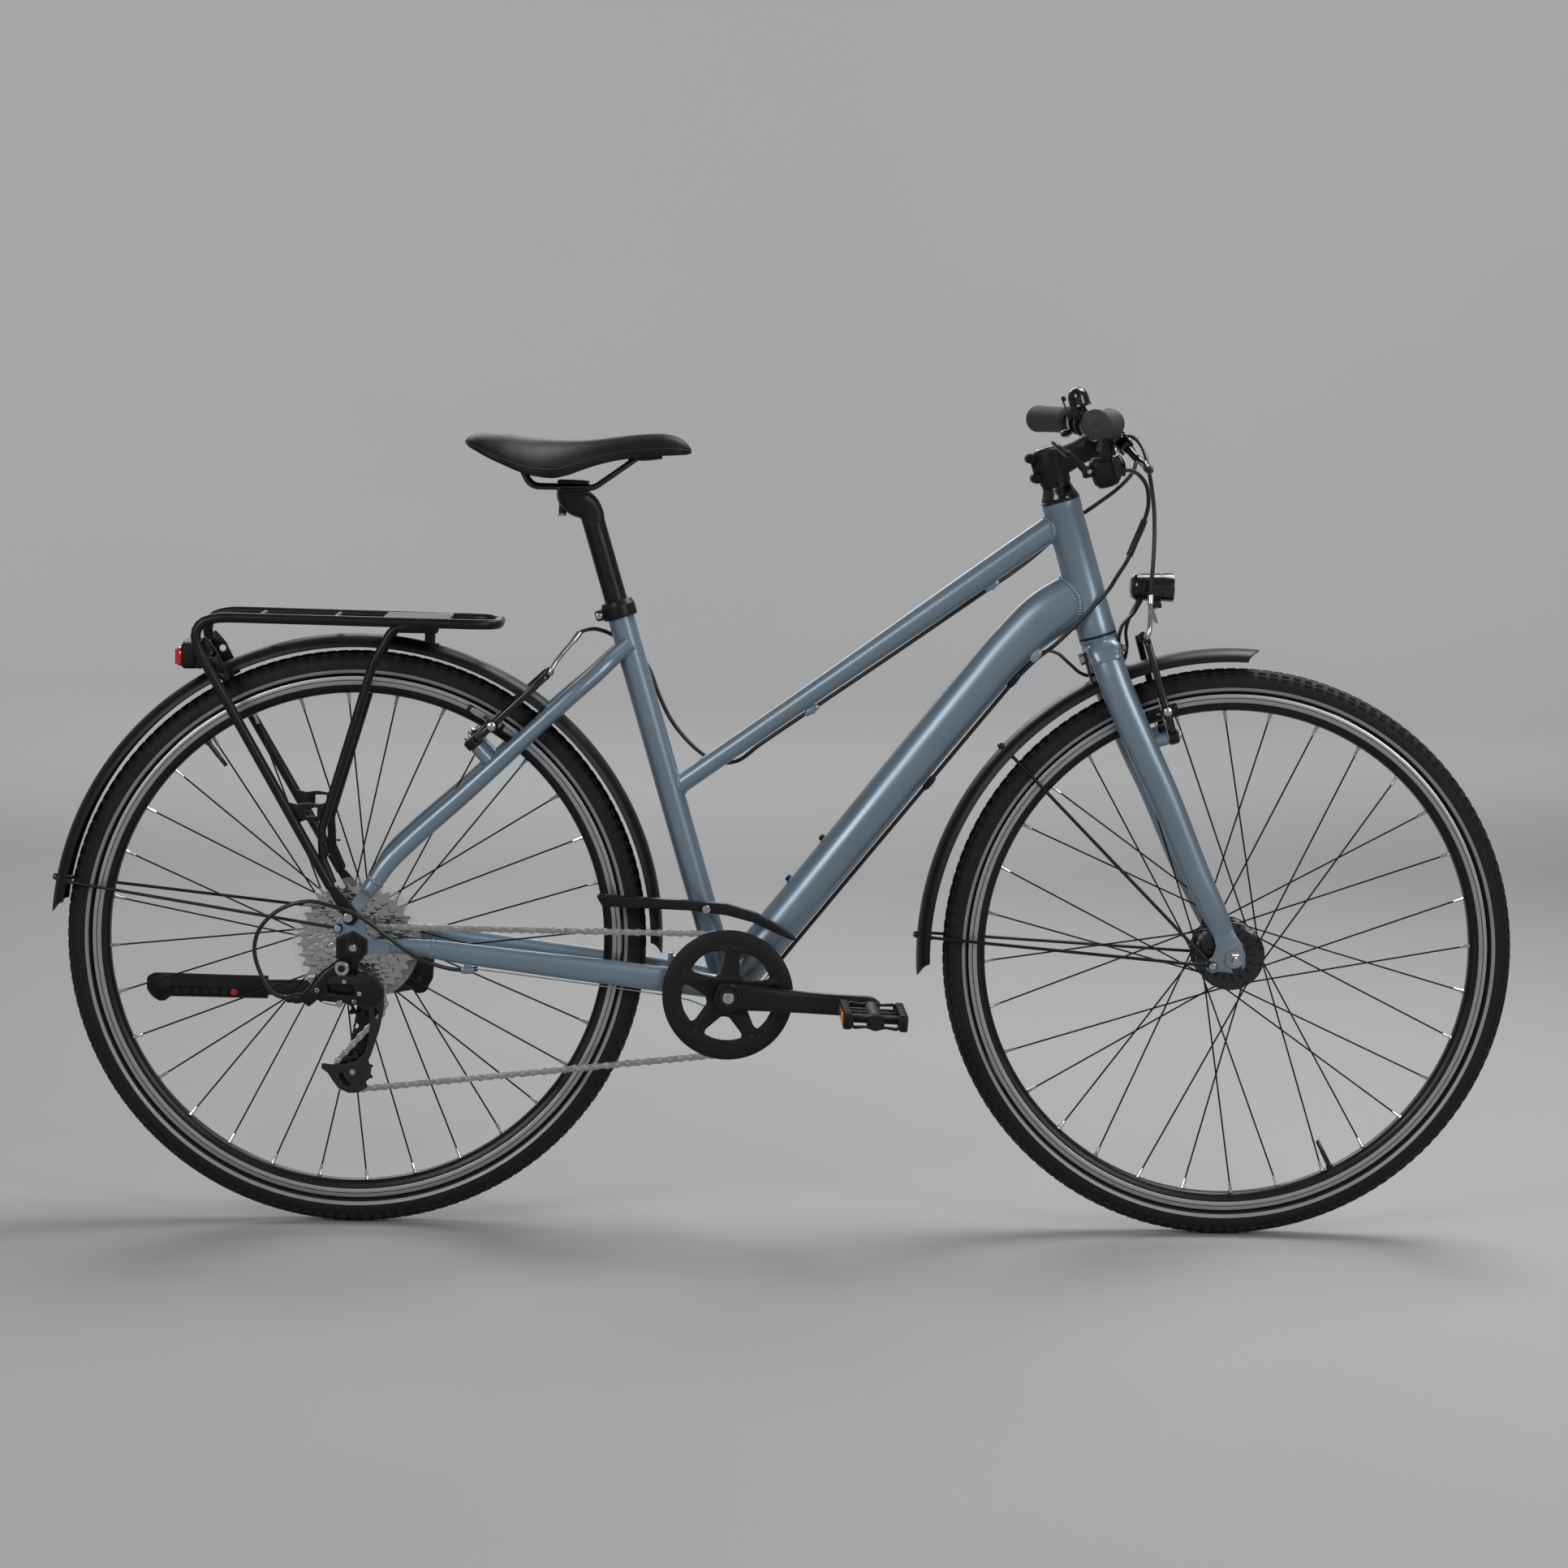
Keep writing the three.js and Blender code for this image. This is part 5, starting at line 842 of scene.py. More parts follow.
# %% Studio
FLOOR_REACH = 7.5
WALL_CURVE = 3.0
WALL_TOP = 4.4


def studio_floor():
    profile = [(0, 0), (2, 0), (4, 0), (FLOOR_REACH, 0)]
    for k in range(1, 13):
        turn = math.pi / 2 * k / 12
        profile.append((FLOOR_REACH + WALL_CURVE * math.sin(turn), WALL_CURVE * (1 - math.cos(turn))))
    profile.append((FLOOR_REACH + WALL_CURVE, WALL_TOP))
    points, faces = turned(profile, (0, 0, 0), (0, 0, 1), 96)
    floor = plain_object("studio floor", points, [face for face in faces if len(face) < 96])
    floor.data.polygons.foreach_set("use_smooth", [True] * len(floor.data.polygons))
    floor.data.materials.append(finish(
        "pale floor", screen(151, 151, 151), 0.0, 0.8, mottle=0.012, patch=0.8, spread=0.03,
        grain=200, bump=0.02,
    ))


def softbox(name, at, size, power, aim_at=(0, 0, 0.5)):
    light = bpy.data.lights.new(name, "AREA")
    light.shape = "RECTANGLE"
    light.size, light.size_y = size
    light.energy = power
    holder = bpy.data.objects.new(name, light)
    holder.location = at
    holder.rotation_euler = (Vector(aim_at) - Vector(at)).to_track_quat("-Z", "Y").to_euler()
    bpy.context.scene.collection.objects.link(holder)


studio_floor()
softbox("key", (1.5, 1.0, 3.8), (2.4, 2.0), 150)
softbox("front left", (-3.4, -4.8, 3.2), (2.4, 2.4), 135)
softbox("front right", (3.6, -4.6, 2.8), (2.0, 2.4), 105)
softbox("back", (-0.8, 4.8, 3.0), (3.0, 1.4), 60)
for side in (-1, 1):
    softbox("wall wash", (side * 2.6, 5.2, 3.7), (3.0, 1.2), 175, aim_at=(side * 1.5, 10.5, 1.6))
    softbox("front wall wash", (side * 2.6, -6.2, 3.7), (3.0, 1.2), 150, aim_at=(side * 1.5, -10.5, 1.6))
    softbox("side wall wash", (side * 6.0, 0.6, 3.7), (1.2, 3.0), 150, aim_at=(side * 10.5, 0.6, 1.6))
world = bpy.data.worlds.new("studio air")
world.use_nodes = True
world.node_tree.nodes["Background"].inputs["Color"].default_value = screen(235, 236, 238)
world.node_tree.nodes["Background"].inputs["Strength"].default_value = 0.26
bpy.context.scene.world = world
bpy.context.scene.view_settings.view_transform = "Standard"

# %% [markdown]
# The wheels come first. Each tyre is one turned profile, with small tread blocks in a ring on
# each shoulder and a pale stripe let into each wall. Each rim is turned too, with a machined
# brake track on both sides. Both wheels are alike apart from their hubs.

# %% Tyre
RIM_RADIUS = 319
RIM_HALF = 12
RIM_BED = 297.5
TYRE_RADIUS = 349
TREAD_BLOCKS = 150


def tyre(name, centre, body, node):
    wall = [(319.3, 9.4), (320.3, 12.0), (321.4, 15.2), (322.4, 16.6)]
    stripe = [(322.4, 16.6), (323.6, 17.6), (325.0, 18.35), (326.4, 18.8)]
    tread = [(326.4, 18.8), (330, 19), (334, 18.6), (338, 17.2), (342, 14.3), (345, 10.8),
             (347.2, 6.4), (348.2, 3.0), (348.5, 0)]
    piece = Piece(name)
    outside = tread + [(r, -y) for r, y in tread[::-1][1:]]
    inside = [(r, -y) for r, y in wall[::-1]] + wall
    for rows in (outside, inside):
        piece.add(strip(rows, centre), TYRE)
    for sign in (1, -1):
        piece.add(strip([(r + 0.1, sign * (y + 0.12)) for r, y in stripe], centre), STRIPE)
        piece.add(strip([(r - 0.1, sign * (y - 0.2)) for r, y in stripe], centre), TYRE)
    shoulder = block((338.6, 342.4), (13.2, 17.0), (-4.6, 4.6), 0.5, 1)
    outer = block((343.3, 346.4), (7.8, 12.2), (-4.4, 4.4), 0.5, 1)
    centre_block = block((346.4, 348.9), (-2.6, 2.6), (-5.6, 5.6), 0.5, 1)
    wedge = block((331.5, 335.6), (17.4, 19.1), (-1.2, 1.2), 0.3, 1)
    for shape, skew in ((shoulder, 0.5), (outer, 0.5), (wedge, 0)):
        for sign in (1, -1):
            one = shape if sign > 0 else turned_about_y(mirror(shape), TAU / TREAD_BLOCKS * skew)
            piece.add(ringed(one, TREAD_BLOCKS, TYRE, centre), TYRE)
    piece.add(ringed(centre_block, TREAD_BLOCKS, TYRE, centre), TYRE)
    return piece.ride(body, node, slot="tyre_rubber")


def strip(rows, centre, sides=192):
    """An open band turned about a wheel's axle, from rows of (radius, across)."""
    turn = TAU * np.arange(sides) / sides
    rings = [np.column_stack([r * np.cos(turn), np.full(sides, y), r * np.sin(turn)])
             for r, y in rows]
    points, faces = skin(rings)
    return points + np.asarray(centre, float), faces[:-2]


# %% [markdown]
# A spoked wheel is four spokes repeated eight times: two lean forward and two back, on the
# left and right flange in turn. The ring tree repeats the four. Each spoke ends in a bright
# nipple that stands out of the rim's bed, and in a bent head at its flange.

# %% Rim, spokes and nipples
SPOKE_GROUPS, SPOKES_IN_GROUP = 8, 4
SPOKE_LEAN = math.radians(62)
NIPPLE_RADIUS = 296.6


def rim(name, centre, track):
    """A rim in one piece: its bed, its outer edge, and a track and a groove on each side."""
    piece = Piece(name)
    bed = [(RIM_BED, 0), (297.7, 4.5), (298.6, 7.0), (301.0, 9.6), (305.0, 11.4), (308.0, 11.9)]
    edge = [(318.2, 11.9), (RIM_RADIUS, 11.4), (RIM_RADIUS, 10.2), (317.6, 9.9), (316, 8), (314.5, 0)]
    whole_bed = [(r, -y) for r, y in bed[::-1]] + bed[1:]
    whole_edge = edge + [(r, -y) for r, y in edge[::-1][1:]]
    for rows in (whole_bed, whole_edge):
        piece.add(strip(rows, centre), RIM)
    inner_track = [(308.0, 11.9), (308.2, RIM_HALF), (312.8, RIM_HALF)]
    groove = [(312.8, RIM_HALF), (313.0, 11.6), (313.6, 11.6), (313.8, RIM_HALF)]
    outer_track = [(313.8, RIM_HALF), (318.0, RIM_HALF), (318.2, 11.9)]
    for sign in (1, -1):
        for rows, paint in ((inner_track, track), (groove, RIM), (outer_track, track)):
            piece.add(strip([(r, sign * y) for r, y in rows], centre), paint)
    return piece


def spoke_group(right, left, radius):
    """The first four spokes about the hub, as (from, to) pairs, before they are repeated."""
    spokes = []
    for i in range(SPOKES_IN_GROUP):
        at_rim = TAU * (i + 0.25) / (SPOKE_GROUPS * SPOKES_IN_GROUP)
        flange = left if i % 2 else right
        lean = SPOKE_LEAN if i // 2 % 2 else -SPOKE_LEAN
        weave = 1.6 if i // 2 % 2 else -1.6
        at_hub = at_rim + lean
        side = math.copysign(3, flange)
        spokes.append((
            np.array([radius * math.cos(at_hub), flange + weave, radius * math.sin(at_hub)]),
            np.array([NIPPLE_RADIUS * math.cos(at_rim), side + weave,
                      NIPPLE_RADIUS * math.sin(at_rim)]),
        ))
    return spokes


def spokes(piece, centre, right, left, radius):
    wires, heads, nipples = [], [], []
    for start, end in spoke_group(right, left, radius):
        ahead = (end - start) / np.linalg.norm(end - start)
        wires.append(tube([start, end], 1.05, 8))
        heads.append(rod(start - [0, 2.6, 0], start + [0, 2.6, 0], 1.7, 8, 0.3))
        profile = [(0, 0), (1.5, 0.2), (1.9, 1.4), (1.9, 9), (2.5, 10.2), (2.9, 12.5), (0, 12.6)]
        nipples.append(turned(profile, end - ahead * 11.5, ahead, 8))
    for shapes, paint in ((wires, SPOKE), (heads, SPOKE), (nipples, STEEL)):
        for shape in shapes:
            piece.add(ringed(shape, SPOKE_GROUPS, paint, centre), paint)


REAR_AXLE = (0, 0, AXLE_Z)
FRONT_AXLE = (WHEELBASE, 0, AXLE_Z)
tyre("rear_tyre_tread", REAR_AXLE, "rear_wheel", "rear_tyre")
tyre("front_tyre_tread", FRONT_AXLE, "front_wheel", "front_tyre")

# %% [markdown]
# A rim is rolled from one extruded section, so here it is turned from that section. The valve
# stands inward from the rim's bed, at the place where each wheel happened to stop.

# %% Rims with their valves
VALVE = [(4.2, 0), (4.2, 3), (3.1, 4), (3.0, 22), (2.6, 24), (2.5, 36), (1.9, 37), (0, 37)]
VALVE_TURN = {"rear": math.radians(128), "front": math.radians(-62.6)}
for side, centre, track in (("rear", REAR_AXLE, REAR_TRACK), ("front", FRONT_AXLE, FRONT_TRACK)):
    piece = rim(f"{side}_rim_turned", centre, track)
    turn = VALVE_TURN[side]
    inward = np.array([-math.cos(turn), 0, -math.sin(turn)])
    piece.add(turned(VALVE, np.array(centre) - inward * (RIM_BED + 0.5), inward, 16), GLOSS)
    piece.ride(f"{side}_wheel", f"{side}_rim", slot="rim_black", crease=40)

# %% [markdown]
# The front hub holds a small generator, so its black shell is as wide as a fist and its two
# drilled flanges stand out. The rear hub is slim, with a clear plastic disc that keeps the
# chain off the spokes. Cones and nuts are bright steel on a threaded axle.

# %% Hubs
HUB_BORE = 5.3


def hub_shell(piece, centre, profile, holes_at, hole_radius, count):
    piece.add(turned(profile, centre, sides=96, ring=True, bend=0.8), GLOSS)
    for across_at, outward in holes_at:
        # Each spoke hole is a thin black disc on the flange: painted shade for the hole.
        hole = turned([(0, 0), (2.2, 0), (2.2, 0.25), (0, 0.25)],
                      (hole_radius, across_at, 0), (0, outward, 0), 10)
        piece.add(ringed(hole, count, SHADE_AND_SEAM, centre), SHADE_AND_SEAM)


front_hub = Piece("front_hub_and_spokes")
front_profile = [
    (HUB_BORE, -44), (9.5, -44), (12, -42), (13, -36), (15.5, -33), (22, -31.5), (36, -30), (41, -28.8),
    (42, -27.6), (42, -24.4), (40.6, -23.2), (38.6, -22.6), (38.2, -20), (38.2, 20), (38.6, 22.6),
    (40.6, 23.2), (42, 24.4), (42, 27.6), (41, 28.8), (36, 30), (22, 31.5), (15.5, 33), (13, 36),
    (12, 42), (9.5, 44), (HUB_BORE, 44),
]
hub_shell(front_hub, FRONT_AXLE, front_profile, ((-29.1, -1), (29.1, 1)), 38.0, 32)
slots = turned_about_y(block((22, 31), (-32.2, -30.2), (-1.3, 1.3), 0.6), 0.1)
front_hub.add(ringed(slots, 16, MATTE, FRONT_AXLE), MATTE)
spokes(front_hub, FRONT_AXLE, -26, 26, 38)
front_hub.ride("front_wheel", "front_hub", slot="satin_black")

rear_hub = Piece("rear_hub_and_spokes")
REAR_DISC = -25.0
rear_profile = [
    (HUB_BORE, -26.2), (14, -26.2), (23.6, -25.0), (24, -24.2), (24, -20.2), (23.2, -19.6),
    (17, -18.4), (15.5, -15), (15, 28), (17, 30.6), (23.2, 31.6), (24, 32.4), (24, 35.0),
    (23.4, 35.8), (14, 37), (12.8, 40), (12.6, 56.5), (11.4, 58), (HUB_BORE, 58),
]
hub_shell(rear_hub, REAR_AXLE, rear_profile, ((35.7, 1),), 20.6, 16)
rear_hub.add(turned([
    (25, REAR_DISC - 1.0), (74, REAR_DISC - 1.2), (76.6, REAR_DISC - 0.6), (77, REAR_DISC),
    (76.4, REAR_DISC + 0.5), (74, REAR_DISC + 0.1), (25, REAR_DISC + 0.3),
], REAR_AXLE, sides=96, ring=True), DISC)
spokes(rear_hub, REAR_AXLE, -20.7, 33.5, 21)
rear_hub.ride("rear_wheel", "rear_hub", slot="satin_black")

# %% [markdown]
# An axle is a threaded rod, with a cone at each end of the hub and a flanged nut outside each
# frame end. Its thread is a stack of small crests and not a true helix, because at this size
# nobody can tell them apart, and crests come from one turned profile.

# %% Axles, cones and nuts
REAR_DROPOUT = 67.7
DROPOUT_THICKNESS = 5.8
HANGER_THICKNESS = 4
FRONT_DROPOUT = 50.2
FRONT_END_THICKNESS = 6


def threaded(centre, start, end, radius=4.7, pitch=1.25):
    """A bright threaded rod across the bicycle, as a turned profile of small crests."""
    rows = [(0, start), (radius - 0.9, start)]
    reach = start + 0.8
    while reach < end - 0.8:
        rows += [(radius - 0.45, reach), (radius, reach + pitch / 2)]
        reach += pitch
    return turned(rows + [(radius - 0.9, end), (0, end)], centre, sides=20)


def axle(name, centre, body, node, cones, nuts, reach, nut_paint=STEEL):
    piece = Piece(name)
    piece.add(threaded(centre, -reach[0], -reach[0] + 18), STEEL)
    piece.add(threaded(centre, reach[1] - 18, reach[1]), STEEL)
    piece.add(rod((centre[0], -reach[0] + 17, centre[2]), (centre[0], reach[1] - 17, centre[2]), 4.6), STEEL)
    for at, outward, length in cones:
        piece.add(nut((centre[0], at, centre[2]), (0, outward, 0), 8.5, length, 4.7), STEEL)
    for at, outward in nuts:
        flange = [(4.7, 0), (10.6, 0), (10.9, 0.8), (10.4, 2), (4.7, 2)]
        face = (centre[0], at, centre[2])
        paint = nut_paint if outward < 0 else STEEL
        piece.add(turned(flange, face, (0, outward, 0), 40, ring=True), paint)
        piece.add(nut((centre[0], at + outward * 2, centre[2]), (0, outward, 0), 8.6, 7.2, 4.7), paint)
    piece.ride(body, node, slot="bright_metal")


rear_nut_at = REAR_DROPOUT + DROPOUT_THICKNESS + 0.3
axle("rear_axle_nuts", REAR_AXLE, "frame", "rear_axle",
     ((-65.3, -1, 2.1), (58.3, 1, 9.0)),
     ((-rear_nut_at - 0.3 - HANGER_THICKNESS, -1), (rear_nut_at, 1)),
     (rear_nut_at + HANGER_THICKNESS + 13, rear_nut_at + 12.7), GLOSS)
front_nut_at = FRONT_DROPOUT + FRONT_END_THICKNESS + 0.3
axle("front_axle_nuts", FRONT_AXLE, "steering", "front_axle",
     ((-44.3, -1, 5.6), (44.3, 1, 5.6)), ((-front_nut_at, -1), (front_nut_at, 1)),
     (front_nut_at + 12.7, front_nut_at + 12.7))

# %% [markdown]
# The frame is welded aluminium. Each tube is a loft through a few stations, run a little way
# into its neighbour, as a mitred tube is. A weld is a row of small overlapping beads, laid
# where the two skins meet. The line is found by walking along the tube's own rows of points
# until they leave the neighbour, so it fits whatever the tube's section is there.

# %% Weld beads
BEAD_PITCH = 3.0


def bead(length=2.3, width=3.1, height=1.5):
    """One weld bead: a low, rounded pip, longest across the weld."""
    rings = []
    for turn in (-1.2, -0.6, 0, 0.6, 1.2):
        reach, size = length * math.sin(turn), math.cos(turn)
        rings.append([(reach, width * size * math.cos(t), height * size * math.sin(t))
                      for t in TAU * np.arange(8) / 8])
    return skin(rings)


def meeting_line(shape, sides, reach, from_end):
    """Where a loft's rows cross the surface at which reach(point) changes from minus to plus."""
    rows = shape[0].reshape(-1, sides, 3)
    if from_end:
        rows = rows[::-1]
    line = []
    for k in range(sides):
        before = rows[0, k]
        for row in rows[1:]:
            here = row[k]
            a, b = reach(before), reach(here)
            if a < 0 <= b:
                line.append(before + (here - before) * (-a / (b - a)))
                break
            before = here
    return np.array(line)


def outside_cylinder(at, axis, radius):
    at, axis = np.array(at, float), np.array(axis, float) / np.linalg.norm(axis)

    def reach(point):
        away = point - at
        return np.linalg.norm(away - away @ axis * axis) - radius
    return reach


def even_steps(line, pitch):
    """Places at an even pitch along a closed line."""
    closed = np.vstack([line, line[:1]])
    lengths = np.concatenate([[0], np.cumsum(np.linalg.norm(np.diff(closed, axis=0), axis=1))])
    count = max(8, round(lengths[-1] / pitch))
    at = lengths[-1] * np.arange(count) / count
    return np.column_stack([np.interp(at, lengths, closed[:, axis]) for axis in range(3)])


def bead_row(piece, line, finish, size):
    """Adds beads at an even pitch along a closed line, and says how many."""
    places = even_steps(line, BEAD_PITCH * size)
    along = directions(places, closed=True)
    middle = places.mean(axis=0)
    out = np.array([across(a, p - middle) for a, p in zip(along, places)])
    one = bead(2.3 * size, 3.1 * size, 1.5 * size)
    piece.add(strung(one, places, along, out, finish), finish)
    return len(places)


def ring_weld(piece, shape, sides, near, finish, size=1.0):
    """Adds a row of beads round a loft, at the row of points nearest to a place."""
    rows = shape[0].reshape(-1, sides, 3)
    away = np.linalg.norm(rows.mean(axis=1) - near, axis=1)
    return bead_row(piece, rows[int(np.argmin(away))], finish, size)


def weld(piece, shape, sides, reach, finish, from_end=True, size=1.0):
    """Adds the row of beads where a loft leaves its neighbour."""
    return bead_row(piece, meeting_line(shape, sides, reach, from_end), finish, size)


# %% [markdown]
# The front of a step-through frame stays low: the top tube runs from the head down to the
# middle of the seat tube. The head tube is a turned ring, and the top tube is a loft that ends
# in the walls of its neighbours, as a mitred tube does. Two moulded guides under it hold the
# rear brake's cable.

# %% Tubes of the front triangle
HEAD_LOW, HEAD_TOP = 420, 587
HEAD_RADIUS = 23.5
SEAT_TUBE_LENGTH, SEAT_TUBE_RADIUS = 488, 15.9
SEAT_AXIS = np.array([-math.cos(SEAT_ANGLE), 0, math.sin(SEAT_ANGLE)])
STEER_AXIS = np.array([-math.cos(HEAD_ANGLE), 0, math.sin(HEAD_ANGLE)])
AT_HEAD = outside_cylinder(steer(0, 0, 0), STEER_AXIS, HEAD_RADIUS + 0.6)
AT_SEAT = outside_cylinder(on_seat(0), SEAT_AXIS, SEAT_TUBE_RADIUS + 0.5)
AT_SHELL = outside_cylinder((BRACKET_X, 0, BRACKET_Z), (0, 1, 0), 21.5)

head = Piece("head_tube_turned", in_steering)
head.add(turned([
    (14.9, HEAD_LOW), (HEAD_RADIUS - 0.6, HEAD_LOW), (HEAD_RADIUS, HEAD_LOW + 0.8),
    (HEAD_RADIUS, HEAD_LOW + 13), (HEAD_RADIUS - 0.5, HEAD_LOW + 15),
    (HEAD_RADIUS - 0.7, HEAD_TOP - 14), (HEAD_RADIUS, HEAD_TOP - 12),
    (HEAD_RADIUS, HEAD_TOP - 0.8), (HEAD_RADIUS - 0.6, HEAD_TOP), (14.9, HEAD_TOP),
], axis=(0, 0, 1), sides=72, ring=True), PAINT)
head.ride("frame", "head_tube", slot="frame_paint")

TOP_FOOT = np.array(on_seat(240 / math.sin(SEAT_ANGLE)))
TOP_HEAD = np.array(steer(0, 0, HEAD_TOP - 21))
TOP_RISE = (TOP_HEAD[2] - TOP_FOOT[2]) / (TOP_HEAD[0] - TOP_FOOT[0])


def on_top_tube(x, below=0.0, y=0.0):
    """A place under the top tube's axis, by its distance forward."""
    z = TOP_FOOT[2] + TOP_RISE * (x - TOP_FOOT[0])
    return (x, y, z - below * math.hypot(1, TOP_RISE))


def cable_stop(at, ahead, down):
    """A small moulded guide under a tube, with a screw, that holds a cable housing."""
    ahead = np.array(ahead, float) / np.linalg.norm(ahead)
    stations = [(*(np.array(at) + ahead * t), w, h)
                for t, w, h in ((-9, 7, 6), (-6, 9, 8), (6, 9, 8), (9, 7, 6))]
    return loft(stations, 16, 3.5, per=2, round_ends=1.0), bolt(
        np.array(at) + np.array(down) * 3.6, down, 2.6, 1.8, 0.55)


def mitred(shape, sides, run, at, axis, radius):
    """Ends a loft on a round tube's skin: rows inside it slide out along the run, and the cap goes."""
    points, faces = shape
    away = points - at
    away = away - np.outer(away @ axis, axis)
    slide = run - (run @ axis) * axis
    a, b, c = slide @ slide, away @ slide, np.sum(away ** 2, axis=1) - radius ** 2
    reach = (-b + np.sqrt(np.maximum(b * b - a * c, 0))) / a
    inside = c < 0
    points = np.where(inside[:, None], points + np.outer(reach, run), points)
    return points, [face for face in faces if len(face) != sides or min(face) > 0]


rear_x, front_x = TOP_FOOT[0], TOP_HEAD[0]
top_shape = loft([
    (*on_top_tube(rear_x), 23.5, 23.5), (*on_top_tube(rear_x + 120), 23.5, 23.5),
    (*on_top_tube(front_x - 40), 31, 31), (*on_top_tube(front_x), 31, 31),
], 48, per=10)
run = np.array([1, 0, TOP_RISE]) / math.hypot(1, TOP_RISE)
top_shape = mitred(top_shape, 48, run, np.array(on_seat(0)), SEAT_AXIS, SEAT_TUBE_RADIUS - 0.9)
top = Piece("top_tube_welded").add(top_shape, PAINT)
beads = weld(top, top_shape, 48, AT_HEAD, PAINT)
beads += weld(top, top_shape, 48, AT_SEAT, PAINT, from_end=False, size=0.8)
under = np.array([run[2], 0, -run[0]])
for x in (543, 757):
    stop, screw = cable_stop(on_top_tube(x, 16.4), run, under)
    top.add(stop, PAINT).add(screw, STEEL)
top.ride("frame", "top_tube", slot="frame_paint")

# %% [markdown]
# The down tube is the largest one of such a frame. It is round at the bracket and grows tall
# and narrow towards the head, which one loft through a few stations shows well. It carries two
# bosses for a bottle cage above, and the guides of the gear cable below.

# %% Down tube, flared where it meets the head tube
DOWN_HEAD = np.array(steer(0, 0, HEAD_LOW + 88.8))
DOWN_SLOPE = math.atan2(DOWN_HEAD[2] - BRACKET_Z, DOWN_HEAD[0] - BRACKET_X)
DOWN_LENGTH = math.hypot(DOWN_HEAD[2] - BRACKET_Z, DOWN_HEAD[0] - BRACKET_X)
DOWN_RUN = np.array([math.cos(DOWN_SLOPE), 0, math.sin(DOWN_SLOPE)])
DOWN_UNDER = np.array([math.sin(DOWN_SLOPE), 0, -math.cos(DOWN_SLOPE)])


def on_down_tube(length, under=0.0, y=0.0):
    """A place up the down tube, and a distance under its axis."""
    place = np.array([BRACKET_X, 0, BRACKET_Z]) + length * DOWN_RUN + under * DOWN_UNDER
    return (place[0], y, place[2])


down_shape = loft([
    (*on_down_tube(10), 50, 50), (*on_down_tube(200), 50, 51),
    (*on_down_tube(DOWN_LENGTH - 188), 47, 54), (*on_down_tube(DOWN_LENGTH - 123, 2), 44, 56),
    (*on_down_tube(DOWN_LENGTH - 73, 10), 44, 62), (*steer(0, 0, HEAD_LOW + 51), 42, 66),
], 64, per=12)
down = Piece("down_tube_welded").add(down_shape, PAINT)
beads += weld(down, down_shape, 64, AT_HEAD, PAINT, size=1.15)
beads += weld(down, down_shape, 64, AT_SHELL, PAINT, from_end=False)
for length in (152, 216):
    down.add(turned([(0, -2), (6.4, -2), (6.4, 0.4), (5.6, 1.4), (0, 1.4)],
                    on_down_tube(length, -25), -DOWN_UNDER, 32, bend=0.4), PAINT)
    down.add(bolt(on_down_tube(length, -26.3), -DOWN_UNDER, 4.3, 4.0, 0.5), SATIN)
for length in (350, 511):
    stop, screw = cable_stop(on_down_tube(length, 30.5), DOWN_RUN, DOWN_UNDER)
    down.add(stop, SATIN).add(screw, STEEL)
clip = [(*(np.array(on_down_tube(551 + t, 30.5, -9))), w, h)
        for t, w, h in ((-8, 8, 7), (-5, 11, 11), (5, 11, 11), (8, 8, 7))]
down.add(loft(clip, 16, 4, per=2, round_ends=1.2), STRIPE)
down.ride("frame", "down_tube", slot="frame_paint")

# %% [markdown]
# The seat tube is a plain round tube that is open at the top for the post, so it is turned
# from a closed ring profile. At its foot lies the bracket shell, a short wide tube across the
# frame, with a bearing cup screwed into each side.

# %% Seat tube with the bracket shell
seat_tube = Piece("seat_tube_welded")
SEAT_BORE = 14.2
seat_tube.add(turned([
    (SEAT_BORE, 0), (SEAT_TUBE_RADIUS, 0), (SEAT_TUBE_RADIUS, SEAT_TUBE_LENGTH - 0.6),
    (SEAT_TUBE_RADIUS - 0.6, SEAT_TUBE_LENGTH), (SEAT_BORE, SEAT_TUBE_LENGTH),
], on_seat(0), SEAT_AXIS, 64, ring=True), PAINT)
seat_tube.add(turned([
    (17.5, -34), (20.4, -34), (21, -33.2), (21, 33.2), (20.4, 34), (17.5, 34),
], (BRACKET_X, 0, BRACKET_Z), sides=72, ring=True), PAINT)
seat_tube.pair(turned([
    (9, 31), (17.2, 31), (19.5, 33.8), (19.5, 35.6), (16, 36.2), (15.4, 35), (9, 35),
], (BRACKET_X, 0, BRACKET_Z), sides=48, ring=True), SATIN)
seat_foot = loft([(*on_seat(4), 31.8, 31.8), (*on_seat(40), 31.8, 31.8)], 48, per=8)
beads += weld(seat_tube, seat_foot, 48, AT_SHELL, PAINT, from_end=False)
guide = [(BRACKET_X - 6 + t, -4, BRACKET_Z - 23.4, w, 5) for t, w in ((-12, 14), (0, 18), (12, 14))]
seat_tube.add(loft(guide, 16, 4, per=3, round_ends=1.5), MATTE)
seat_tube.ride("frame", "seat_tube", slot="frame_paint")
print(beads, "weld beads so far")

# %% [markdown]
# The stays are flattened tubes that end in forged plates. The plate is a slab with softened
# edges, its corners rounded, and the tube's end is pinched onto it. The rear brake studs
# stand on the seat stays, in a small frame of their own that leans with the stay.

# %% Rear stays
STAY_LOWER, STAY_UPPER = (127, 51, 531.5), (227, 38, 626)
BRAKE_SHARE = 0.355
BRAKE_X = STAY_LOWER[0] + BRAKE_SHARE * (STAY_UPPER[0] - STAY_LOWER[0])
BRAKE_Z = STAY_LOWER[2] + BRAKE_SHARE * (STAY_UPPER[2] - STAY_LOWER[2])
BRAKE_TURN = math.pi / 2 - math.atan2(STAY_UPPER[2] - STAY_LOWER[2], STAY_UPPER[0] - STAY_LOWER[0])


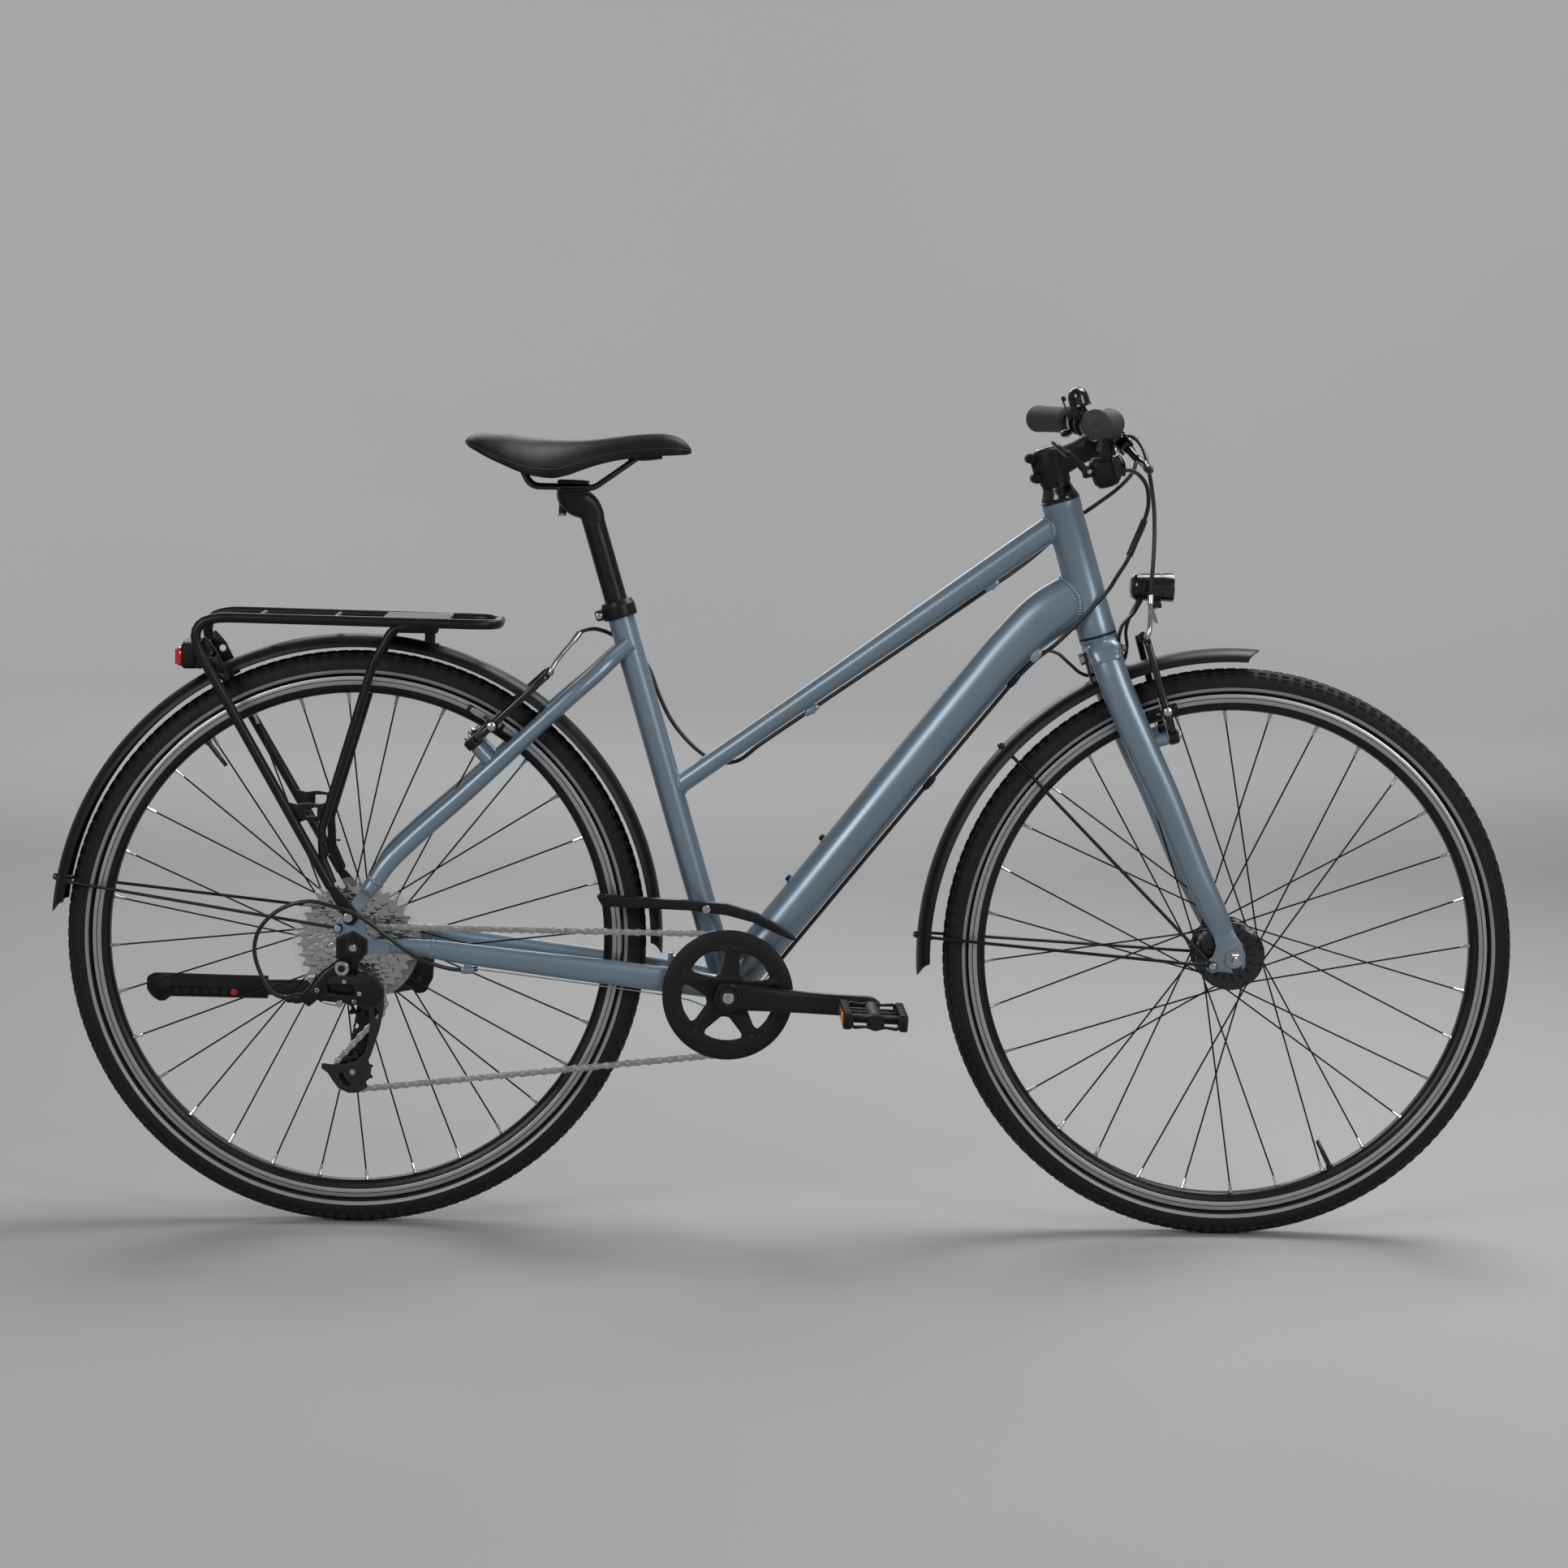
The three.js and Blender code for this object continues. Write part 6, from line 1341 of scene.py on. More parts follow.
def in_rear_brake(points):
    """The rear brake's own measures: ahead of the stay, left, and up along it."""
    x, y, z = np.asarray(points, float).T
    c, s = math.cos(BRAKE_TURN), math.sin(BRAKE_TURN)
    return in_frame(np.column_stack([BRAKE_X + x * c + z * s, y, BRAKE_Z - x * s + z * c]))


END_AXIS = np.array([0.577, 0.817])
STAY_END = np.array([2.1, 395.7])
DROPOUT = [
    (-2.8, 401), (-12.5, 389.5), (-16.8, 384), (-21.6, 378.4), (-24.4, 371.2), (-23.6, 362.5),
    (-20.4, 358), (-19, 345), (-12, 336), (-2, 334), (10, 336), (18.2, 339.8), (22, 340), (22, 358),
    (19.4, 360), (15.6, 364.6), (13.2, 371), (10.9, 378), (8.2, 386), (8.8, 393),
]
CHAINSTAY_ROWS = [
    (432, 27, 301, 17, 30), (398, 30, 306, 17, 31), (350, 35, 312, 17, 31),
    (198, 50, 331, 17, 27), (110, 59, 342.6, 16, 24), (92, 61.5, 345.6, 15.5, 21.6),
    (72, 64.6, 347.6, 15.5, 19.4), (50, 67.4, 348.8, 15, 17.8), (34, 69.6, 348.8, 11.5, 17.7),
    (14, 70.4, 348.8, 8.4, 17.6),
]
SEATSTAY_ROWS = [
    (322, 11.5, 714, 18, 20), (300, 16, 694, 18, 20), (283, 23, 677, 20, 20),
    (255, 33, 652, 21, 20), (*STAY_UPPER, 21, 20), (*STAY_LOWER, 21, 22),
    (63, 60, 473, 20, 22), (37, 65.4, 446, 18, 21.8), (24, 67.4, 426.6, 17, 20.4),
    (13.5, 68.8, 411.8, 16, 17), (-1.4, 69.8, 390.8, 12, 14),
]
PLATE_INNER, PLATE_OUTER = REAR_DROPOUT, REAR_DROPOUT + DROPOUT_THICKNESS
REAR_STUD = (-38, 44, 0)


def brake_stud(at, half, foot, root):
    """The frame's boss, its stud and the bolt that holds the left brake arm."""
    side = math.copysign(1, at)
    face, cap = at - side * 6, at + side * 6
    reach = abs(face - root)
    boss = [(0, 0), (7.2, 0), (8, 0.8), (8, reach - 1.4), (6.6, reach), (0, reach)]
    washer = [(0, 0), (7, 0), (7, 1), (4.4, 1.2), (0, 1.2)]
    return [
        (turned(boss, (root, half, foot), (side, 0, 0), 32), PAINT),
        (rod((face - side, half, foot), (cap, half, foot), 4, 20), STEEL),
        (turned(washer, (cap, half, foot), (side, 0, 0), 32), STEEL),
        (bolt((cap + side * 1.2, half, foot), (side, 0, 0), 5.0, 3.0), STEEL),
    ]


def scooped(shape, end, axis, length):
    """Mills the outer side of a stay flush with its end plate. The cut runs out in a round end."""
    points, faces = shape
    reach = (points[:, [0, 2]] - end) @ axis
    share = reach / length
    dip = 1.7 * np.sin(np.pi * np.clip(share, 0, 1))
    limit = PLATE_OUTER - 0.15 - dip + 0.5 * length * np.clip(share - 0.85, 0, None)
    points = points.copy()
    points[:, 1] = np.minimum(points[:, 1], limit)
    return points, faces


def stay_piece(name, side, rows, power, end, weld_at, nodes, extra=None):
    piece = Piece(name)
    shape = scooped(loft(rows, 40, power, per=14), *end)
    for place in weld_at:
        near = np.array(place, float)
        ring_weld(piece, shape if side > 0 else mirror(shape), 40, near * [1, side, 1], PAINT, 0.8)
    if side < 0:
        shape = mirror(shape)
    piece.add(shape, PAINT)
    if extra:
        extra(piece, side, shape)
    return piece.ride("frame", *nodes, slot="frame_paint")


def chainstay_extras(piece, side, shape):
    end = slab(soft_outline(DROPOUT, 2.4), PLATE_INNER, PLATE_OUTER, [circle(0, AXLE_Z, 5.2)], 0.8)
    piece.add(end if side > 0 else mirror(end), PAINT)
    eye = turned([(0, 0), (5.4, 0), (5.4, 0.7), (0, 0.7)], (-19, 73.4, 371), (0, 1, 0), 24, bend=0.3)
    piece.add(eye if side > 0 else mirror(eye), PAINT)
    weld(piece, shape, 40, AT_SHELL, PAINT, from_end=False, size=0.9)
    if side > 0:
        bar = loft([(386, -30, 318, 11, 11), (382.5, 0, 318, 10, 10), (386, 30, 318, 11, 11)],
                   24, sideways=(1, 0, 0), per=6)
        piece.add(bar, PAINT)
        piece.add(block((375.6, 382), (-9, 9), (314, 338), 1.2), PAINT)
        piece.add(bolt((381.8, 0, 330), (1, 0, 0), 4.2, 2.6), STEEL)
    else:
        piece.add(loft([(142, -57, 320, 7.6, 7), (140, -57.2, 320, 9, 8.6), (130, -58.4, 320, 9, 8.6),
                        (128, -58.6, 320, 7.6, 7)], 20, 3, per=3, round_ends=1), PAINT)
        piece.add(loft([(135, -57.5, 331, 6, 8), (135, -58, 322, 6, 8)], 16, 3, per=3), PAINT)


def seatstay_extras(piece, side, shape):
    weld(piece, shape, 40, AT_SEAT, PAINT, from_end=False, size=0.85)
    for stud, paint in brake_stud(*REAR_STUD, -6):
        piece.add(stud if side > 0 else mirror(stud), paint, in_rear_brake)


for side, label in ((1, "left"), (-1, "right")):
    stay_piece(f"chainstay_{label}_forged", side, CHAINSTAY_ROWS, 2.4,
               (np.array([18.0, 348.8]), np.array([1.0, 0.0]), 28), [(92, 61.5, 345.6)],
               [f"chainstay_{label}"], chainstay_extras)
    stay_piece(f"seatstay_{label}_drawn", side, SEATSTAY_ROWS, 2.1,
               (STAY_END, END_AXIS, 22), [(24, 67.4, 426.6)],
               [f"seatstay_{label}"], seatstay_extras)

# %% [markdown]
# The fork is aluminium too: two oval legs, which sweep forward to carry the axle, below a
# boxy crown. Its ends are forged hooks with an eyelet behind. All of it is drawn in steering
# measures, standing upright, and leans with the head tube.

# %% Fork
CROWN_BOLT = 396
FRONT_STUD = (51.5, 41, 280)
fork = Piece("fork_forged", in_steering)
fork.pair(loft([
    (0, 24, 409, 20, 20), (0, 27, 404, 26, 30), (0, 31, 396, 30, 38), (1, 38, 366, 29, 39),
    (12, 47.5, 275, 26, 38),
    (22.3, 50, 210, 25, 36), (33.3, 53, 115, 23, 33), (42, 54, 62, 18, 30), (47, 53.2, 30, 6, 26),
], 40, 2.1, per=8), PAINT)
fork.add(loft([
    (0, -43.6, 387, 30, 12), (0, -41, 391, 34, 17), (0, -30, 398, 41, 31),
    (0, 0, 400.5, 41, 35), (0, 30, 398, 41, 31), (0, 41, 391, 34, 17), (0, 43.6, 387, 30, 12),
], 48, 3.4, (1, 0, 0), 8), PAINT)
fork.add(turned([
    (0, 405), (21, 405), (21.4, 408), (23.2, 414), (23.5, 416.8), (23.5, 417.4), (0, 417.4),
], axis=(0, 0, 1), sides=72), PAINT)
fork.add(turned([(0, 417.2), (22.6, 417.2), (23.1, 417.6), (23.1, 419.5), (0, 419.7)],
                axis=(0, 0, 1), sides=72), SATIN)
fork.add(rod((0, 0, 419), (0, 0, 639), 14.3, 40), STEEL)
AXLE_SLOT = [(FORK_RAKE + 5.7 * math.cos(t), 5.7 * math.sin(t))
             for t in np.radians([0, 30, 60, 90, 120, 150, 180])]
FORK_END = [
    *bent([(56, -16, 0), (61, -12, 0), (65, 2, 0), (63, 18, 0), (58, 36, 0), (35, 40, 0),
           (33, 20, 0), (26, 10, 0), (16, 6, 0), (15, -3, 0), (20, -9, 0), (28, -9, 0),
           (38, -13, 0), (44.3, -16, 0)], 3, 5)[:, :2],
    *AXLE_SLOT[::-1],
]
fork.pair(slab(FORK_END, FRONT_DROPOUT, FRONT_DROPOUT + FRONT_END_THICKNESS, edge=0.9), PAINT)
fork.pair(turned([(0, 0), (5.4, 0), (5.4, 0.6), (0, 0.6)], (22.5, 56.1, -1.5), (0, 1, 0), 24), PAINT)
for stud, paint in brake_stud(*FRONT_STUD, 22):
    fork.pair(stud, paint)
fork.add(nut((-23.6, 0, CROWN_BOLT), (-1, 0, 0), 7.2, 5.6), STEEL)
fork.add(turned([(0, 0), (8, 0), (8.2, 0.6), (7.8, 1.2), (0, 1.2)], (-22.6, 0, CROWN_BOLT),
                (-1, 0, 0), 32), STEEL)
fork.add(rod((20, 0, CROWN_BOLT), (29, 0, CROWN_BOLT), 2.9, 16), STEEL)
fork.add(bolt((25.1, 0, CROWN_BOLT), (1, 0, 0), 5.5, 4.0), STEEL)
fork.ride("steering", "fork", slot="frame_paint")

# %% [markdown]
# The headset is the pair of bearings in which the fork turns. Only its upper cover shows, with
# two spacers between it and the stem. All three are turned rings about the steering axis.

# %% Headset
headset = Piece("headset_rings", in_steering)
headset.add(turned([
    (14.9, 587.3), (23.6, 587.3), (24.0, 588.2), (24.0, 589.6), (23.4, 590.4), (23.0, 590.6),
    (22.8, 593), (20.2, 598), (18.4, 603.2), (17.6, 604.6), (17.5, 605), (14.9, 605),
], axis=(0, 0, 1), sides=72, ring=True), GLOSS)
for low in (605.2, 607.8):
    spacer = [(14.9, low), (17.2, low), (17.5, low + 0.3), (17.5, low + 2.0), (17.2, low + 2.3),
              (14.9, low + 2.3)]
    headset.add(turned(spacer, axis=(0, 0, 1), sides=64, ring=True), SATIN)
headset.ride("steering", "headset", slot="satin_black")

# %% [markdown]
# The seat clamp is a split collar round the top of the seat tube, and a bolt draws its two
# ears together behind the tube. The collar is turned, and the ears are short, boxy lofts.

# %% Seat clamp
CLAMP_OUTER = SEAT_TUBE_RADIUS + 0.3 + 4.6
clamp = Piece("seat_clamp_collar")
clamp.add(turned([
    (16.2, 0), (CLAMP_OUTER - 0.8, 0), (CLAMP_OUTER, 0.8), (CLAMP_OUTER, 14.5),
    (CLAMP_OUTER - 0.8, 16), (18.2, 20.3), (17, 21), (14.2, 21), (14.2, 18.3), (16.2, 18.3),
], on_seat(SEAT_TUBE_LENGTH - 18), SEAT_AXIS, 72, ring=True, bend=0.3), SATIN)
CLAMP_MIDDLE = SEAT_TUBE_LENGTH - 9
for side in (-1, 1):
    clamp.add(loft([
        (*on_seat(CLAMP_MIDDLE, side * 1.2, -CLAMP_OUTER - 2.6), 12, 13),
        (*on_seat(CLAMP_MIDDLE, side * 8.6, -CLAMP_OUTER - 2.6), 12, 13),
    ], 24, 3.2, (math.sin(SEAT_ANGLE), 0, math.cos(SEAT_ANGLE)), 3, 0.6), SATIN)
clamp.add(rod(on_seat(CLAMP_MIDDLE, -9, -CLAMP_OUTER - 4), on_seat(CLAMP_MIDDLE, 9, -CLAMP_OUTER - 4),
              2.6), STEEL)
clamp.add(bolt(on_seat(CLAMP_MIDDLE, -9, -CLAMP_OUTER - 4), (0, -1, 0), 4.2, 3.2), STEEL)
clamp.add(nut(on_seat(CLAMP_MIDDLE, 9, -CLAMP_OUTER - 4), (0, 1, 0), 4.2, 3.0), STEEL)
clamp.ride("frame", "seat_clamp", slot="satin_black")

# %% [markdown]
# The drive. A sprocket is a stamped plate with round-bottomed teeth, cut as one outline. The
# cassette is eight of them on a core, with black spacers between them that are painted shade
# between the sprockets, and a ring of holes in the larger ones. The chain is laid on a belt
# path: arcs on the wheels and straight runs between, walked in steps of one link, with wide
# and narrow plates in turn and a pin at each step.

# %% Sprockets
PITCH = 12.7
COG_TEETH = (11, 13, 15, 18, 21, 24, 28, 34)
COG_PLANE, COG_STEP, COG_HALF = -62, 4.8, 0.9
RING_TEETH, RING_PLANE = 36, -46
SMALLEST_DRILLED = 21
PULLEY_TEETH = 11
ROLLER = 3.9


def pitch_radius(teeth):
    return PITCH / (2 * math.sin(math.pi / teeth))


def toothed(teeth, turn=0.0, tip=2.3):
    """The outline of a sprocket about the origin. Each tooth is walked from valley to valley."""
    pitch, step = pitch_radius(teeth), TAU / teeth
    walk = ((0, -ROLLER), (0.17, -3.2), (0.28, -1.0), (0.38, 1.3), (0.46, tip),
            (0.54, tip), (0.62, 1.3), (0.72, -1.0), (0.83, -3.2))
    return [((pitch + out) * np.array([math.cos(a), math.sin(a)]))
            for i in range(teeth) for share, out in walk
            for a in [turn + step * (i + share)]]


cassette = Piece("cassette_sprockets")
for i, teeth in enumerate(COG_TEETH):
    middle = COG_PLANE + COG_STEP * i
    outer = pitch_radius(teeth) - ROLLER
    holes = [circle(0, 0, 15.5, 40)]
    if teeth >= SMALLEST_DRILLED:
        count = 12 if i == len(COG_TEETH) - 1 else 8
        reach = (outer + 19) / 2 + 1
        size = min(4.6, (outer - 20) * 0.27)
        holes += [circle(reach * math.cos(t), reach * math.sin(t), size, 16)
                  for t in TAU * (np.arange(count) + 0.3 * i) / count]
    cog = slab(toothed(teeth, 0.05 * i), middle - COG_HALF, middle + COG_HALF, holes, 0.25)
    cassette.add(moved(cog, *REAR_AXLE), COG)
    if i < len(COG_TEETH) - 1:
        # The spacer between two sprockets is black: painted shade between them.
        cassette.add(turned([(15.5, 0.9), (18.2, 0.9), (18.2, 3.9), (15.5, 3.9)],
                            (0, middle, AXLE_Z), ring=True), SHADE_AND_SEAM)
cassette.add(turned([(5.4, -65), (9, -65), (10, -64.4), (14.6, -64.4), (15.4, -63.6), (15.4, -26.8),
                     (5.4, -26.8)], REAR_AXLE, ring=True), COG)
# The lockring's notches are small black blocks: painted shade in the notches.
notch_shade = block((9.6, 12.6), (-64.9, -64.1), (-0.9, 0.9), 0.3, 1)
cassette.add(ringed(notch_shade, 12, SHADE_AND_SEAM, REAR_AXLE), SHADE_AND_SEAM)
cassette.ride("sprockets", "cassette", slot="bright_metal", crease=28)

# %% [markdown]
# A chain could be hung by a simulation, but under tension it lies on one exact line: an arc on
# each wheel and a straight tangent between two wheels. So the line is worked out, and then
# walked in even steps. Links come in pairs, so the number of steps is even.

# %% The chain's path
GUIDE_PULLEY, TENSION_PULLEY = (15, 279), (0, 196)
CHAIN_WHEELS = [
    (BRACKET_X, BRACKET_Z, pitch_radius(RING_TEETH), 1, RING_PLANE),
    (0, AXLE_Z, pitch_radius(COG_TEETH[0]), 1, COG_PLANE),
    (*GUIDE_PULLEY, pitch_radius(PULLEY_TEETH), -1, COG_PLANE),
    (*TENSION_PULLEY, pitch_radius(PULLEY_TEETH), 1, COG_PLANE),
]


def belt_path(wheels):
    """The pitch line round wheels (x, z, radius, turn, y), wrapped in the sense of each turn."""
    runs = []
    for wheel, after in zip(wheels, wheels[1:] + wheels[:1]):
        x, z, r, turn, _ = wheel
        next_x, next_z, next_r, next_turn, _ = after
        span = math.hypot(next_x - x, next_z - z)
        lean = math.atan2(next_z - z, next_x - x) + math.asin((turn * r - next_turn * next_r) / span)
        out = np.array([math.sin(lean), -math.cos(lean)])
        leave = np.array([x, z]) + out * turn * r
        arrive = np.array([next_x, next_z]) + out * next_turn * next_r
        runs.append((leave, arrive))
    path = []
    for i, (x, z, r, turn, y) in enumerate(wheels):
        arrive, leave = runs[i - 1][1], runs[i][0]
        start = math.atan2(arrive[1] - z, arrive[0] - x)
        end = math.atan2(leave[1] - z, leave[0] - x)
        swept = (end - start) % TAU if turn > 0 else -((start - end) % TAU)
        path += [(x + r * math.cos(start + swept * t), y, z + r * math.sin(start + swept * t))
                 for t in np.linspace(0, 1, 60)]
    return np.array(path)


path = belt_path(CHAIN_WHEELS)
closed = np.vstack([path, path[:1]])
length = np.concatenate([[0], np.cumsum(np.linalg.norm(np.diff(closed, axis=0), axis=1))])
links = 2 * round(length[-1] / PITCH / 2)
steps = length[-1] * np.arange(links) / links
pins = np.column_stack([np.interp(steps, length, closed[:, axis]) for axis in range(3)])
print(links, "links over", round(length[-1]), "mm of chain")


def side_plate(low, high, tall):
    """A figure-of-eight side plate, one link long, centred between its pins."""
    half, waist = PITCH / 2, tall * 0.36
    turn = np.linspace(-2.2, 2.2, 11)
    right = [(half + tall / 2 * math.cos(t), tall / 2 * math.sin(t)) for t in turn]
    left = [(-x, -z) for x, z in right]
    outline = right + [(0, waist)] + left + [(0, -waist)]
    return slab(outline, low, high, edge=0.2)


def link_places(first):
    """Middles, directions and normals of every other link."""
    after = np.roll(pins, -1, axis=0)
    middles = ((pins + after) / 2)[first::2]
    along = (after - pins)[first::2]
    out = np.array([np.cross(a, (0, 1, 0)) for a in along])
    return middles, along, out


chain = Piece("chain_links")
for first, inner, outer, tall in ((0, 2.45, 3.4, 8.2), (1, 1.5, 2.35, 7.8)):
    middles, along, out = link_places(first)
    for low, high in ((inner, outer), (-outer, -inner)):
        plate = side_plate(low, high, tall)
        chain.add(strung(plate, middles, along, out, CHAIN), CHAIN)
pin_along = directions(pins, closed=True)
pin_out = np.array([np.cross(a, (0, 1, 0)) for a in pin_along])
roller = turned([(0, -1.4), (ROLLER - 0.1, -1.4), (ROLLER - 0.1, 1.4), (0, 1.4)], sides=12)
rivet = turned([(0, -3.75), (1.3, -3.75), (1.7, -3.5), (1.7, 3.5), (1.3, 3.75), (0, 3.75)], sides=10)
chain.add(strung(roller, pins, pin_along, pin_out, CHAIN), CHAIN)
chain.add(strung(rivet, pins, pin_along, pin_out, STEEL), STEEL)
chain.ride("frame", "chain", slot="bright_metal")

# %% [markdown]
# The crank arms are forged, wide and flat at the boss and slimmer at the pedal, with a
# softened edge that catches the light. The guard disc is a moulded plate outside the teeth,
# with five rounded windows. Both cranks are drawn level and then turned by their droop.

# %% Chainring and cranks
CRANK_LENGTH = 170
CRANK_DROOP = math.radians(2)
ARM_ROOT = 54
BRACKET = np.array([BRACKET_X, 0, BRACKET_Z])


def in_arm(turn):
    """Measures along a crank arm: out along it, left, up. The turn is from forward towards up."""
    def place(points):
        points, faces = turned_about_y((points, []), turn)
        return in_frame(points + BRACKET)
    return place


IN_RIGHT_ARM, IN_LEFT_ARM = in_arm(-CRANK_DROOP), in_arm(math.pi - CRANK_DROOP)


def guard_window(middle):
    corners = ((-0.43, 55), (0, 58.5), (0.43, 55), (0.45, 49), (0.17, 27), (-0.17, 27), (-0.45, 49))
    return soft_outline([(r * math.cos(middle + t), r * math.sin(middle + t)) for t, r in corners], 6)


ring = Piece("chainring_and_guard", IN_RIGHT_ARM)
windows = [guard_window(TAU * (i + 0.7) / 5) for i in range(5)]
bore = circle(0, 0, 17, 40)
ring.add(slab(circle(0, 0, 79, 120), -53.6, -50.2, [bore, *windows], 0.9), MATTE)
ring.add(turned([(62, -53.5), (63, -54.2), (76, -54.2), (77.4, -53.5)], ring=True, sides=120), MATTE)
ring.add(turned([(61.4, -53.6), (61.4, -54.3), (62.6, -54.3), (62.6, -53.6)], ring=True, sides=120), GLOSS)
ring.add(slab(toothed(RING_TEETH), -46.9, -45.1, [circle(0, 0, 56, 80)], 0.25), STEEL)
ring.add(turned([(56, -50.4), (62, -50.4), (62, -46.8), (56, -46.8)], ring=True, sides=80), SATIN)
for i in range(5):
    at = TAU * (i + 0.2) / 5
    ring.add(rod((57.5 * math.cos(at), -44.4, 57.5 * math.sin(at)),
                 (57.5 * math.cos(at), -55.0, 57.5 * math.sin(at)), 3.6, 20), GLOSS)
ring.ride("crankset", "chainring", slot="black_plastic", crease=28)


def crank_shapes():
    """The left arm and its boss, as (shape, finish) pairs, for the pedal side y > 0."""
    arm = loft([
        (-2, ARM_ROOT + 10.5, 0, 20, 33), (12, ARM_ROOT + 11.5, 0, 17, 32), (34, ARM_ROOT + 13, 0, 15, 30),
        (120, 82, 0, 13.4, 25), (165, 84, 0, 13.4, 25), (174, 84, 0, 13.2, 22), (180, 84, 0, 12.6, 14),
    ], 56, 4.2, per=8, round_ends=1.5)
    boss = turned([(8.4, 0), (15.6, 0), (17, 1.4), (17.4, 16), (17.4, 22.4), (16.2, 24), (12.6, 24),
                   (12, 23), (11.4, 21.4), (8.4, 21.4)], (0, ARM_ROOT, 0), ring=True, bend=0.5)
    # The well in the boss is a black disc: painted shade in the recess under the cap.
    well_shade = turned([(0, 20.8), (11.6, 20.8), (11.6, 21.6), (0, 21.6)], (0, ARM_ROOT, 0), sides=48)
    cap = bolt((0, ARM_ROOT + 21.4, 0), (0, 1, 0), 7.4, 3.8, 0.46, 0.8)
    washer = turned([(7.4, 21.4), (8.9, 21.4), (8.9, 22.4), (7.4, 22.4)], (0, ARM_ROOT, 0), ring=True,
                    sides=40)
    eye = turned([(0, 0), (9.4, 0), (9.8, 0.4), (9.8, 0.9), (0, 0.9)], (CRANK_LENGTH, 90.4, 0), sides=40)
    pin = rod((CRANK_LENGTH, 88, 0), (CRANK_LENGTH, 187, 0), 4.2, 20)
    collar = turned([(4, 0), (8.2, 0), (8.6, 0.5), (8.6, 3.6), (4, 3.6)], (CRANK_LENGTH, 91.4, 0),
                    ring=True, sides=32)
    flats = nut((CRANK_LENGTH, 95, 0), (0, 1, 0), 7.6, 4.6, 4.1)
    return [(arm, SATIN), (boss, SATIN), (well_shade, SHADE_AND_SEAM), (cap, STEEL), (washer, GLOSS), (eye, SATIN),
            (pin, STEEL), (collar, STEEL), (flats, STEEL)]


right_crank = Piece("crank_right_forged", IN_RIGHT_ARM)
left_crank = Piece("crank_left_forged", IN_LEFT_ARM)
for shape, paint in crank_shapes():
    right_crank.add(mirror(shape), paint)
    left_crank.add(shape, paint)
right_crank.add(rod((0, -ARM_ROOT - 5, 0), (0, ARM_ROOT + 10, 0), 8, 40), STEEL)
right_crank.add(turned([(7.9, -58), (15.6, -58), (16, -57.4), (16, -44.6), (15.4, -44), (7.9, -44)],
                       ring=True), SATIN)
right_crank.ride("crankset", "crank_right", slot="satin_black")
left_crank.ride("crankset", "crank_left", slot="satin_black")

# %% [markdown]
# A resin pedal is a barrel on an axle, held in an open cage with toothed treads and a
# reflector on each long side. It is drawn once about its own middle, from bevelled blocks and
# cut plates, and then moved out along each crank arm.

# %% Pedals
PEDAL_MIDDLE, PEDAL_BAR = 150, 33


def pedal_shapes():
    """A resin pedal about its own middle: barrel, toothed tread bars, cheeks, webs, reflectors."""
    shapes = [(turned([(4.9, -46), (8.6, -46), (9.4, -45), (9.0, -30), (8.4, 0), (9.0, 30), (10.4, 36),
                       (10.8, 43), (9.6, 46.6), (5, 48.4), (4.9, 44)], sides=32, ring=True), MATTE)]
    for side in (-1, 1):
        bar_at = side * PEDAL_BAR
        shapes.append((block((bar_at - 4.4, bar_at + 4.4), (-48, 48), (-7.4, 7.4), 1.6), MATTE))
        for row in range(9):
            at = -44 + 11 * row
            tooth = block((bar_at - 4.8, bar_at + 4.8), (at - 2.8, at + 2.8), (-10, 10), 1.6)
            shapes.append((tooth, MATTE))
        face = side * 37.2
        shapes.append((block(sorted((face, face + side * 1.6)), (-38, 38), (-5.4, 5.4), 0.7), AMBER))
        cheek = [(-33, -6), (-24, -8.6), (-12, -7), (0, -9.6), (12, -7), (24, -8.6), (33, -6),
                 (33, 6), (24, 8.6), (12, 7), (0, 9.6), (-12, 7), (-24, 8.6), (-33, 6)]
        holes = [soft_outline([(s * 6, -4), (s * 26, -5), (s * 26, 5), (s * 6, 4)], 2)
                 for s in (-1, 1)]
        low, high = sorted((side * 42.4, side * 49.4))
        shapes.append((slab(soft_outline(cheek, 3), low, high, holes, 1.0), MATTE))
    for at in (-22, 0, 22):
        shapes.append((block((-30, 30), (at - 2.6, at + 2.6), (-5.2, 5.2), 1.2), MATTE))
    return shapes


for label, side, place in (("right", -1, IN_RIGHT_ARM), ("left", 1, IN_LEFT_ARM)):
    pedal = Piece(f"pedal_{label}_resin", place)
    for shape, paint in pedal_shapes():
        shape = shape if side > 0 else mirror(shape)
        pedal.add(moved(shape, CRANK_LENGTH, side * PEDAL_MIDDLE), paint)
    pedal.ride(f"{label}_pedal", f"pedal_{label}", slot="black_plastic")

# %% [markdown]
# The derailleur hangs from a replaceable plate behind the axle nut. Its body holds the cable
# stop and two sprung links that reach forward to the knuckle, and the knuckle carries the cage
# with its two toothed pulleys. Bright bolts and screws mark each pivot.

# %% Derailleur
CAGE_OUTER, CAGE_INNER = COG_PLANE - 4.6, COG_PLANE + 4.6
HANGER_FACE = -73.8
derailleur = Piece("derailleur_forged")
hanger = soft_outline([(-20.6, 359.5), (-0.4, 368), (16.3, 358), (16.5, 342), (8, 331), (4, 315),
                       (-9, 312), (-21, 318), (-20.5, 335)], 2)
derailleur.add(slab(hanger, HANGER_FACE - HANGER_THICKNESS, HANGER_FACE, [circle(0, AXLE_Z, 5.3)], 0.6),
               SATIN)
MOUNT = (-12.6, 325)
derailleur.add(rod((MOUNT[0], -72, MOUNT[1]), (MOUNT[0], -92.6, MOUNT[1]), 10.6, 40, 1.0), SATIN)
derailleur.add(turned([(4.4, 0), (8.6, 0), (9, 0.5), (8.8, 2.6), (7.6, 3.4), (4.4, 3.0)],
                      (MOUNT[0], -92.4, MOUNT[1]), (0, -1, 0), 40, ring=True), STEEL)
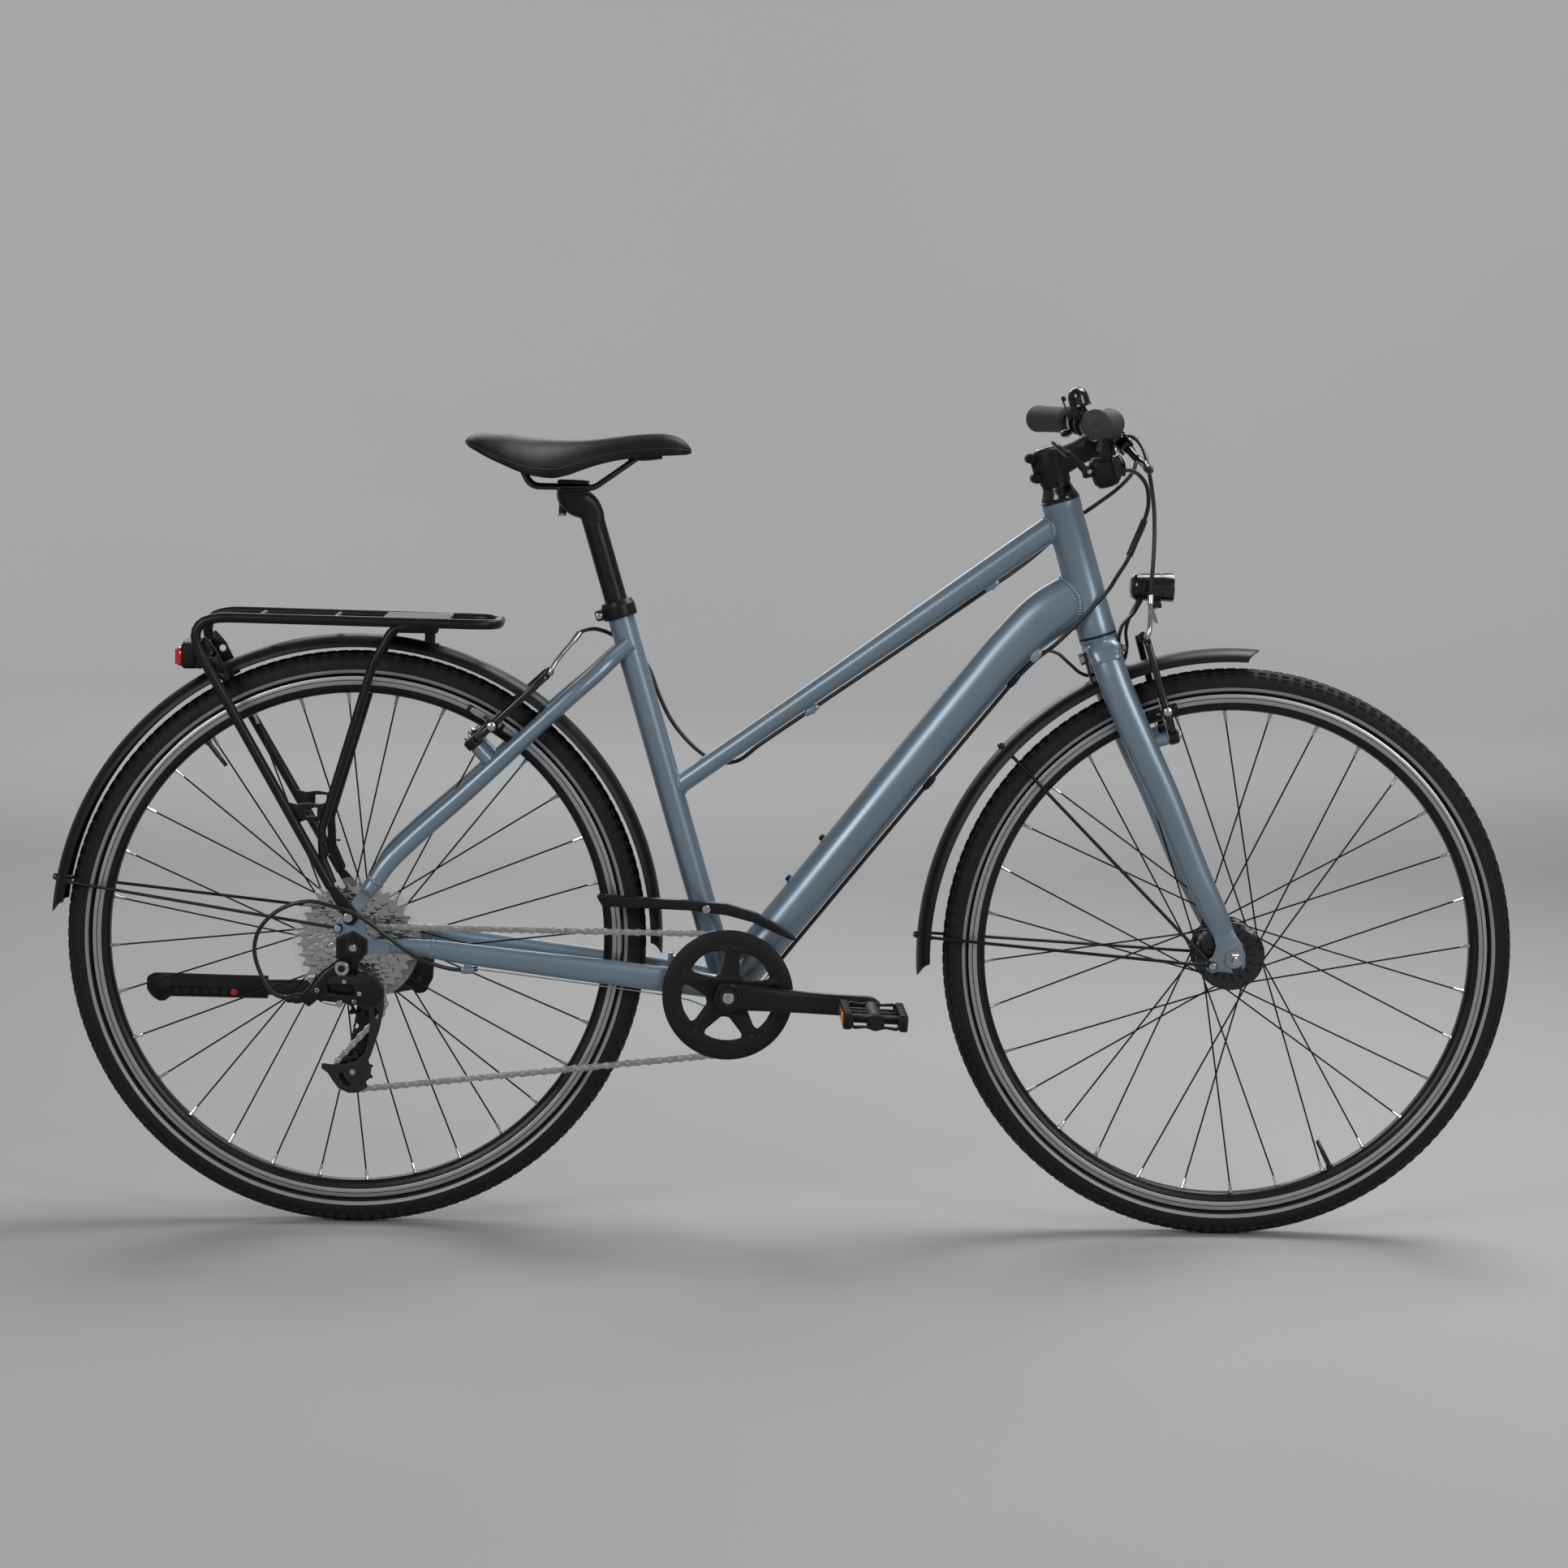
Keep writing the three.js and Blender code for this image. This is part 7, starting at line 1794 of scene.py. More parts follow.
# A black hexagon on the mount's face: painted shade in the bolt's socket.
derailleur.add(turned([(0, 0.2), (4.5, 0.2), (4.5, 1.2), (0, 1.2)], (MOUNT[0], -92.4, MOUNT[1]),
                      (0, -1, 0), 6), SHADE_AND_SEAM)
body = [(-12.6, -86, 326, 17, 22), (-27, -88, 318, 17, 17), (-38, -88.5, 306, 18, 17),
        (-46, -88, 294, 20, 18), (-55, -86, 285, 15, 17)]
derailleur.add(loft(body, 36, 3, per=6, round_ends=2), SATIN)
upper_link = [(-34, -91, 311, 10, 12), (-14, -90, 312, 12, 14), (6, -88, 311, 13, 15),
              (22, -84, 304, 13, 16)]
lower_link = [(-40, -89, 292, 12, 12), (-20, -90, 290, 12, 12), (2, -88, 288, 13, 12),
              (18, -84, 287, 13, 12)]
middle_link = [(-36, -82, 302, 8, 16), (-8, -82, 301, 9, 19), (18, -78, 297, 9, 20)]
for rows, paint in ((upper_link, GLOSS), (lower_link, SATIN), (middle_link, SATIN)):
    derailleur.add(loft(rows, 28, 3.2, per=6, round_ends=1.5), paint)
knuckle = soft_outline([(6, 320), (18, 320), (30.5, 312), (38, 301), (38.4, 290), (31, 282), (18, 279),
                        (8, 281), (3, 290), (0, 304)], 4)
derailleur.add(slab(knuckle, -94, -79, edge=2.2), SATIN)
derailleur.add(rod((22, -80, 295), (22, CAGE_OUTER, 292), 13, 32), SATIN)
cable_arm = [(-44, -90, 312, 6, 7), (-33, -93, 306, 7, 8), (-32, -92, 293, 7, 8), (-38, -90, 287, 7, 8)]
derailleur.add(loft(cable_arm, 20, 2.6, per=5, round_ends=1), SATIN)
derailleur.add(turned([(0, 0), (6.4, 0), (6.6, 3), (5.6, 9), (6.4, 10), (6.4, 17), (5.2, 18), (4.4, 26),
                       (0, 26)],
                      (-52, -87, 288.5), (-24, 3.0, -2.6), 24), MATTE)
for x, z, y, size in ((8.9, 295, -94, 3.0), (2.5, 285.5, -93, 2.6), (-9, 309.5, -96.2, 2.6),
                      (-14.6, 283, -95, 4.4), (-41, 299, -97, 3.0)):
    derailleur.add(bolt((x, y, z), (0, -1, 0), size, 1.8), STEEL)
derailleur.add(rod((-14.6, -84, 283), (-14.6, -95.2, 283), 4.0, 20), SATIN)
derailleur.add(tube([(-34, -90, 282.6), (-14.6, -92, 279.4)], 0.8, 8), STEEL)
cage_outline = soft_outline([
    (26, 296), (36.4, 290), (36.1, 270.8), (31.7, 248), (21.6, 216), (18.8, 211), (22.7, 199),
    (20.4, 188), (16, 184.7), (18.7, 178), (8.5, 171.3), (-4.4, 170.2), (-17.5, 176.6), (-25, 187),
    (-29.7, 194.3), (-37.2, 199.8), (-37.3, 206.4), (-26.2, 205.1), (-8.6, 206), (5.4, 209.6),
    (13.5, 218.6), (19.7, 244), (19.5, 266.7), (15, 280),
], 2.5, 4)
crescent = soft_outline([(-16.6, 193.5), (-14.5, 186.5), (-9.5, 181), (-3, 178.5), (-1.5, 182),
                         (-7, 185.6), (-10.5, 190), (-12, 195)], 1.2, 3)
slot = soft_outline([(25, 276), (29.6, 270), (30, 258), (26, 262)], 1.5, 3)
derailleur.add(slab(cage_outline, CAGE_OUTER - 2.2, CAGE_OUTER, [crescent, slot], 0.6), GLOSS)
inner_outline = soft_outline([
    (22, 292), (31, 282), (28, 250), (14, 216), (19, 198), (12, 182), (-1, 176), (-14, 183), (-20, 198),
    (-14, 212), (-4, 226), (2, 262), (5, 286)], 3, 4)
derailleur.add(slab(inner_outline, CAGE_INNER, CAGE_INNER + 1.8, [circle(3, 250, 3)], 0.5), SATIN)
for x, z in (GUIDE_PULLEY, TENSION_PULLEY):
    derailleur.add(rod((x, CAGE_OUTER - 1.8, z), (x, CAGE_INNER + 1.8, z), 2.5, 16), STEEL)
    derailleur.add(bolt((x, CAGE_OUTER - 2.2, z), (0, -1, 0), 3.7, 1.6), STEEL)
    derailleur.add(bolt((x, CAGE_INNER + 1.8, z), (0, 1, 0), 3.7, 1.6), STEEL)
derailleur.ride("frame", "derailleur", slot="satin_black")

for name, body, node, (x, z) in (("guide_pulley_toothed", "upper_pulley", "guide_pulley", GUIDE_PULLEY),
                                 ("tension_pulley_toothed", "lower_pulley", "tension_pulley",
                                  TENSION_PULLEY)):
    pulley = Piece(name)
    gaps = [soft_outline([(r * math.cos(t), r * math.sin(t)) for t, r in
                          ((m - 0.42, 9.4), (m - 0.42, 16), (m + 0.42, 16), (m + 0.42, 9.4))], 1.5, 3)
            for m in TAU * np.arange(5) / 5]
    disc = slab(toothed(PULLEY_TEETH), COG_PLANE - 1.1, COG_PLANE + 1.1, [circle(0, 0, 6.4), *gaps], 0.4)
    pulley.add(moved(disc, x, 0, z), MATTE)
    pulley.add(turned([(3.3, -4.2), (7.4, -4.2), (8, -3.6), (8, 3.6), (7.4, 4.2), (3.3, 4.2)],
                      (x, COG_PLANE, z), ring=True, sides=40), GLOSS)
    pulley.ride(body, node, slot="black_plastic", crease=28)

# %% [markdown]
# The chain guard is a flat moulded bar above the upper run of the chain. One outline gives it,
# as a thick plate with well rounded edges, and a lug ties it to the seat tube.

# %% Chain guard
guard = Piece("chain_guard_bar")
guard_outline = soft_outline([
    (286, 414), (335, 411), (397, 408), (444, 405), (482, 394), (507, 380), (529, 365), (526, 361),
    (507, 369), (476, 383), (444, 391), (398, 396), (335, 398), (295, 399),
], 3.5, 4)
guard.add(slab(guard_outline, -52, -40, edge=1.6), SATIN)
lug = [(426, -46, 400, 24, 11), (421, -30, 397, 24, 11), (416.6, -14, 396, 26, 11)]
guard.add(loft(lug, 32, 5, (1, 0, 0), 5), SATIN)
guard.add(bolt((420, -52, 398), (0, -1, 0), 5.2, 2.6), STEEL)
guard.ride("frame", "chain_guard", slot="black_plastic")

# %% [markdown]
# The cockpit sits on the steerer: a stem with two clamp bolts behind, a flat bar swept a
# little back, and on the bar the grips, the levers on their perches, the gear control and
# the bell. Levers and striker are pieces of their own, because each turns on its own pin.

# %% Bar and stem
BAR_HEIGHT, BAR_REACH = 642, 62
HALF_BAR = [np.array(p, float) for p in ((BAR_REACH, 35, BAR_HEIGHT), (66, 90, 662), (62, 180, 668.5),
                                         (31, 305, 678))]
BAR_SLOPE = np.array([-4 / 90, 1, 6.5 / 90])


def on_bar(y):
    """A place on the bar's straight run, by its distance to the left."""
    return HALF_BAR[1] + (y - 90) * BAR_SLOPE


bar = Piece("handlebar_bent", in_steering)
bar_route = [p * [1, -1, 1] for p in HALF_BAR[::-1]] + HALF_BAR
bar.add(tube(bar_route, 11.1, 32, bend=60, steps=10), SATIN)
bar.ride("steering", "handlebar", slot="satin_black")

stem = Piece("stem_forged", in_steering)
stem.add(turned([
    (15, 610.4), (18.2, 610.4), (18.6, 611), (18.6, 620), (19, 622), (19, 648.6), (18.4, 650.4),
    (17, 652.2), (15.4, 653), (0, 653),
], axis=(0, 0, 1), sides=72), MATTE)
stem.add(turned([(0, 652.8), (14.2, 652.8), (14.2, 653.9), (12.8, 654.6), (0, 654.6)], axis=(0, 0, 1),
                sides=64), GLOSS)
stem.add(bolt((0, 0, 654.2), (0, 0, 1), 4.4, 1.4), SATIN)
stem.add(loft([(4, 0, 632, 33, 36), (18, 0, 634.5, 31, 33), (36, 0, 638, 32, 30), (54, 0, 642, 39, 32)],
              48, 3.2, per=8), MATTE)
stem.add(turned([(11.6, -21), (17.6, -21), (19, -19.6), (19, 19.6), (17.6, 21), (11.6, 21)],
                (BAR_REACH, 0, BAR_HEIGHT), ring=True, sides=64), MATTE)
for s in (-1, 1):
    # A black strip in each clamp's slit: painted shade in the gap.
    stem.add(block((BAR_REACH + 3.4, BAR_REACH + 4.2), (-21.1, 21.1),
                   sorted((BAR_HEIGHT + s * 11.8, BAR_HEIGHT + s * 18.4)), 0.2, 1), SHADE_AND_SEAM)
    for y in (-14.5, 14.5):
        stem.add(loft([(BAR_REACH + 2, y, BAR_HEIGHT + s * 14.5, 11, 11),
                       (BAR_REACH + 14, y, BAR_HEIGHT + s * 13.5, 10, 10)],
                      24, 2.4, per=2, round_ends=1), MATTE)
        stem.add(bolt((BAR_REACH + 14.6, y, BAR_HEIGHT + s * 13.4), (1, 0, 0), 3.9, 2.4), STEEL)
for height in (BAR_HEIGHT - 20, BAR_HEIGHT + 4.6):
    stem.pair(turned([(0, 0.8), (5.6, 0.8), (6.2, 1.6), (6.2, 9.2), (5.4, 10.4), (3.4, 10.4),
                      (3.2, 8.6), (0, 8.6)],
                     (-22, 0, height), sides=36), MATTE)
    stem.pair(bolt((-22, 8.4, height), (0, 1, 0), 3.1, 1.2, 0.62), SATIN)
    stem.add(loft([(-14, 0, height, 19, 13), (-22, 0, height, 19, 10)], 28, 4, per=2), MATTE)
# A black strip in the steerer clamp's slit: painted shade in the gap.
stem.add(block((-22.9, -16), (-0.9, 0.9), (615, 652.4), 0.3, 1), SHADE_AND_SEAM)
stem.ride("steering", "stem", slot="satin_black")

# %% [markdown]
# Each grip is soft rubber with fine ribs round it and a flange at its inner end. A bump map
# would leave the outline smooth, so the ribs are part of the turned profile.

# %% Grips
GRIP_START, GRIP_END = HALF_BAR[2], HALF_BAR[3]
GRIP_RUN = np.linalg.norm(GRIP_END - GRIP_START)
for label, sign in (("left", 1), ("right", -1)):
    grip = Piece(f"grip_{label}_ribbed", in_steering)
    inner = GRIP_RUN - 116
    rows = [(11.7, inner), (16.4, inner), (17.5, inner + 1.2), (17.6, inner + 4), (16.4, inner + 6)]
    for k in range(26):
        rise = 15.6 + 0.9 * abs(k / 25 - 0.45)
        start = inner + 7 + 3.9 * k
        rows += [(rise, start), (rise + 0.55, start + 0.9), (rise + 0.55, start + 2.6), (rise, start + 3.5)]
    end = GRIP_RUN
    rows += [(16.6, end - 6), (17.3, end - 3), (17.3, end + 0.5), (16.6, end + 2.4), (14.6, end + 3.8),
             (2.2, end + 4.0), (1.6, end + 3.2), (0, end + 2.2)]
    shape = turned(rows, GRIP_START, GRIP_END - GRIP_START, 56)
    # The end of the grip has a black disc in its dimple: painted shade for the hole.
    hole_shade = turned([(0, 3.0), (1.7, 3.0), (1.7, 3.3), (0, 3.3)], GRIP_END, GRIP_END - GRIP_START, 16)
    for form, paint in ((shape, GRIP), (hole_shade, SHADE_AND_SEAM)):
        grip.add(form if sign > 0 else mirror(form), paint)
    grip.ride("steering", f"grip_{label}", slot="grip_rubber", crease=50)

# %% [markdown]
# A brake lever turns on a pin in its perch, a casting that is clamped round the bar. They are
# separate pieces, since only the lever moves. Both are drawn for the left hand and mirrored
# for the right, because a pair of brakes is made as mirror images.

# %% Brake levers on their perches
LEVER_PIVOT = np.array([74, 148, 638], float)
LEVER_AXIS = np.array([math.cos(math.radians(29.4)), 0, math.sin(math.radians(29.4))])
LEVER_HUB = 5.3


def perch_shapes():
    """The left perch: clamp ring, neck, two cheeks, pin and barrel adjuster."""
    middle = on_bar(148)
    ring = [(11.7, -10), (15.2, -10), (15.8, -9.4), (15.8, 9.4), (15.2, 10), (11.7, 10)]
    up = (LEVER_PIVOT - [64, 148, 660]) / np.linalg.norm(LEVER_PIVOT - [64, 148, 660])
    low = LEVER_PIVOT - up * 12.2
    shapes = [
        (turned(ring, middle, BAR_SLOPE, 48, ring=True), GLOSS),
        (block((36.5, 50), (141, 155), (654, 662), 2.4), GLOSS),
        (bolt((43.5, 148, 654.4), (0, 0, -1), 3.4, 2.0), STEEL),
        (loft([(66, 148, 656, 19, 18), (*low, 20, 19)], 32, 3.6, LEVER_AXIS, 4), GLOSS),
        (rod(LEVER_PIVOT - LEVER_AXIS * 9.2, LEVER_PIVOT + LEVER_AXIS * 9.2, 2.3, 20), STEEL),
        (turned([(2.9, 0), (7.6, 0), (8.2, 0.8), (8.2, 9), (5.4, 9), (5.2, 10.4), (2.9, 10.4)],
                (72.6, 138.6, 641.6), (0, -1, 0), 32, ring=True), GLOSS),
        (turned([(2.7, 0), (4.8, 0), (5.1, 0.6), (5.1, 5), (4.4, 6), (4.4, 11), (3.4, 12), (2.7, 12)],
                (73.6, 129.4, 641), (0, -1, 0), 24, ring=True), GLOSS),
    ]
    for side in (-1, 1):
        away = LEVER_AXIS * side * 7.5
        shapes.append((loft([
            (*(low - up * 3 + away), 3.4, 19), (*(LEVER_PIVOT + away), 3.4, 18),
            (*(LEVER_PIVOT + up * 6 + away), 3.2, 13),
        ], 28, 3, LEVER_AXIS, 5, 0.6), GLOSS))
        shapes.append((bolt(LEVER_PIVOT + LEVER_AXIS * side * 9.0, LEVER_AXIS * side, 3.4, 1.2), STEEL))
    return shapes


def lever_shapes():
    """The left lever: a bored hub, and a blade that hooks forward at its tip."""
    hub = [(2.9, -LEVER_HUB), (7.8, -LEVER_HUB), (8.5, 0.7 - LEVER_HUB), (8.5, LEVER_HUB - 0.7),
           (7.8, LEVER_HUB), (2.9, LEVER_HUB)]
    blade = [(77.4, 154.4, 631.6, 9, 13), (80.5, 164, 623.5, 9, 12.4), (84, 175, 617.6, 8.6, 12),
             (85, 205, 613, 8, 14.6), (84, 235, 612, 8, 14.8), (80.5, 258, 611, 8.2, 12.4),
             (79, 264, 611, 9, 13), (78, 268, 611, 7, 9)]
    return [(turned(hub, LEVER_PIVOT, LEVER_AXIS, 40, ring=True), GLOSS),
            (loft(blade, 36, 2.8, LEVER_AXIS, 6, 1.2), GLOSS)]


perch = Piece("brake_perch_left_cast", in_steering)
for shape, paint in perch_shapes():
    perch.add(shape, paint)
perch.ride("steering", "brake_perch_left", slot="satin_black")
for label, sign in (("left", 1), ("right", -1)):
    lever = Piece(f"brake_lever_{label}_blade", in_steering)
    for shape, paint in lever_shapes():
        lever.add(shape if sign > 0 else mirror(shape), paint)
    lever.ride(f"{label}_lever", f"brake_lever_{label}", slot="satin_black")

# %% [markdown]
# The gear control is a moulded pod under the bar beside the right perch. A thumb paddle swings
# on its own pin behind the pod. Boxy lofts give the pod its soft corners, and four thin rods
# are the ribs on the paddle.

# %% Gear control
POD_MIDDLE, POD_PIVOT = -135, (27, 620)
control = Piece("control_right_pod", in_steering)
for shape, paint in perch_shapes():
    control.add(mirror(shape), paint)
control.add(loft([(46, POD_MIDDLE, 599.5, 24, 25), (46, POD_MIDDLE, 603, 31, 31),
                  (46, POD_MIDDLE, 612, 33, 33), (46, POD_MIDDLE, 624, 33, 33),
                  (47, POD_MIDDLE, 630, 26, 26)], 44, 3.6, per=6, round_ends=1.5), MATTE)
control.add(turned([(0, 0), (12.4, 0), (12.8, 0.6), (11, 2.2), (6, 3.2), (0, 3.4)], (46, POD_MIDDLE, 599),
                   (0, 0, -1), 48), GLOSS)
control.add(loft([(58, -143, 654, 14, 12), (50, -139, 626, 16, 14)], 28, 3.4, per=5), MATTE)
pod_x, pod_z = POD_PIVOT
for y in (-8.1, 8.1):
    control.add(block((20, 33), sorted((POD_MIDDLE + y - 1.6, POD_MIDDLE + y + 1.6)), (613.4, 626.6),
                      1.2), MATTE)
    control.add(bolt((pod_x, POD_MIDDLE + y * 1.17, pod_z), (0, y, 0), 2.8, 1.2), STEEL)
control.add(rod((pod_x, POD_MIDDLE - 9, pod_z), (pod_x, POD_MIDDLE + 9, pod_z), 2, 16), STEEL)
control.add(loft([(60, -152.4, 606, 12, 5), (61.6, -152.4, 618, 15, 6), (60, -152.4, 628, 12, 5)], 28,
                 3, (1, 0, 0), 5, 1), GLOSS)
control.add(turned([(2.7, 0), (4.6, 0), (5, 0.7), (5, 6), (4.3, 7), (4.3, 11.6), (2.7, 12.4)],
                   (57.4, POD_MIDDLE + 15.4, 610), (10, 10, -1), 24, ring=True), GLOSS)
control.ride("steering", "control_right", slot="black_plastic")

thumb = Piece("shift_lever_paddle", in_steering)
thumb.add(turned([(2.6, -6), (6.4, -6), (7, -5.4), (7, 5.4), (6.4, 6), (2.6, 6)],
                 (pod_x, POD_MIDDLE, pod_z), ring=True, sides=40), MATTE)
thumb.add(loft([(22.6, POD_MIDDLE, 624.6, 8, 9), (16, POD_MIDDLE, 636, 8, 8),
                (8, POD_MIDDLE, 648, 11, 8)], 24, 3, per=5), MATTE)
thumb.add(loft([(9, POD_MIDDLE, 644, 10, 6), (5, POD_MIDDLE, 650, 20, 7), (0, POD_MIDDLE, 658, 21, 7),
                (-4, POD_MIDDLE, 665, 14, 5)],
               32, 2.4, per=6, round_ends=1.5), GLOSS)
for k in range(4):
    t = k / 3
    thumb.add(rod((1.2 - 4 * t, POD_MIDDLE - 7, 652 + 8 * t),
                  (1.2 - 4 * t, POD_MIDDLE + 7, 652 + 8 * t), 0.9, 8), MATTE)
thumb.ride("gear_lever", "shift_lever", slot="black_plastic")

# %% [markdown]
# The bell is a small dome on a post, clamped round the bar. Its striker is a sprung wire with
# a knob, on a pin at the foot of the dome, so it is a piece of its own. Dome and knob are
# turned profiles, and the wire is a swept tube.

# %% Bell and striker
BELL_Y = 108
bell_x, bell_base = on_bar(BELL_Y)[0], on_bar(BELL_Y)[2]
STRIKER_PIVOT = (50, 682)
bell = Piece("bell_dome", in_steering)
bell.add(turned([(11.7, -6), (14.6, -6), (15, -5.4), (15, 5.4), (14.6, 6), (11.7, 6)], on_bar(BELL_Y),
                BAR_SLOPE, 48, ring=True), MATTE)
bell.add(turned([(0, 13), (8.6, 13), (7, 17), (6, 19), (6, 26), (0, 26)], (bell_x, BELL_Y, bell_base),
                (0, 0, 1), 32), MATTE)
bell.add(turned([
    (0, 686.6), (12, 686.6), (12.4, 685.8), (13.8, 685.6), (14.1, 686.4), (13.3, 688), (13.0, 691),
    (12.9, 697), (12.4, 700.6), (11.2, 704), (9.0, 706.9), (6.2, 708.8), (3, 709.8), (0, 710),
], (bell_x, BELL_Y, 0), (0, 0, 1), 72), GLOSS)
for y in (-4.5, 4.5):
    bell.add(block((46.5, 58), sorted((BELL_Y + y - 1.1, BELL_Y + y + 1.1)), (674, 684.4), 0.7), MATTE)
bell.add(block((54.8, 62), (BELL_Y - 5.4, BELL_Y + 5.4), (674, 684.4), 1), MATTE)
bell.add(rod((STRIKER_PIVOT[0], BELL_Y - 5.4, STRIKER_PIVOT[1]),
             (STRIKER_PIVOT[0], BELL_Y + 5.4, STRIKER_PIVOT[1]), 1.5, 16), STEEL)
bell.ride("steering", "bell_body", slot="gloss_black")

striker = Piece("bell_striker_knob", in_steering)
x, z = STRIKER_PIVOT
striker.add(turned([(2, -3), (3.2, -3), (3.6, -2.6), (3.6, 2.6), (3.2, 3), (2, 3)], (x, BELL_Y, z),
                   ring=True, sides=28), MATTE)
striker.add(tube(flowing([(x - 2, BELL_Y, z + 2.6), (47.4, BELL_Y, 688), (46.4, BELL_Y, 694),
                          (46.6, BELL_Y, 701)], 6), 1.1, 12), GLOSS)
striker.add(turned([(0, 0), (2.6, 0.2), (3.6, 1.4), (3.7, 3), (3.2, 4.8), (1.8, 5.8), (0, 6)],
                   (44.5, BELL_Y, 701), (1, 0, 0), 28), GLOSS)
striker.ride("striker", "bell_striker", slot="bright_metal")

# %% [markdown]
# The front lamp stands on a bent strap at the fork crown, level with the ground. Its case is
# gloss black with turned grooves. A mirrored bowl and a clear lens close the front, and a
# small clear reflector hangs under the case.

# %% Front lamp
LAMP_AXIS = np.array([math.sin(HEAD_ANGLE), 0, -math.cos(HEAD_ANGLE)])
LAMP_FOOT = np.array([78.4, 0, 457]) - 26 * LAMP_AXIS
lamp = Piece("headlight_case", in_steering)
lamp.add(turned([
    (0, 0.4), (8, 0.2), (12.4, 1.4), (15.2, 4.4), (16.0, 7), (15.4, 7.6), (15.4, 8.6), (16.2, 9.2),
    (16.2, 11.2), (15.6, 11.8), (15.6, 12.8), (16.4, 13.4), (16.6, 24), (16.9, 36), (16.5, 36.6),
    (16.5, 37.4), (17.0, 38), (17.5, 50.4), (17.2, 52), (15.8, 52.2), (15.4, 50.4), (13, 44), (9, 40),
    (0, 38.6),
], LAMP_FOOT, LAMP_AXIS, 80), GLOSS)
lamp.add(turned([(15.2, 50.2), (12.8, 44.4), (8.8, 40.6), (0, 39.2)], LAMP_FOOT, LAMP_AXIS, 48), CHROME)
lamp.add(turned([(0, 50), (15.3, 50), (15.4, 50.8), (12, 52.2), (6, 53.0), (0, 53.2)], LAMP_FOOT,
                LAMP_AXIS, 64), LENS)
lamp.add(loft([(22.4, 0, 384, 16, 3), (22.6, 0, 402, 16, 3.2), (31, 0, 421, 14, 3.6),
               (50, 0, 434, 12, 4.4), (61, 0, 447, 12, 8)],
              28, 5, per=8, round_ends=0.8), SATIN)
lamp.add(block((69, 84), (-6.5, 6.5), (430, 440.6), 1.6), MATTE)
lamp.add(block((73, 79.5), (-13, 13), (414, 432.4), 1.2), LENS)
lamp.add(block((71.6, 73.4), (-13.4, 13.4), (413.6, 432.8), 0.7), STRIPE)
lamp.ride("steering", "headlight", slot="gloss_black")

# %% [markdown]
# The rim brakes are two long arms on studs, with a pad on each. A bright bent tube, the
# noodle, leads the cable into one arm, and the bare wire crosses to a clamp on the other.
# Front and rear are the same brake, drawn in steering measures and in the stay's own.

# %% Rim brakes
ARM_TOP = 121


def arm_shapes(at, half, foot, pad_x, pad_z, lean, holds_noodle):
    """The left arm with its pad. It is drawn for y > 0 and mirrored for the other side."""
    hub = turned([(4.6, -5.7), (8.6, -5.7), (9.5, -4.8), (9.5, 4.8), (8.6, 5.7), (4.6, 5.7)],
                 (at, half, foot), (1, 0, 0), 44, ring=True)
    blade = loft([
        (at, half + 8, foot + 7, 9, 9), (at, half + 7, foot + 24, 9.4, 14),
        (at, half + 5.5, foot + 50, 9, 12), (at, half + 4.5, foot + 90, 8.6, 11),
        (at, half + 1, foot + 114, 8.6, 12), (at, half - 1, foot + 120, 8, 10),
    ], 36, 3.2, (1, 0, 0), 6, 0.8)
    ahead = np.array([math.cos(lean), 0, math.sin(lean)])
    middle = np.array([pad_x, 19, pad_z])
    pad = loft([(*(middle + ahead * t), w, h) for t, w, h in
                ((-25, 8, 7), (-22, 10, 8), (-8, 10, 8), (8, 10, 8), (22, 10, 8), (25, 8, 7))], 28, 4, per=3)
    holder = loft([(*(middle + [0, 3.4, 0] + ahead * t), 4.6, h)
                   for t, h in ((-20, 6), (-14, 8), (14, 8), (20, 6))],
                  20, 4, per=3, round_ends=0.6)
    across_to = (at, half - 2, pad_z + 1)
    stud = tube(flowing([(pad_x, 22, pad_z), (pad_x, 30, pad_z), across_to, (at, half + 13, pad_z + 1)],
                        5), 3.2, 20)
    inner_washer = turned([(3.4, 0), (7, 0), (7.6, 1.2), (7.2, 4.4), (5.2, 6), (3.4, 6)],
                          (at, half - 7, pad_z + 1), sides=32, ring=True)
    outer_washer = turned([(3.4, 0), (5.8, 0), (7.4, 1.8), (7.6, 4.6), (3.4, 4.6)],
                          (at, half + 8.6, pad_z + 1), sides=32, ring=True)
    cap = turned([(0, 0), (5.4, 0), (5.8, 0.6), (5.8, 2.4), (4.8, 4.2), (2.6, 5.2), (0, 5.4)],
                 (at, half + 13.2, pad_z + 1), sides=32)
    spring = tube(flowing([(at - 6.4, half + 9, foot - 2), (at - 6.6, half + 12, foot + 20),
                           (at - 6.4, half + 9.6, foot + 52)], 6),
                  0.8, 8)
    shapes = [(hub, SATIN), (blade, GLOSS), (pad, MATTE), (holder, STRIPE if at < 0 else SATIN),
              (stud, STEEL), (inner_washer, SATIN), (outer_washer, SATIN), (cap, STEEL), (spring, STEEL)]
    top = foot + ARM_TOP
    if holds_noodle:
        shapes.append((block((at - 4.4, at + 4.4), (half - 5, half + 5), (top - 5, top + 1.6), 1.4), SATIN))
    else:
        shapes.append((bolt((at + 4.6, half - 1, top - 4), (1, 0, 0), 4.2, 3.0), STEEL))
        shapes.append((turned([(0, 0), (5, 0), (5, 1), (0, 1)], (at + 4, half - 1, top - 4), (1, 0, 0),
                              28), STEEL))
    return shapes


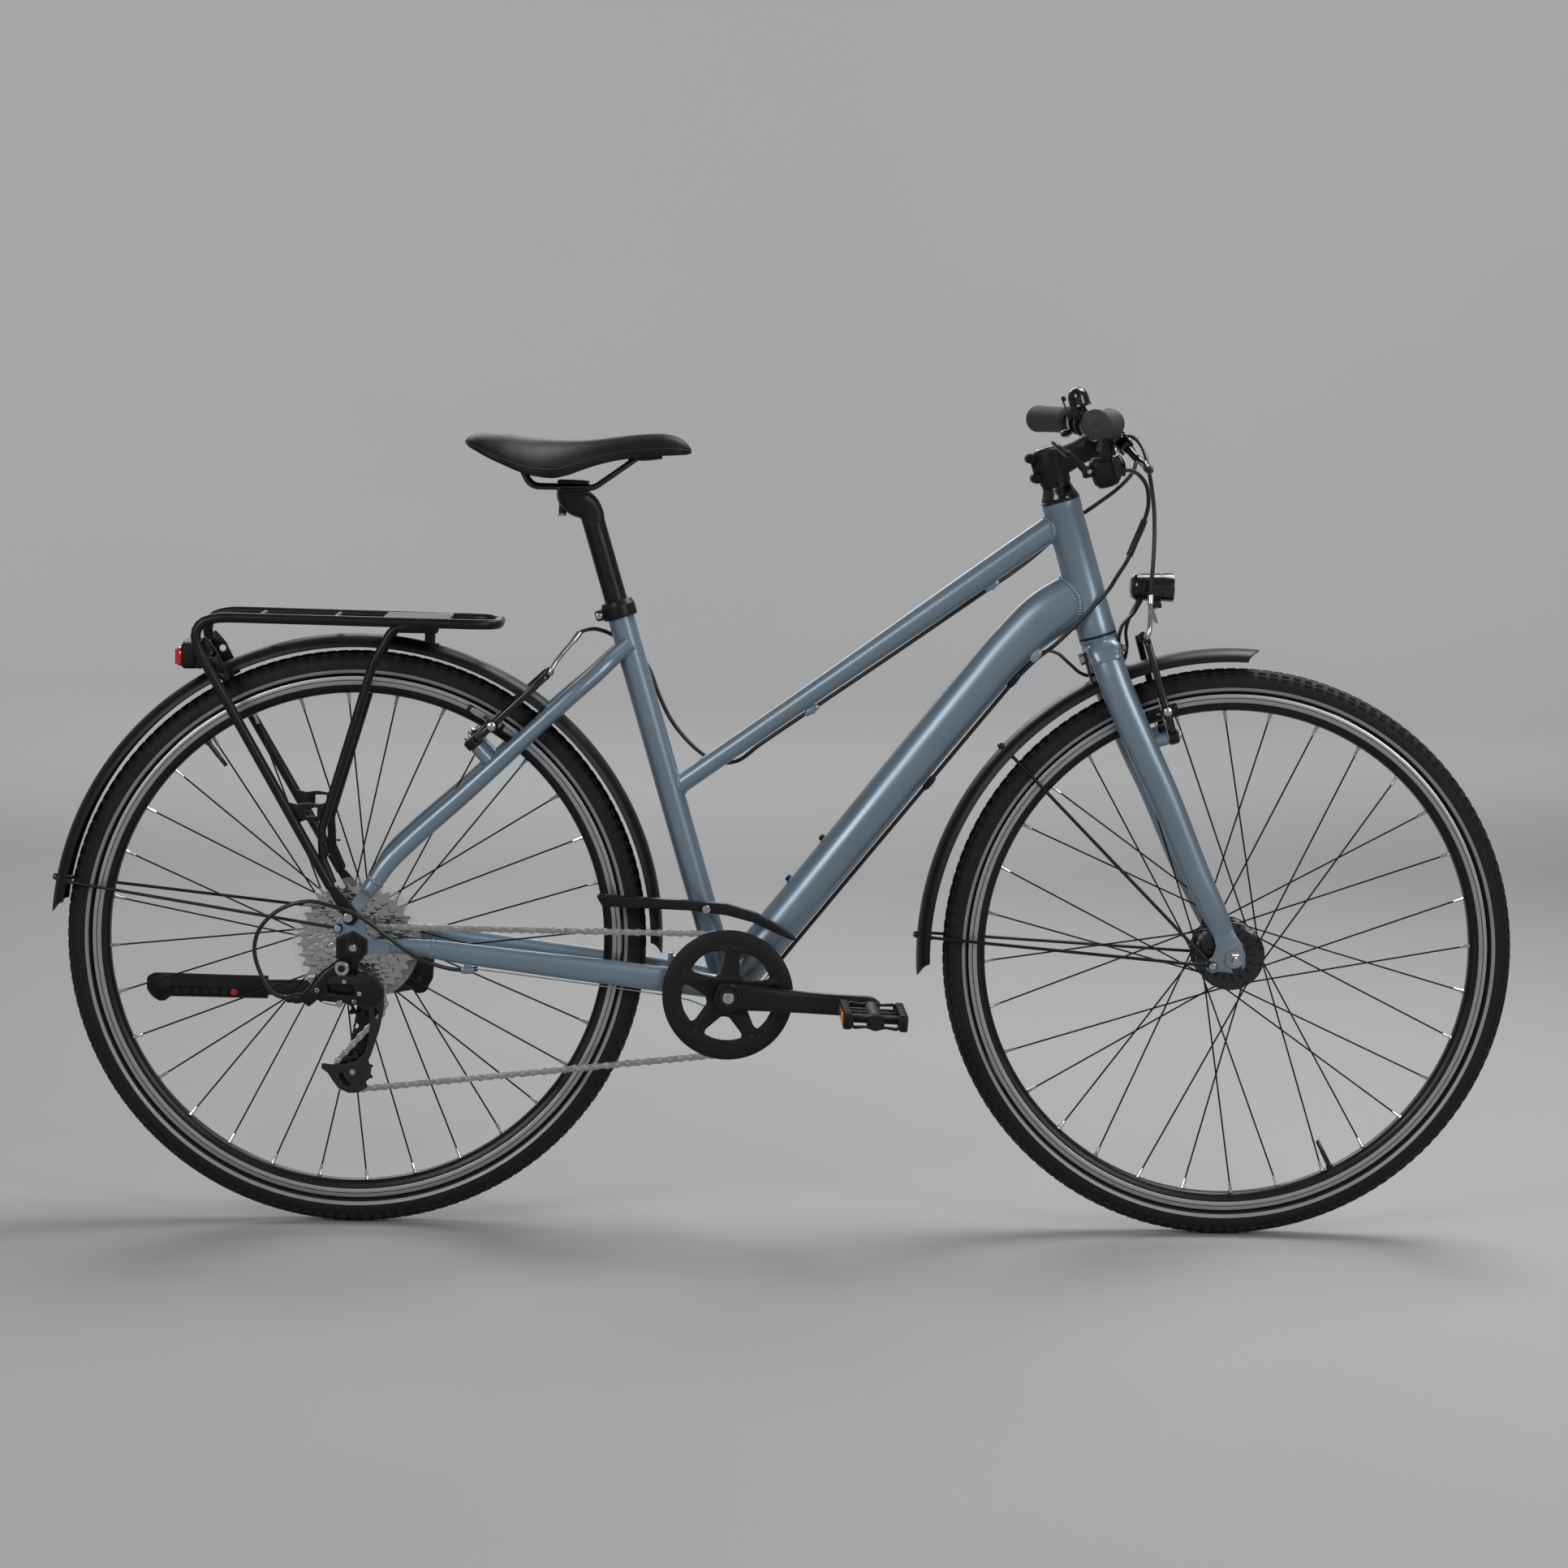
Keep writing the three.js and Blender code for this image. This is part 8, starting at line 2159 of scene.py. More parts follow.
FRONT_BRAKE = (*FRONT_STUD, 43, 311.2, math.radians(0.8))
REAR_BRAKE = (*REAR_STUD, -48.8, 30.2, math.radians(17.5))
for end, sizes, place in (("front", FRONT_BRAKE, in_steering), ("rear", REAR_BRAKE, in_rear_brake)):
    for label, sign in (("left", 1), ("right", -1)):
        arm = Piece(f"{end}_brake_{label}_arm", place)
        for shape, paint in arm_shapes(*sizes, sign < 0):
            arm.add(shape if sign > 0 else mirror(shape), paint)
        arm.ride(f"{end}_arm_{label}", f"{end}_brake_{label}", slot="satin_black")

# %% [markdown]
# Each cable follows its chosen points in a smooth curve. The outer housing is a black tube of
# constant thickness, the bare wire is thin steel, and short ferrules close each housing end.

# %% Cables
HOUSING, WIRE = 2.5, 1.0
CABLE_TOP = ARM_TOP + HOUSING + 1.3


def rear_arm(y):
    """The middle of the top of a rear brake arm, in the frame's measures."""
    x, z = REAR_BRAKE[0], CABLE_TOP
    c, s = math.cos(BRAKE_TURN), math.sin(BRAKE_TURN)
    return (BRAKE_X + x * c + z * s, y, BRAKE_Z - x * s + z * c)


def housing(piece, route, ends=(True, True)):
    path = flowing(route, 10)
    piece.add(tube(path, HOUSING, 18), CABLE)
    for wanted, tip, before in ((ends[0], path[0], path[3]), (ends[1], path[-1], path[-4])):
        if wanted:
            inward = (before - tip) / np.linalg.norm(before - tip)
            piece.add(turned([(0, -0.8), (2.9, -0.8), (3.1, -0.4), (3.1, 7), (2.6, 7.6), (0, 7.6)], tip,
                             inward, 20), GLOSS)


def noodle_shapes(route, boot_from, boot_to):
    """A bright bent tube, the wire that leaves it, and a ribbed boot over that wire."""
    boot = []
    ribs = 7
    for k in range(ribs):
        start = k / ribs
        boot += [(3.0 + 1.2 * start, start), (4.6, start + 0.5 / ribs)]
    length = boot_to[1] - boot_from[1]
    profile = [(0, 0)] + [(r, t * length) for r, t in boot] + [(2.2, length), (0, length)]
    return [(tube(flowing(route, 8), 2.9, 20), STEEL),
            (turned(profile, boot_from, (0, 1, 0), 24), CABLE),
            (rod(boot_from, boot_to, WIRE, 10), STEEL)]


rear_cable = Piece("rear_brake_cable_run")
housing(rear_cable, [
    steer(73.5, -122, 641.2), steer(84, -100, 637), steer(93, -70, 620), steer(92, -35, 603),
    steer(84, -5, 591), steer(68, 18, 580), steer(49, 28, 572), steer(30, 32, 565),
    steer(12, 33, 560), (822, 27, 838), (790, 18, 812), on_top_tube(757, 18.1, 5),
    on_top_tube(640, 17), on_top_tube(543, 15.8), on_top_tube(482, 15.2), (455, 10, 572),
    (430, 22, 569), (410, 27, 580), (392, 28, 596), (373, 27, 620), (358, 26, 650), (346, 26.5, 680),
    (331, 28, 701), (314, 26, 715), (302, 15, 721), (290, 0, 727), (276, -13, 730), (262, -24, 726),
    (256, -29, 718),
])
for shape, paint in noodle_shapes([(256, -29, 718), (243, -40, 703), (232, -50, 688), rear_arm(-52),
                                   rear_arm(-47), rear_arm(-37)],
                                  rear_arm(-37), rear_arm(-8)):
    rear_cable.add(shape, paint)
rear_cable.add(rod((262, -24.5, 726), (254, -30.5, 715.5), 3.8, 20), STEEL)
rear_cable.add(rod(rear_arm(-10), rear_arm(46), WIRE, 10), STEEL)
rear_cable.ride("frame", "rear_brake_cable", slot="cable_black",
                towards=("steering", (790, 18, 812), steer(49, 28, 572)))

front_at, _, front_foot = FRONT_BRAKE[:3]
front_top = front_foot + CABLE_TOP
front_cable = Piece("front_brake_cable_run", in_steering)
housing(front_cable, [
    (73.5, 122, 641.2), (83, 105, 641), (98, 80, 640), (110, 50, 635), (115, 30, 624), (114, 8, 605),
    (110, -8, 580), (104, -20, 550), (96, -28, 522), (84, -33, 487), (72, -35, 455), (69, -35, 445),
])
for shape, paint in noodle_shapes([(69, -35, 445), (63, -44, 428), (56, -52, 412),
                                   (front_at, -52, front_top), (front_at, -47, front_top),
                                   (front_at, -35, front_top)],
                                  (front_at, -35, front_top), (front_at, -6, front_top)):
    front_cable.add(shape, paint)
front_cable.add(rod((71, -35, 451), (67.5, -37, 441), 3.8, 20), STEEL)
front_cable.add(rod((front_at, -8, front_top), (front_at, 43, front_top), WIRE, 10), STEEL)
front_cable.ride("steering", "front_brake_cable", slot="cable_black")

gear_cable = Piece("gear_cable_run")
gear_front = [
    steer(66.4, -110.6, 609), steer(78, -98, 606), steer(90, -80, 596), steer(97, -64, 579),
    steer(94, -52, 556), steer(82, -44, 535), steer(68, -40, 517), steer(55, -38, 500),
    steer(38, -34, 484), steer(23, -30, 470), (835, -20, 724), on_down_tube(551, 34.5, -9),
    on_down_tube(511, 31.3), on_down_tube(480, 30.8), on_down_tube(350, 30), on_down_tube(200, 29.2),
    on_down_tube(60, 28.8),
]
housing(gear_cable, gear_front)
gear_cable.add(tube(flowing([steer(86, -46, 541), steer(82, -44, 535), steer(68, -40, 517),
                             steer(58, -38.5, 504)], 8), 4.1, 20), CABLE)
gear_cable.add(tube(flowing([
    on_down_tube(62, 28.8), on_down_tube(14, 29), (462, -2, 270.5), (444, -5, 269.5), (424, -12, 273),
    (400, -22, 283), (350, -34, 293), (198, -49, 314), (140, -56, 322),
], 6), WIRE * 0.8, 8), STEEL)
housing(gear_cable, [
    (146, -55.3, 321.2), (120, -60, 321), (92, -68, 329), (72, -79, 340), (41, -87, 363), (8, -89.5, 387),
    (-21, -89.5, 398), (-55, -88, 404), (-89, -85, 392), (-111, -83, 369), (-117, -82, 345),
    (-112, -81.5, 322), (-103, -82, 304), (-92, -83, 291), (-76, -84, 286),
])
gear_cable.ride("frame", "gear_cable", slot="cable_black",
                towards=("steering", (835, -20, 724), steer(55, -38, 500)))

light_wire = Piece("light_wire_run")
light_wire.add(tube(flowing([
    on_down_tube(505, 29.8, 8), on_down_tube(528, 31.2, 9), (826, 11, 713), (840, 13, 711), (855, 14, 699),
    (870, 14, 687), steer(-20, 14, 372.5), steer(0, 14, 376.3), steer(22, 13, 378), steer(31, 11, 392),
    steer(36, 9, 415), steer(47, 8, 432), steer(58, 7.6, 443.5),
], 8), 2.1, 14), CABLE)
light_wire.ride("frame", "light_wire", slot="cable_black",
                towards=("steering", (826, 11, 713), steer(-20, 14, 372.5)))

# %% [markdown]
# The mudguards are rolled strips with a crowned section and a thin bead along each edge. One
# section is carried round an arc. Wire stays hold them. Each runs up from an eyelet at the
# frame's end, crosses under the strip, is bolted to it there, and runs down to the other side.

# %% Mudguards
REAR_GUARD, FRONT_GUARD = TYRE_RADIUS + 20, TYRE_RADIUS + 28
GUARD_HALF, GUARD_DEPTH = 25, 15
TONGUE = 18
STAY_WIRE = 2


def guard_section():
    """(across, out) points round a crowned strip with rolled edges."""
    turn = np.radians(np.linspace(-86, 86, 27))
    y = (GUARD_HALF - 0.5) * np.sin(turn)
    drop = -GUARD_DEPTH * (1 - np.cos(turn) ** 0.9)
    low = drop[-1]
    bead = [(GUARD_HALF + 0.1, low - 0.8), (GUARD_HALF - 0.3, low - 1.5), (GUARD_HALF - 1.4, low - 1.4)]
    outer = list(zip(y, drop))
    inner = list(zip(y[::-1] * 0.94, drop[::-1] - 1.3))
    return outer + bead + inner + [(-a, b) for a, b in bead[::-1]]


def guard_strip(start, end, centre, radius):
    """The section carried round an arc. Both ends are cut as a tongue, longest in the middle."""
    y, out = np.array(guard_section()).T
    cut = TONGUE / radius * (y / GUARD_HALF) ** 2
    rings = []
    for share in np.linspace(0, 1, int(abs(end - start)) + 1):
        turn = (math.radians(start) + cut) * (1 - share) + (math.radians(end) - cut) * share
        rings.append(np.column_stack([centre[0] + (radius + out) * np.cos(turn), y,
                                      centre[1] + (radius + out) * np.sin(turn)]))
    return skin(rings)


def around(centre, turn, radius, y):
    return np.array([centre[0] + radius * math.cos(turn), y, centre[1] + radius * math.sin(turn)])


def wire_stay(piece, eye, centre, angle, radius):
    """A wire from eyelet to eyelet. It crosses under the strip, and a knob holds it there."""
    turn = math.radians(angle)
    low, side = radius - GUARD_DEPTH - 3, GUARD_HALF - 3.5
    inside = radius - STAY_WIRE - 1.8
    route = [(eye[0], -eye[1], eye[2]), around(centre, turn, low, -side),
             around(centre, turn, inside - 4, -13), around(centre, turn, inside, -7),
             around(centre, turn, inside, 7), around(centre, turn, inside - 4, 13),
             around(centre, turn, low, side), eye]
    piece.add(tube(route, STAY_WIRE, 14, bend=4, steps=5), SATIN)
    outward = around(centre, turn, 1, 0) - around(centre, turn, 0, 0)
    piece.add(turned([(0, 0), (4.4, 0), (4.4, 2.4), (3.4, 4.6), (1.6, 5.4), (0, 5.4)],
                     around(centre, turn, radius - 0.4, 0), outward, 24), GLOSS)
    piece.add(nut(around(centre, turn, inside + 0.6, 0), -outward, 4.4, 3.4), SATIN)
    for side_y in (-side, side):
        piece.add(block((-2.6, 2.6), (-2.4, 2.4), (-3.4, 3.4), 0.8), SATIN,
                  clip_place(around(centre, turn, radius - GUARD_DEPTH + 0.6, side_y), turn))


def clip_place(at, turn):
    """Measures of a small clip: round the wheel, across, and outwards."""
    def place(points):
        x, y, z = np.asarray(points, float).T
        c, s = math.cos(turn), math.sin(turn)
        return in_frame(np.column_stack([at[0] - x * s + z * c, at[1] + y, at[2] + x * c + z * s]))
    return place


def eyelets(piece, x, z, inner):
    piece.pair(turned([(0, 0), (5, 0), (5.4, 0.5), (5.4, 6), (5, 6.6), (0, 6.6)], (x, inner, z),
                      sides=32), SATIN)
    piece.pair(bolt((x, inner + 6.4, z), (0, 1, 0), 4.4, 2.6), STEEL)


rear_guard = Piece("rear_mudguard_rolled")
rear_guard.add(guard_strip(-2, 176, (0, AXLE_Z), REAR_GUARD), GUARD)
rear_guard.ride("frame", "rear_mudguard", slot="gloss_black")
rear_stays = Piece("rear_wire_stays")
wire_stay(rear_stays, (-19, 76.8, 371), (0, AXLE_Z), 169.5, REAR_GUARD)
eyelets(rear_stays, -19, 371, 73.8)
rear_stays.ride("frame", "rear_mudguard_stays", slot="satin_black")

FRONT_CENTRE_XZ = (WHEELBASE - 4, AXLE_Z - 4)
front_guard = Piece("front_mudguard_rolled")
front_guard.add(guard_strip(85.5, 184.5, FRONT_CENTRE_XZ, FRONT_GUARD), GUARD)
front_guard.add(block((-22.8, -20.6), (-9, 9), (365, 404), 0.8), SATIN, in_steering)
front_guard.ride("steering", "front_mudguard", slot="gloss_black")
front_stays = Piece("front_wire_stays")
for lift, angle in ((0, 177), (1, 138)):
    wire_stay(front_stays, (WHEELBASE - 27, 59.5, AXLE_Z - 8 + lift), FRONT_CENTRE_XZ, angle, FRONT_GUARD)
eyelets(front_stays, WHEELBASE - 27, AXLE_Z - 8, 56.5)
front_stays.ride("steering", "front_mudguard_stays", slot="satin_black")

# %% [markdown]
# The rack is one bent loop from dropout to dropout, with a leg on each side, two rungs and a
# plate deck in front. Punched side plates tie the leg to the loop. The tail lamp sits on a
# flat bar across the back, as a black case with a red lens and a clear strip above it.

# %% Rack
RACK_TUBE, RACK_TOP, RACK_HALF = 6, 739, 62
RACK_FOOT = (-6.7, 384.2)
LAMP_BACK = -190
FOOT_Y = 73.8 + RACK_TUBE
rack = Piece("rear_rack_welded")
rack.add(tube([
    (-27.6, -78, 420), (-211, -RACK_HALF, RACK_TOP - 1), (165, -RACK_HALF + 2, RACK_TOP - 4),
    (165, RACK_HALF - 2, RACK_TOP - 4), (-211, RACK_HALF, RACK_TOP - 1), (-27.6, 78, 420),
], RACK_TUBE, 24, bend=34, steps=9), SATIN)
rack.pair(tube([
    (84, RACK_HALF - 2, RACK_TOP - 2), (40, RACK_HALF - 1, RACK_TOP - 12), (18, RACK_HALF + 1, 686),
    (-40, RACK_HALF + 6, 488), (-38, RACK_HALF + 8, 452), (-26, RACK_HALF + 10, 424),
], RACK_TUBE - 0.8, 22, bend=18, steps=7), SATIN)
gusset = soft_outline([(-86, 521.5), (-70, 517.5), (-57, 519.5), (-44, 517.5), (-28, 522.5), (-36, 500),
                       (-46, 497), (-60, 498.5), (-68, 495), (-74, 499)], 2.4, 4)
window = soft_outline([(-59, 503.5), (-45.5, 503.5), (-45.5, 514.5), (-59, 514.5)], 1.2, 3)
rack.pair(slab(gusset, RACK_HALF + 3.5, RACK_HALF + 6.5, [window], 0.6), SATIN)
foot_x, foot_z = RACK_FOOT
foot_plate = soft_outline([(-43.4, 438), (-30, 428), (-19, 418), (-6.8, 404.6), (3.6, 391), (5.6, 382),
                           (-1, 374.4), (-10.6, 375.6), (-14, 388.3), (-18.4, 394.4)], 4, 4)
rack.pair(slab(foot_plate, PLATE_OUTER + 0.3, FOOT_Y - 0.6, [], 1.4), SATIN)
rack.pair(bolt((foot_x, FOOT_Y - 0.7, foot_z), (0, 1, 0), 6, 3.4, 0.45), STEEL)
weld_pip = bead(2.6, 3.4, 1.8)
for x, z in ((-36, 470), (-42, 482), (-31, 458), (76, RACK_TOP - 8), (60, RACK_TOP - 10),
             (46, RACK_TOP - 12)):
    rack.pair(moved(weld_pip, x, RACK_HALF + (13 if z < 600 else 3.6), z), SATIN)
for x in (-120, -30):
    rack.add(rod((x, -RACK_HALF, RACK_TOP - 2.4), (x, RACK_HALF, RACK_TOP - 2.4), 3.6, 20), MATTE)
deck_outline = soft_outline([
    (28, -RACK_HALF), (108, -RACK_HALF), (108, RACK_HALF), (28, RACK_HALF),
], 5)
points, faces = slab(deck_outline, RACK_TOP - 5, RACK_TOP + 2, edge=0.8)
rack.add((points[:, [0, 2, 1]], faces), MATTE)
rack.add(block((38, 92), (-13, 13), (RACK_TOP - 19, RACK_TOP - 1), 3), SATIN)
rack.add(block((76, 88), (-11, 11), (RACK_TOP - 33, RACK_TOP - 10), 2), SATIN)
rack.add(block((70, 93), (-12, 12), (RACK_TOP - 35, RACK_TOP - 31.5), 1.2), SATIN)
rack.add(block((LAMP_BACK, LAMP_BACK + 6), (-RACK_HALF - 1, RACK_HALF + 1), (676, 704), 1.2), SATIN)
fin = soft_outline([(-186, 706), (-182, 716), (-168, 700), (-150, 664), (-158, 660), (-176, 676)], 3)
rack.pair(slab(fin, RACK_HALF - 7.5, RACK_HALF - 4.5, [circle(-172, 693, 4), circle(-161, 673, 3.4)],
               0.6), SATIN)
rack.ride("frame", "rear_rack", slot="satin_black")

tail = Piece("tail_light_lens")
for rows, power, paint in (
    (((0.3, 690, 88, 31), (8, 690, 92, 34), (18, 690, 92, 34), (20, 690, 88, 31)), 5, MATTE),
    (((18, 688, 84, 26), (24, 688, 82, 25.4), (27.6, 688, 75, 21), (28.4, 688, 64, 15)), 4, RED),
    (((18, 703.4, 80, 3.6), (23.4, 703, 76, 3.2)), 4, LENS),
):
    stations = [(LAMP_BACK - back, 0, z, wide, tall) for back, z, wide, tall in rows]
    tail.add(loft(stations, 56, power, per=4, round_ends=0.8), paint)
for k in range(9):
    rib_at = 9 * (k - 4)
    tail.add(block((LAMP_BACK - 28.6, LAMP_BACK - 27), (rib_at - 0.8, rib_at + 0.8), (679, 697), 0.4,
                   1), RED)
tail.pair(rod((LAMP_BACK - 1, 22, 690), (LAMP_BACK + 9, 22, 690), 3, 16), STEEL)
tail.ride("frame", "tail_light", slot="red_lens")

# %% [markdown]
# The kickstand hangs from a plate that is bolted to the left stays, and it turns on a slanting
# hub. It is shown folded back, as in the photograph. The leg is one boxy loft. Its foot is a
# cast sleeve with a section of its own, so that is a skin over rings, with a row of holes.

# %% Kickstand
STAND_PIVOT = np.array([71, 80, 285], float)
STAND_AXIS = np.array([0, math.cos(math.radians(17.2)), math.sin(math.radians(17.2))])
STAND_HUB = 15


def on_stand(distance):
    return STAND_PIVOT + distance * STAND_AXIS


bracket = Piece("kickstand_clamp")
flange = soft_outline([(40, 336), (90, 332), (87.6, 290), (85.8, 286), (79.4, 279.4), (70, 277.8),
                       (60, 279), (50, 284), (44, 300)], 3)
bracket.add(slab(flange, 60, 74.7, [circle(62, 326, 3)], 1.4), SATIN)
bracket.add(block((56, 84), (73.2, 76.4), (324, 348), 1.4), SATIN)
bracket.add(rod(on_stand(-14), on_stand(-0.3), 11.6, 40), SATIN)
bracket.add(rod(on_stand(-3), on_stand(STAND_HUB + 2), 4, 24), STEEL)
for x, z in ((63, 341), (77, 341), (62, 300)):
    bracket.add(bolt((x, 76.2 if z > 320 else 74.6, z), (0, 1, 0), 4.6, 3), STEEL)
bracket.add(bolt((71, 60.2, 290), (0, -1, 0), 4.6, 2), GLOSS)
bracket.ride("frame", "kickstand_bracket", slot="satin_black")

leg = Piece("kickstand_leg_cast")
hub_ring = [(4.4, 0), (12.4, 0), (13.4, 1), (13.4, STAND_HUB - 1), (12.4, STAND_HUB), (4.4, STAND_HUB)]
leg.add(turned(hub_ring, STAND_PIVOT, STAND_AXIS, 56, ring=True), SATIN)
_, leg_y, leg_z = on_stand(STAND_HUB / 2)
leg.add(loft([
    (57, leg_y + 2, leg_z - 4.5, STAND_HUB - 1, 25), (30, leg_y + 3, 278, STAND_HUB - 1, 25),
    (-64, leg_y + 5, 272.4, STAND_HUB - 1, 25), (-67, leg_y + 5, 271.6, STAND_HUB - 1, 20.4),
    (-122, leg_y + 5.5, 271, STAND_HUB - 1, 20),
], 40, 3.4, STAND_AXIS, 6, 1), GLOSS)
sleeve_y = leg_y + 5.8


def sleeve_ring(x, size, middle, spread=1.0):
    """One section of the cast sleeve: a sloping upper face over an upright one with the holes."""
    corners = [(-9.2, 0.6), (-7.4, 3.4), (-0.6, 12.4), (2, 13.9), (5, 13.4), (9, 10), (9.8, 8), (9.8, -8),
               (8.6, -12), (6.6, -13.8), (-3.6, -13.8), (-5.4, -12.4), (-8.9, -1.4)]
    return [(x, sleeve_y + y * size * spread, middle + z * size) for y, z in corners]


leg.add(skin([sleeve_ring(*row) for row in (
    (-117, 0.93, 270.8), (-117.8, 1, 270.8), (-160, 1, 271), (-200, 1.01, 271.5), (-238, 1.03, 271.9),
)]), SATIN)
leg.add(skin([sleeve_ring(*row) for row in (
    (-236, 1.0, 271.6), (-239, 1.1, 270.8, 1.05), (-243, 1.22, 269.2, 1.1), (-250, 1.24, 269, 1.1),
    (-258, 1.08, 271, 1.0), (-264, 0.72, 272.6, 0.9), (-266, 0.5, 273, 0.8),
)]), MATTE)
face_out = np.array([0, -math.cos(math.radians(17)), -math.sin(math.radians(17))])
for k in range(7):
    for out in (face_out, np.array([0, 1, 0])):
        x = -228.4 + 11.7 * k
        at = np.array([x, sleeve_y - 7.4, 264.9]) if out[1] < 0 else np.array([x, sleeve_y + 9.2, 266.5])
        # Each hole in the sleeve is a black disc: painted shade. The last one is a red mark.
        paint, radius, length = (RED_DOT, 4.3, 0.9) if k == 6 else (SHADE_AND_SEAM, 4.2, 0.8)
        hole_shade = [(0, 0), (radius, 0), (radius, length * 0.6), (radius - 0.6, length), (0, length)]
        leg.add(turned(hole_shade, at, out, 24), paint)
leg.add(bolt(on_stand(STAND_HUB + 1.4), STAND_AXIS, 7, 3.2), STEEL)
leg.ride("kickstand", "kickstand_leg", slot="satin_black")

# %% [markdown]
# The seat post is a plain black tube with a scale punched along its back, and a head that
# leans rearwards and clamps the saddle's two rails between plates.

# %% Seat post
RAIL_HEIGHT, RAIL_SPREAD, RAIL_RADIUS = 899, 22, 3.5
POST_TOP = (RAIL_HEIGHT - BRACKET_Z) / math.sin(SEAT_ANGLE) - 18
CLAMP_X = on_seat(POST_TOP)[0] - 17.5
post = Piece("seatpost_drawn")
post.add(rod(on_seat(SEAT_TUBE_LENGTH - 130), on_seat(POST_TOP - 6), 13.6, 56), SATIN)
post.add(loft([
    (*on_seat(POST_TOP - 26), 26.8, 26.8), (*on_seat(POST_TOP - 16, 0, 0.4), 27, 29),
    (*on_seat(POST_TOP - 6, 0, -3), 29, 33), (CLAMP_X + 3, 0, RAIL_HEIGHT - 15, 40, 38),
    (CLAMP_X, 0, RAIL_HEIGHT - 9, 48, 40), (CLAMP_X, 0, RAIL_HEIGHT - 4, 50, 40),
], 44, 3.2, per=6), SATIN)
post.add(block((CLAMP_X - 17, CLAMP_X + 17), (-18, 18), (RAIL_HEIGHT - 8, RAIL_HEIGHT + 4), 2), SATIN)
post.add(loft([(CLAMP_X - 18.5, 0, RAIL_HEIGHT + 5, 48, 3), (CLAMP_X - 17, 0, RAIL_HEIGHT + 6, 52, 5),
               (CLAMP_X + 17, 0, RAIL_HEIGHT + 6, 52, 5), (CLAMP_X + 18.5, 0, RAIL_HEIGHT + 5, 48, 3)],
               40, 4, per=4), SATIN)
post.pair(rod((CLAMP_X - 15, 25, RAIL_HEIGHT - 3), (CLAMP_X + 15, 25, RAIL_HEIGHT - 3), 2.4, 16), SATIN)
post.add(rod((CLAMP_X - 13, 0, RAIL_HEIGHT - 32), (CLAMP_X - 12, 0, RAIL_HEIGHT - 9), 4.5, 24), SATIN)
post.add(bolt((CLAMP_X - 13.2, 0, RAIL_HEIGHT - 32), (0, 0, -1), 5.4, 3), STEEL)
back = np.array([-math.sin(SEAT_ANGLE), 0, -math.cos(SEAT_ANGLE)])
for k in range(9):
    for side in (-1, 1):
        lean = math.radians(22) * side
        out = back * math.cos(lean) + np.array([0, math.sin(lean), 0])
        at = np.array(on_seat(SEAT_TUBE_LENGTH + 12 + 9.6 * k)) + out * 13.55
        post.add(turned([(0, 0), (0.8, 0), (0.8, 0.2), (0, 0.2)], at, out, 10), STRIPE)
post.ride("seat", "seatpost", slot="satin_black", crease=40)

# %% [markdown]
# The saddle is foam under a tight synthetic cover, on a moulded shell. The foam is a smooth
# closed form: wide and slightly dished behind, narrow and rounded at the nose, with sides
# that roll under. Each row of numbers gives its half width, its top and its lower edge at one
# place along it, read from the side view. A sewn seam runs round it above the edge.

# %% Saddle
SADDLE_ROWS = [
    (122.0, 30, 953.0, 947.5), (127.0, 50, 958.6, 942.6), (136.0, 66, 961.6, 938.0),
    (150.0, 77, 962.4, 930.8), (171.0, 83, 961.6, 921.8), (186.0, 82, 959.8, 915.6),
    (203.0, 77, 957.8, 910.6), (226.0, 62, 956.4, 907.8), (243.0, 50, 955.8, 911.0),
    (260.0, 40, 956.0, 917.2), (276.0, 33, 957.0, 922.8), (297.0, 27.5, 959.8, 928.4),
    (318.0, 24.6, 962.8, 932.2), (340.0, 22.8, 965.0, 934.8), (356.0, 21.6, 965.6, 936.2),
    (372.0, 19.4, 962.6, 937.2), (384.0, 15, 956.0, 938.2), (391.0, 8.5, 947.6, 940.2),
]


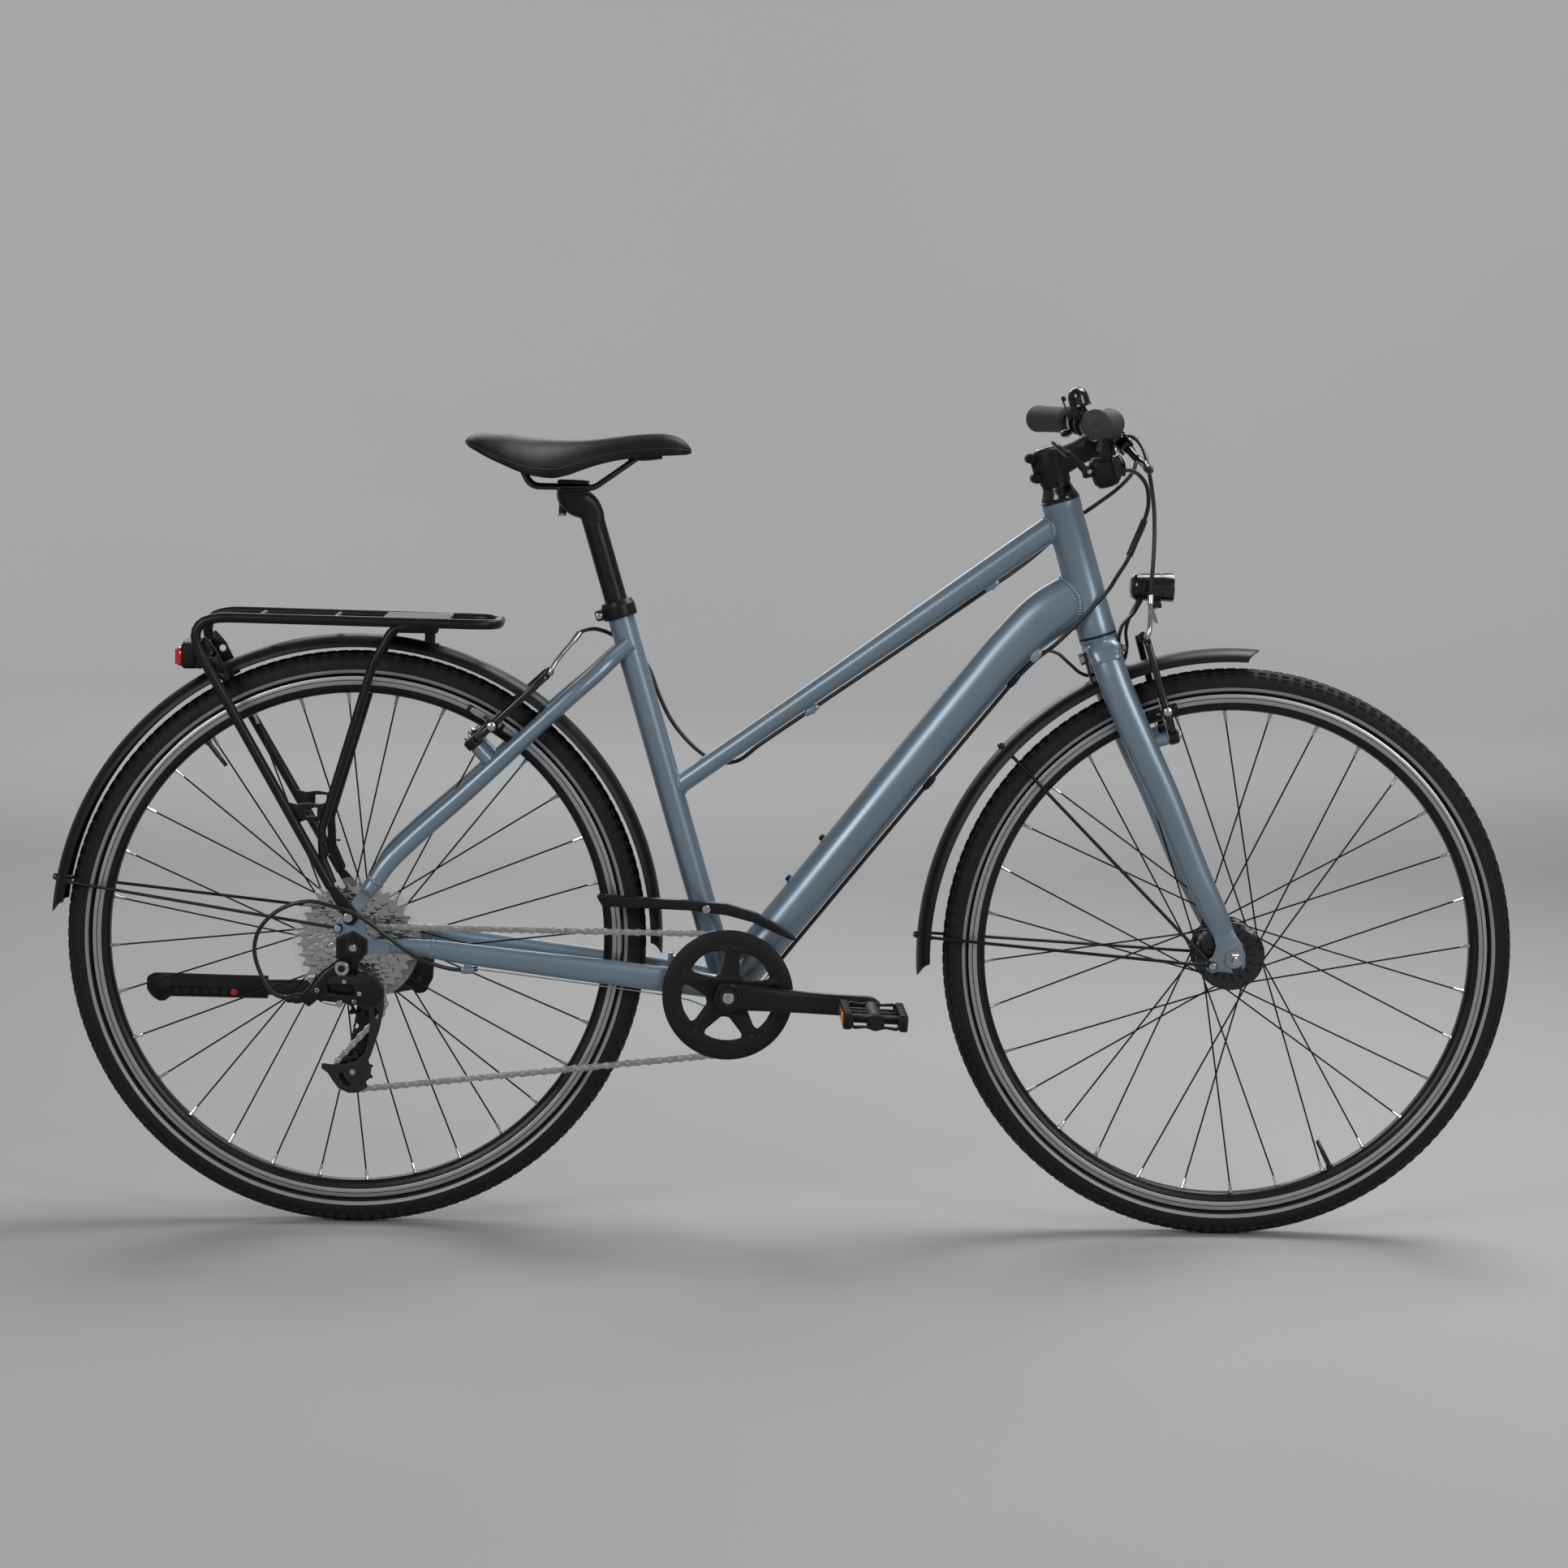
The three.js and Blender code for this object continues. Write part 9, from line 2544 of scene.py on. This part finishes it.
def saddle_rings(per=5, around_count=44):
    rows = smooth_rows([(x, 0, 0, half, top, low) for x, half, top, low in SADDLE_ROWS], per)
    rings = []
    for x, _, _, half, top, low in rows:
        tall, belly = top - low, min(10, (top - low) * 0.35)
        dish = 1.6 * math.exp(-((x - 190) / 45) ** 2)
        ring = []
        for k in range(around_count):
            turn = TAU * (k + 0.5) / around_count
            c, s = math.cos(turn), math.sin(turn)
            y = half * math.copysign(abs(s) ** 0.82, s)
            if c >= 0:
                crown = (tall - 3) * c ** (0.62 + 0.5 * half / 83)
                z = low + 3 + crown - dish * math.exp(-(y / 14) ** 2) * c
            else:
                z = low + 3 - 3 * abs(c) ** 0.6 + belly * abs(c) ** 1.5
                y *= 0.985
            ring.append((x, y, z))
        rings.append(ring)
    return np.array(rings)


rings = saddle_rings()
saddle = Piece("saddle_cover_foam")
saddle.add(skin(rings), LEATHER)
edge_rows = rings[3:-3]
for side in (-1, 1):
    # Each seam is a thin line in the shade-and-seam black: the seam's own dark joint and the shade in its
    # groove.
    index = 9 if side > 0 else len(rings[0]) - 10
    seam = edge_rows[:, index] + [0, side * 0.1, 0]
    saddle.add(tube(seam, 0.7, 8), SHADE_AND_SEAM)
cover = saddle.ride("seat", "saddle", slot="saddle_cover", crease=60)

shell = Piece("saddle_shell_and_rails")
for sign in (-1, 1):
    rail = [(CLAMP_X - 66, sign * (RAIL_SPREAD + 7), RAIL_HEIGHT + 29),
            (CLAMP_X - 51, sign * RAIL_SPREAD, RAIL_HEIGHT),
            (CLAMP_X + 25, sign * RAIL_SPREAD, RAIL_HEIGHT), (CLAMP_X + 79, sign * 12, RAIL_HEIGHT + 39)]
    shell.add(tube(rail, RAIL_RADIUS, 20, bend=18, steps=7), GLOSS)
shell.add(loft([
    (CLAMP_X - 84, 0, 930, 78, 7), (CLAMP_X - 66, 0, 926, 84, 9), (CLAMP_X - 52, 0, 923, 70, 7),
], 36, 4, per=4, round_ends=1.5), MATTE)
shell.add(loft([
    (CLAMP_X + 66, 0, 936, 32, 8), (CLAMP_X + 84, 0, 936.6, 34, 9), (CLAMP_X + 104, 0, 938, 30, 7),
], 32, 4, per=4, round_ends=1.5), MATTE)
shell.ride("seat", slot="black_plastic")

# %% [markdown]
# Last, the number of triangles in all the new pieces is printed.

# %% The count and the end
print(sum(totals.values()), "triangles in", len(totals), "new pieces")
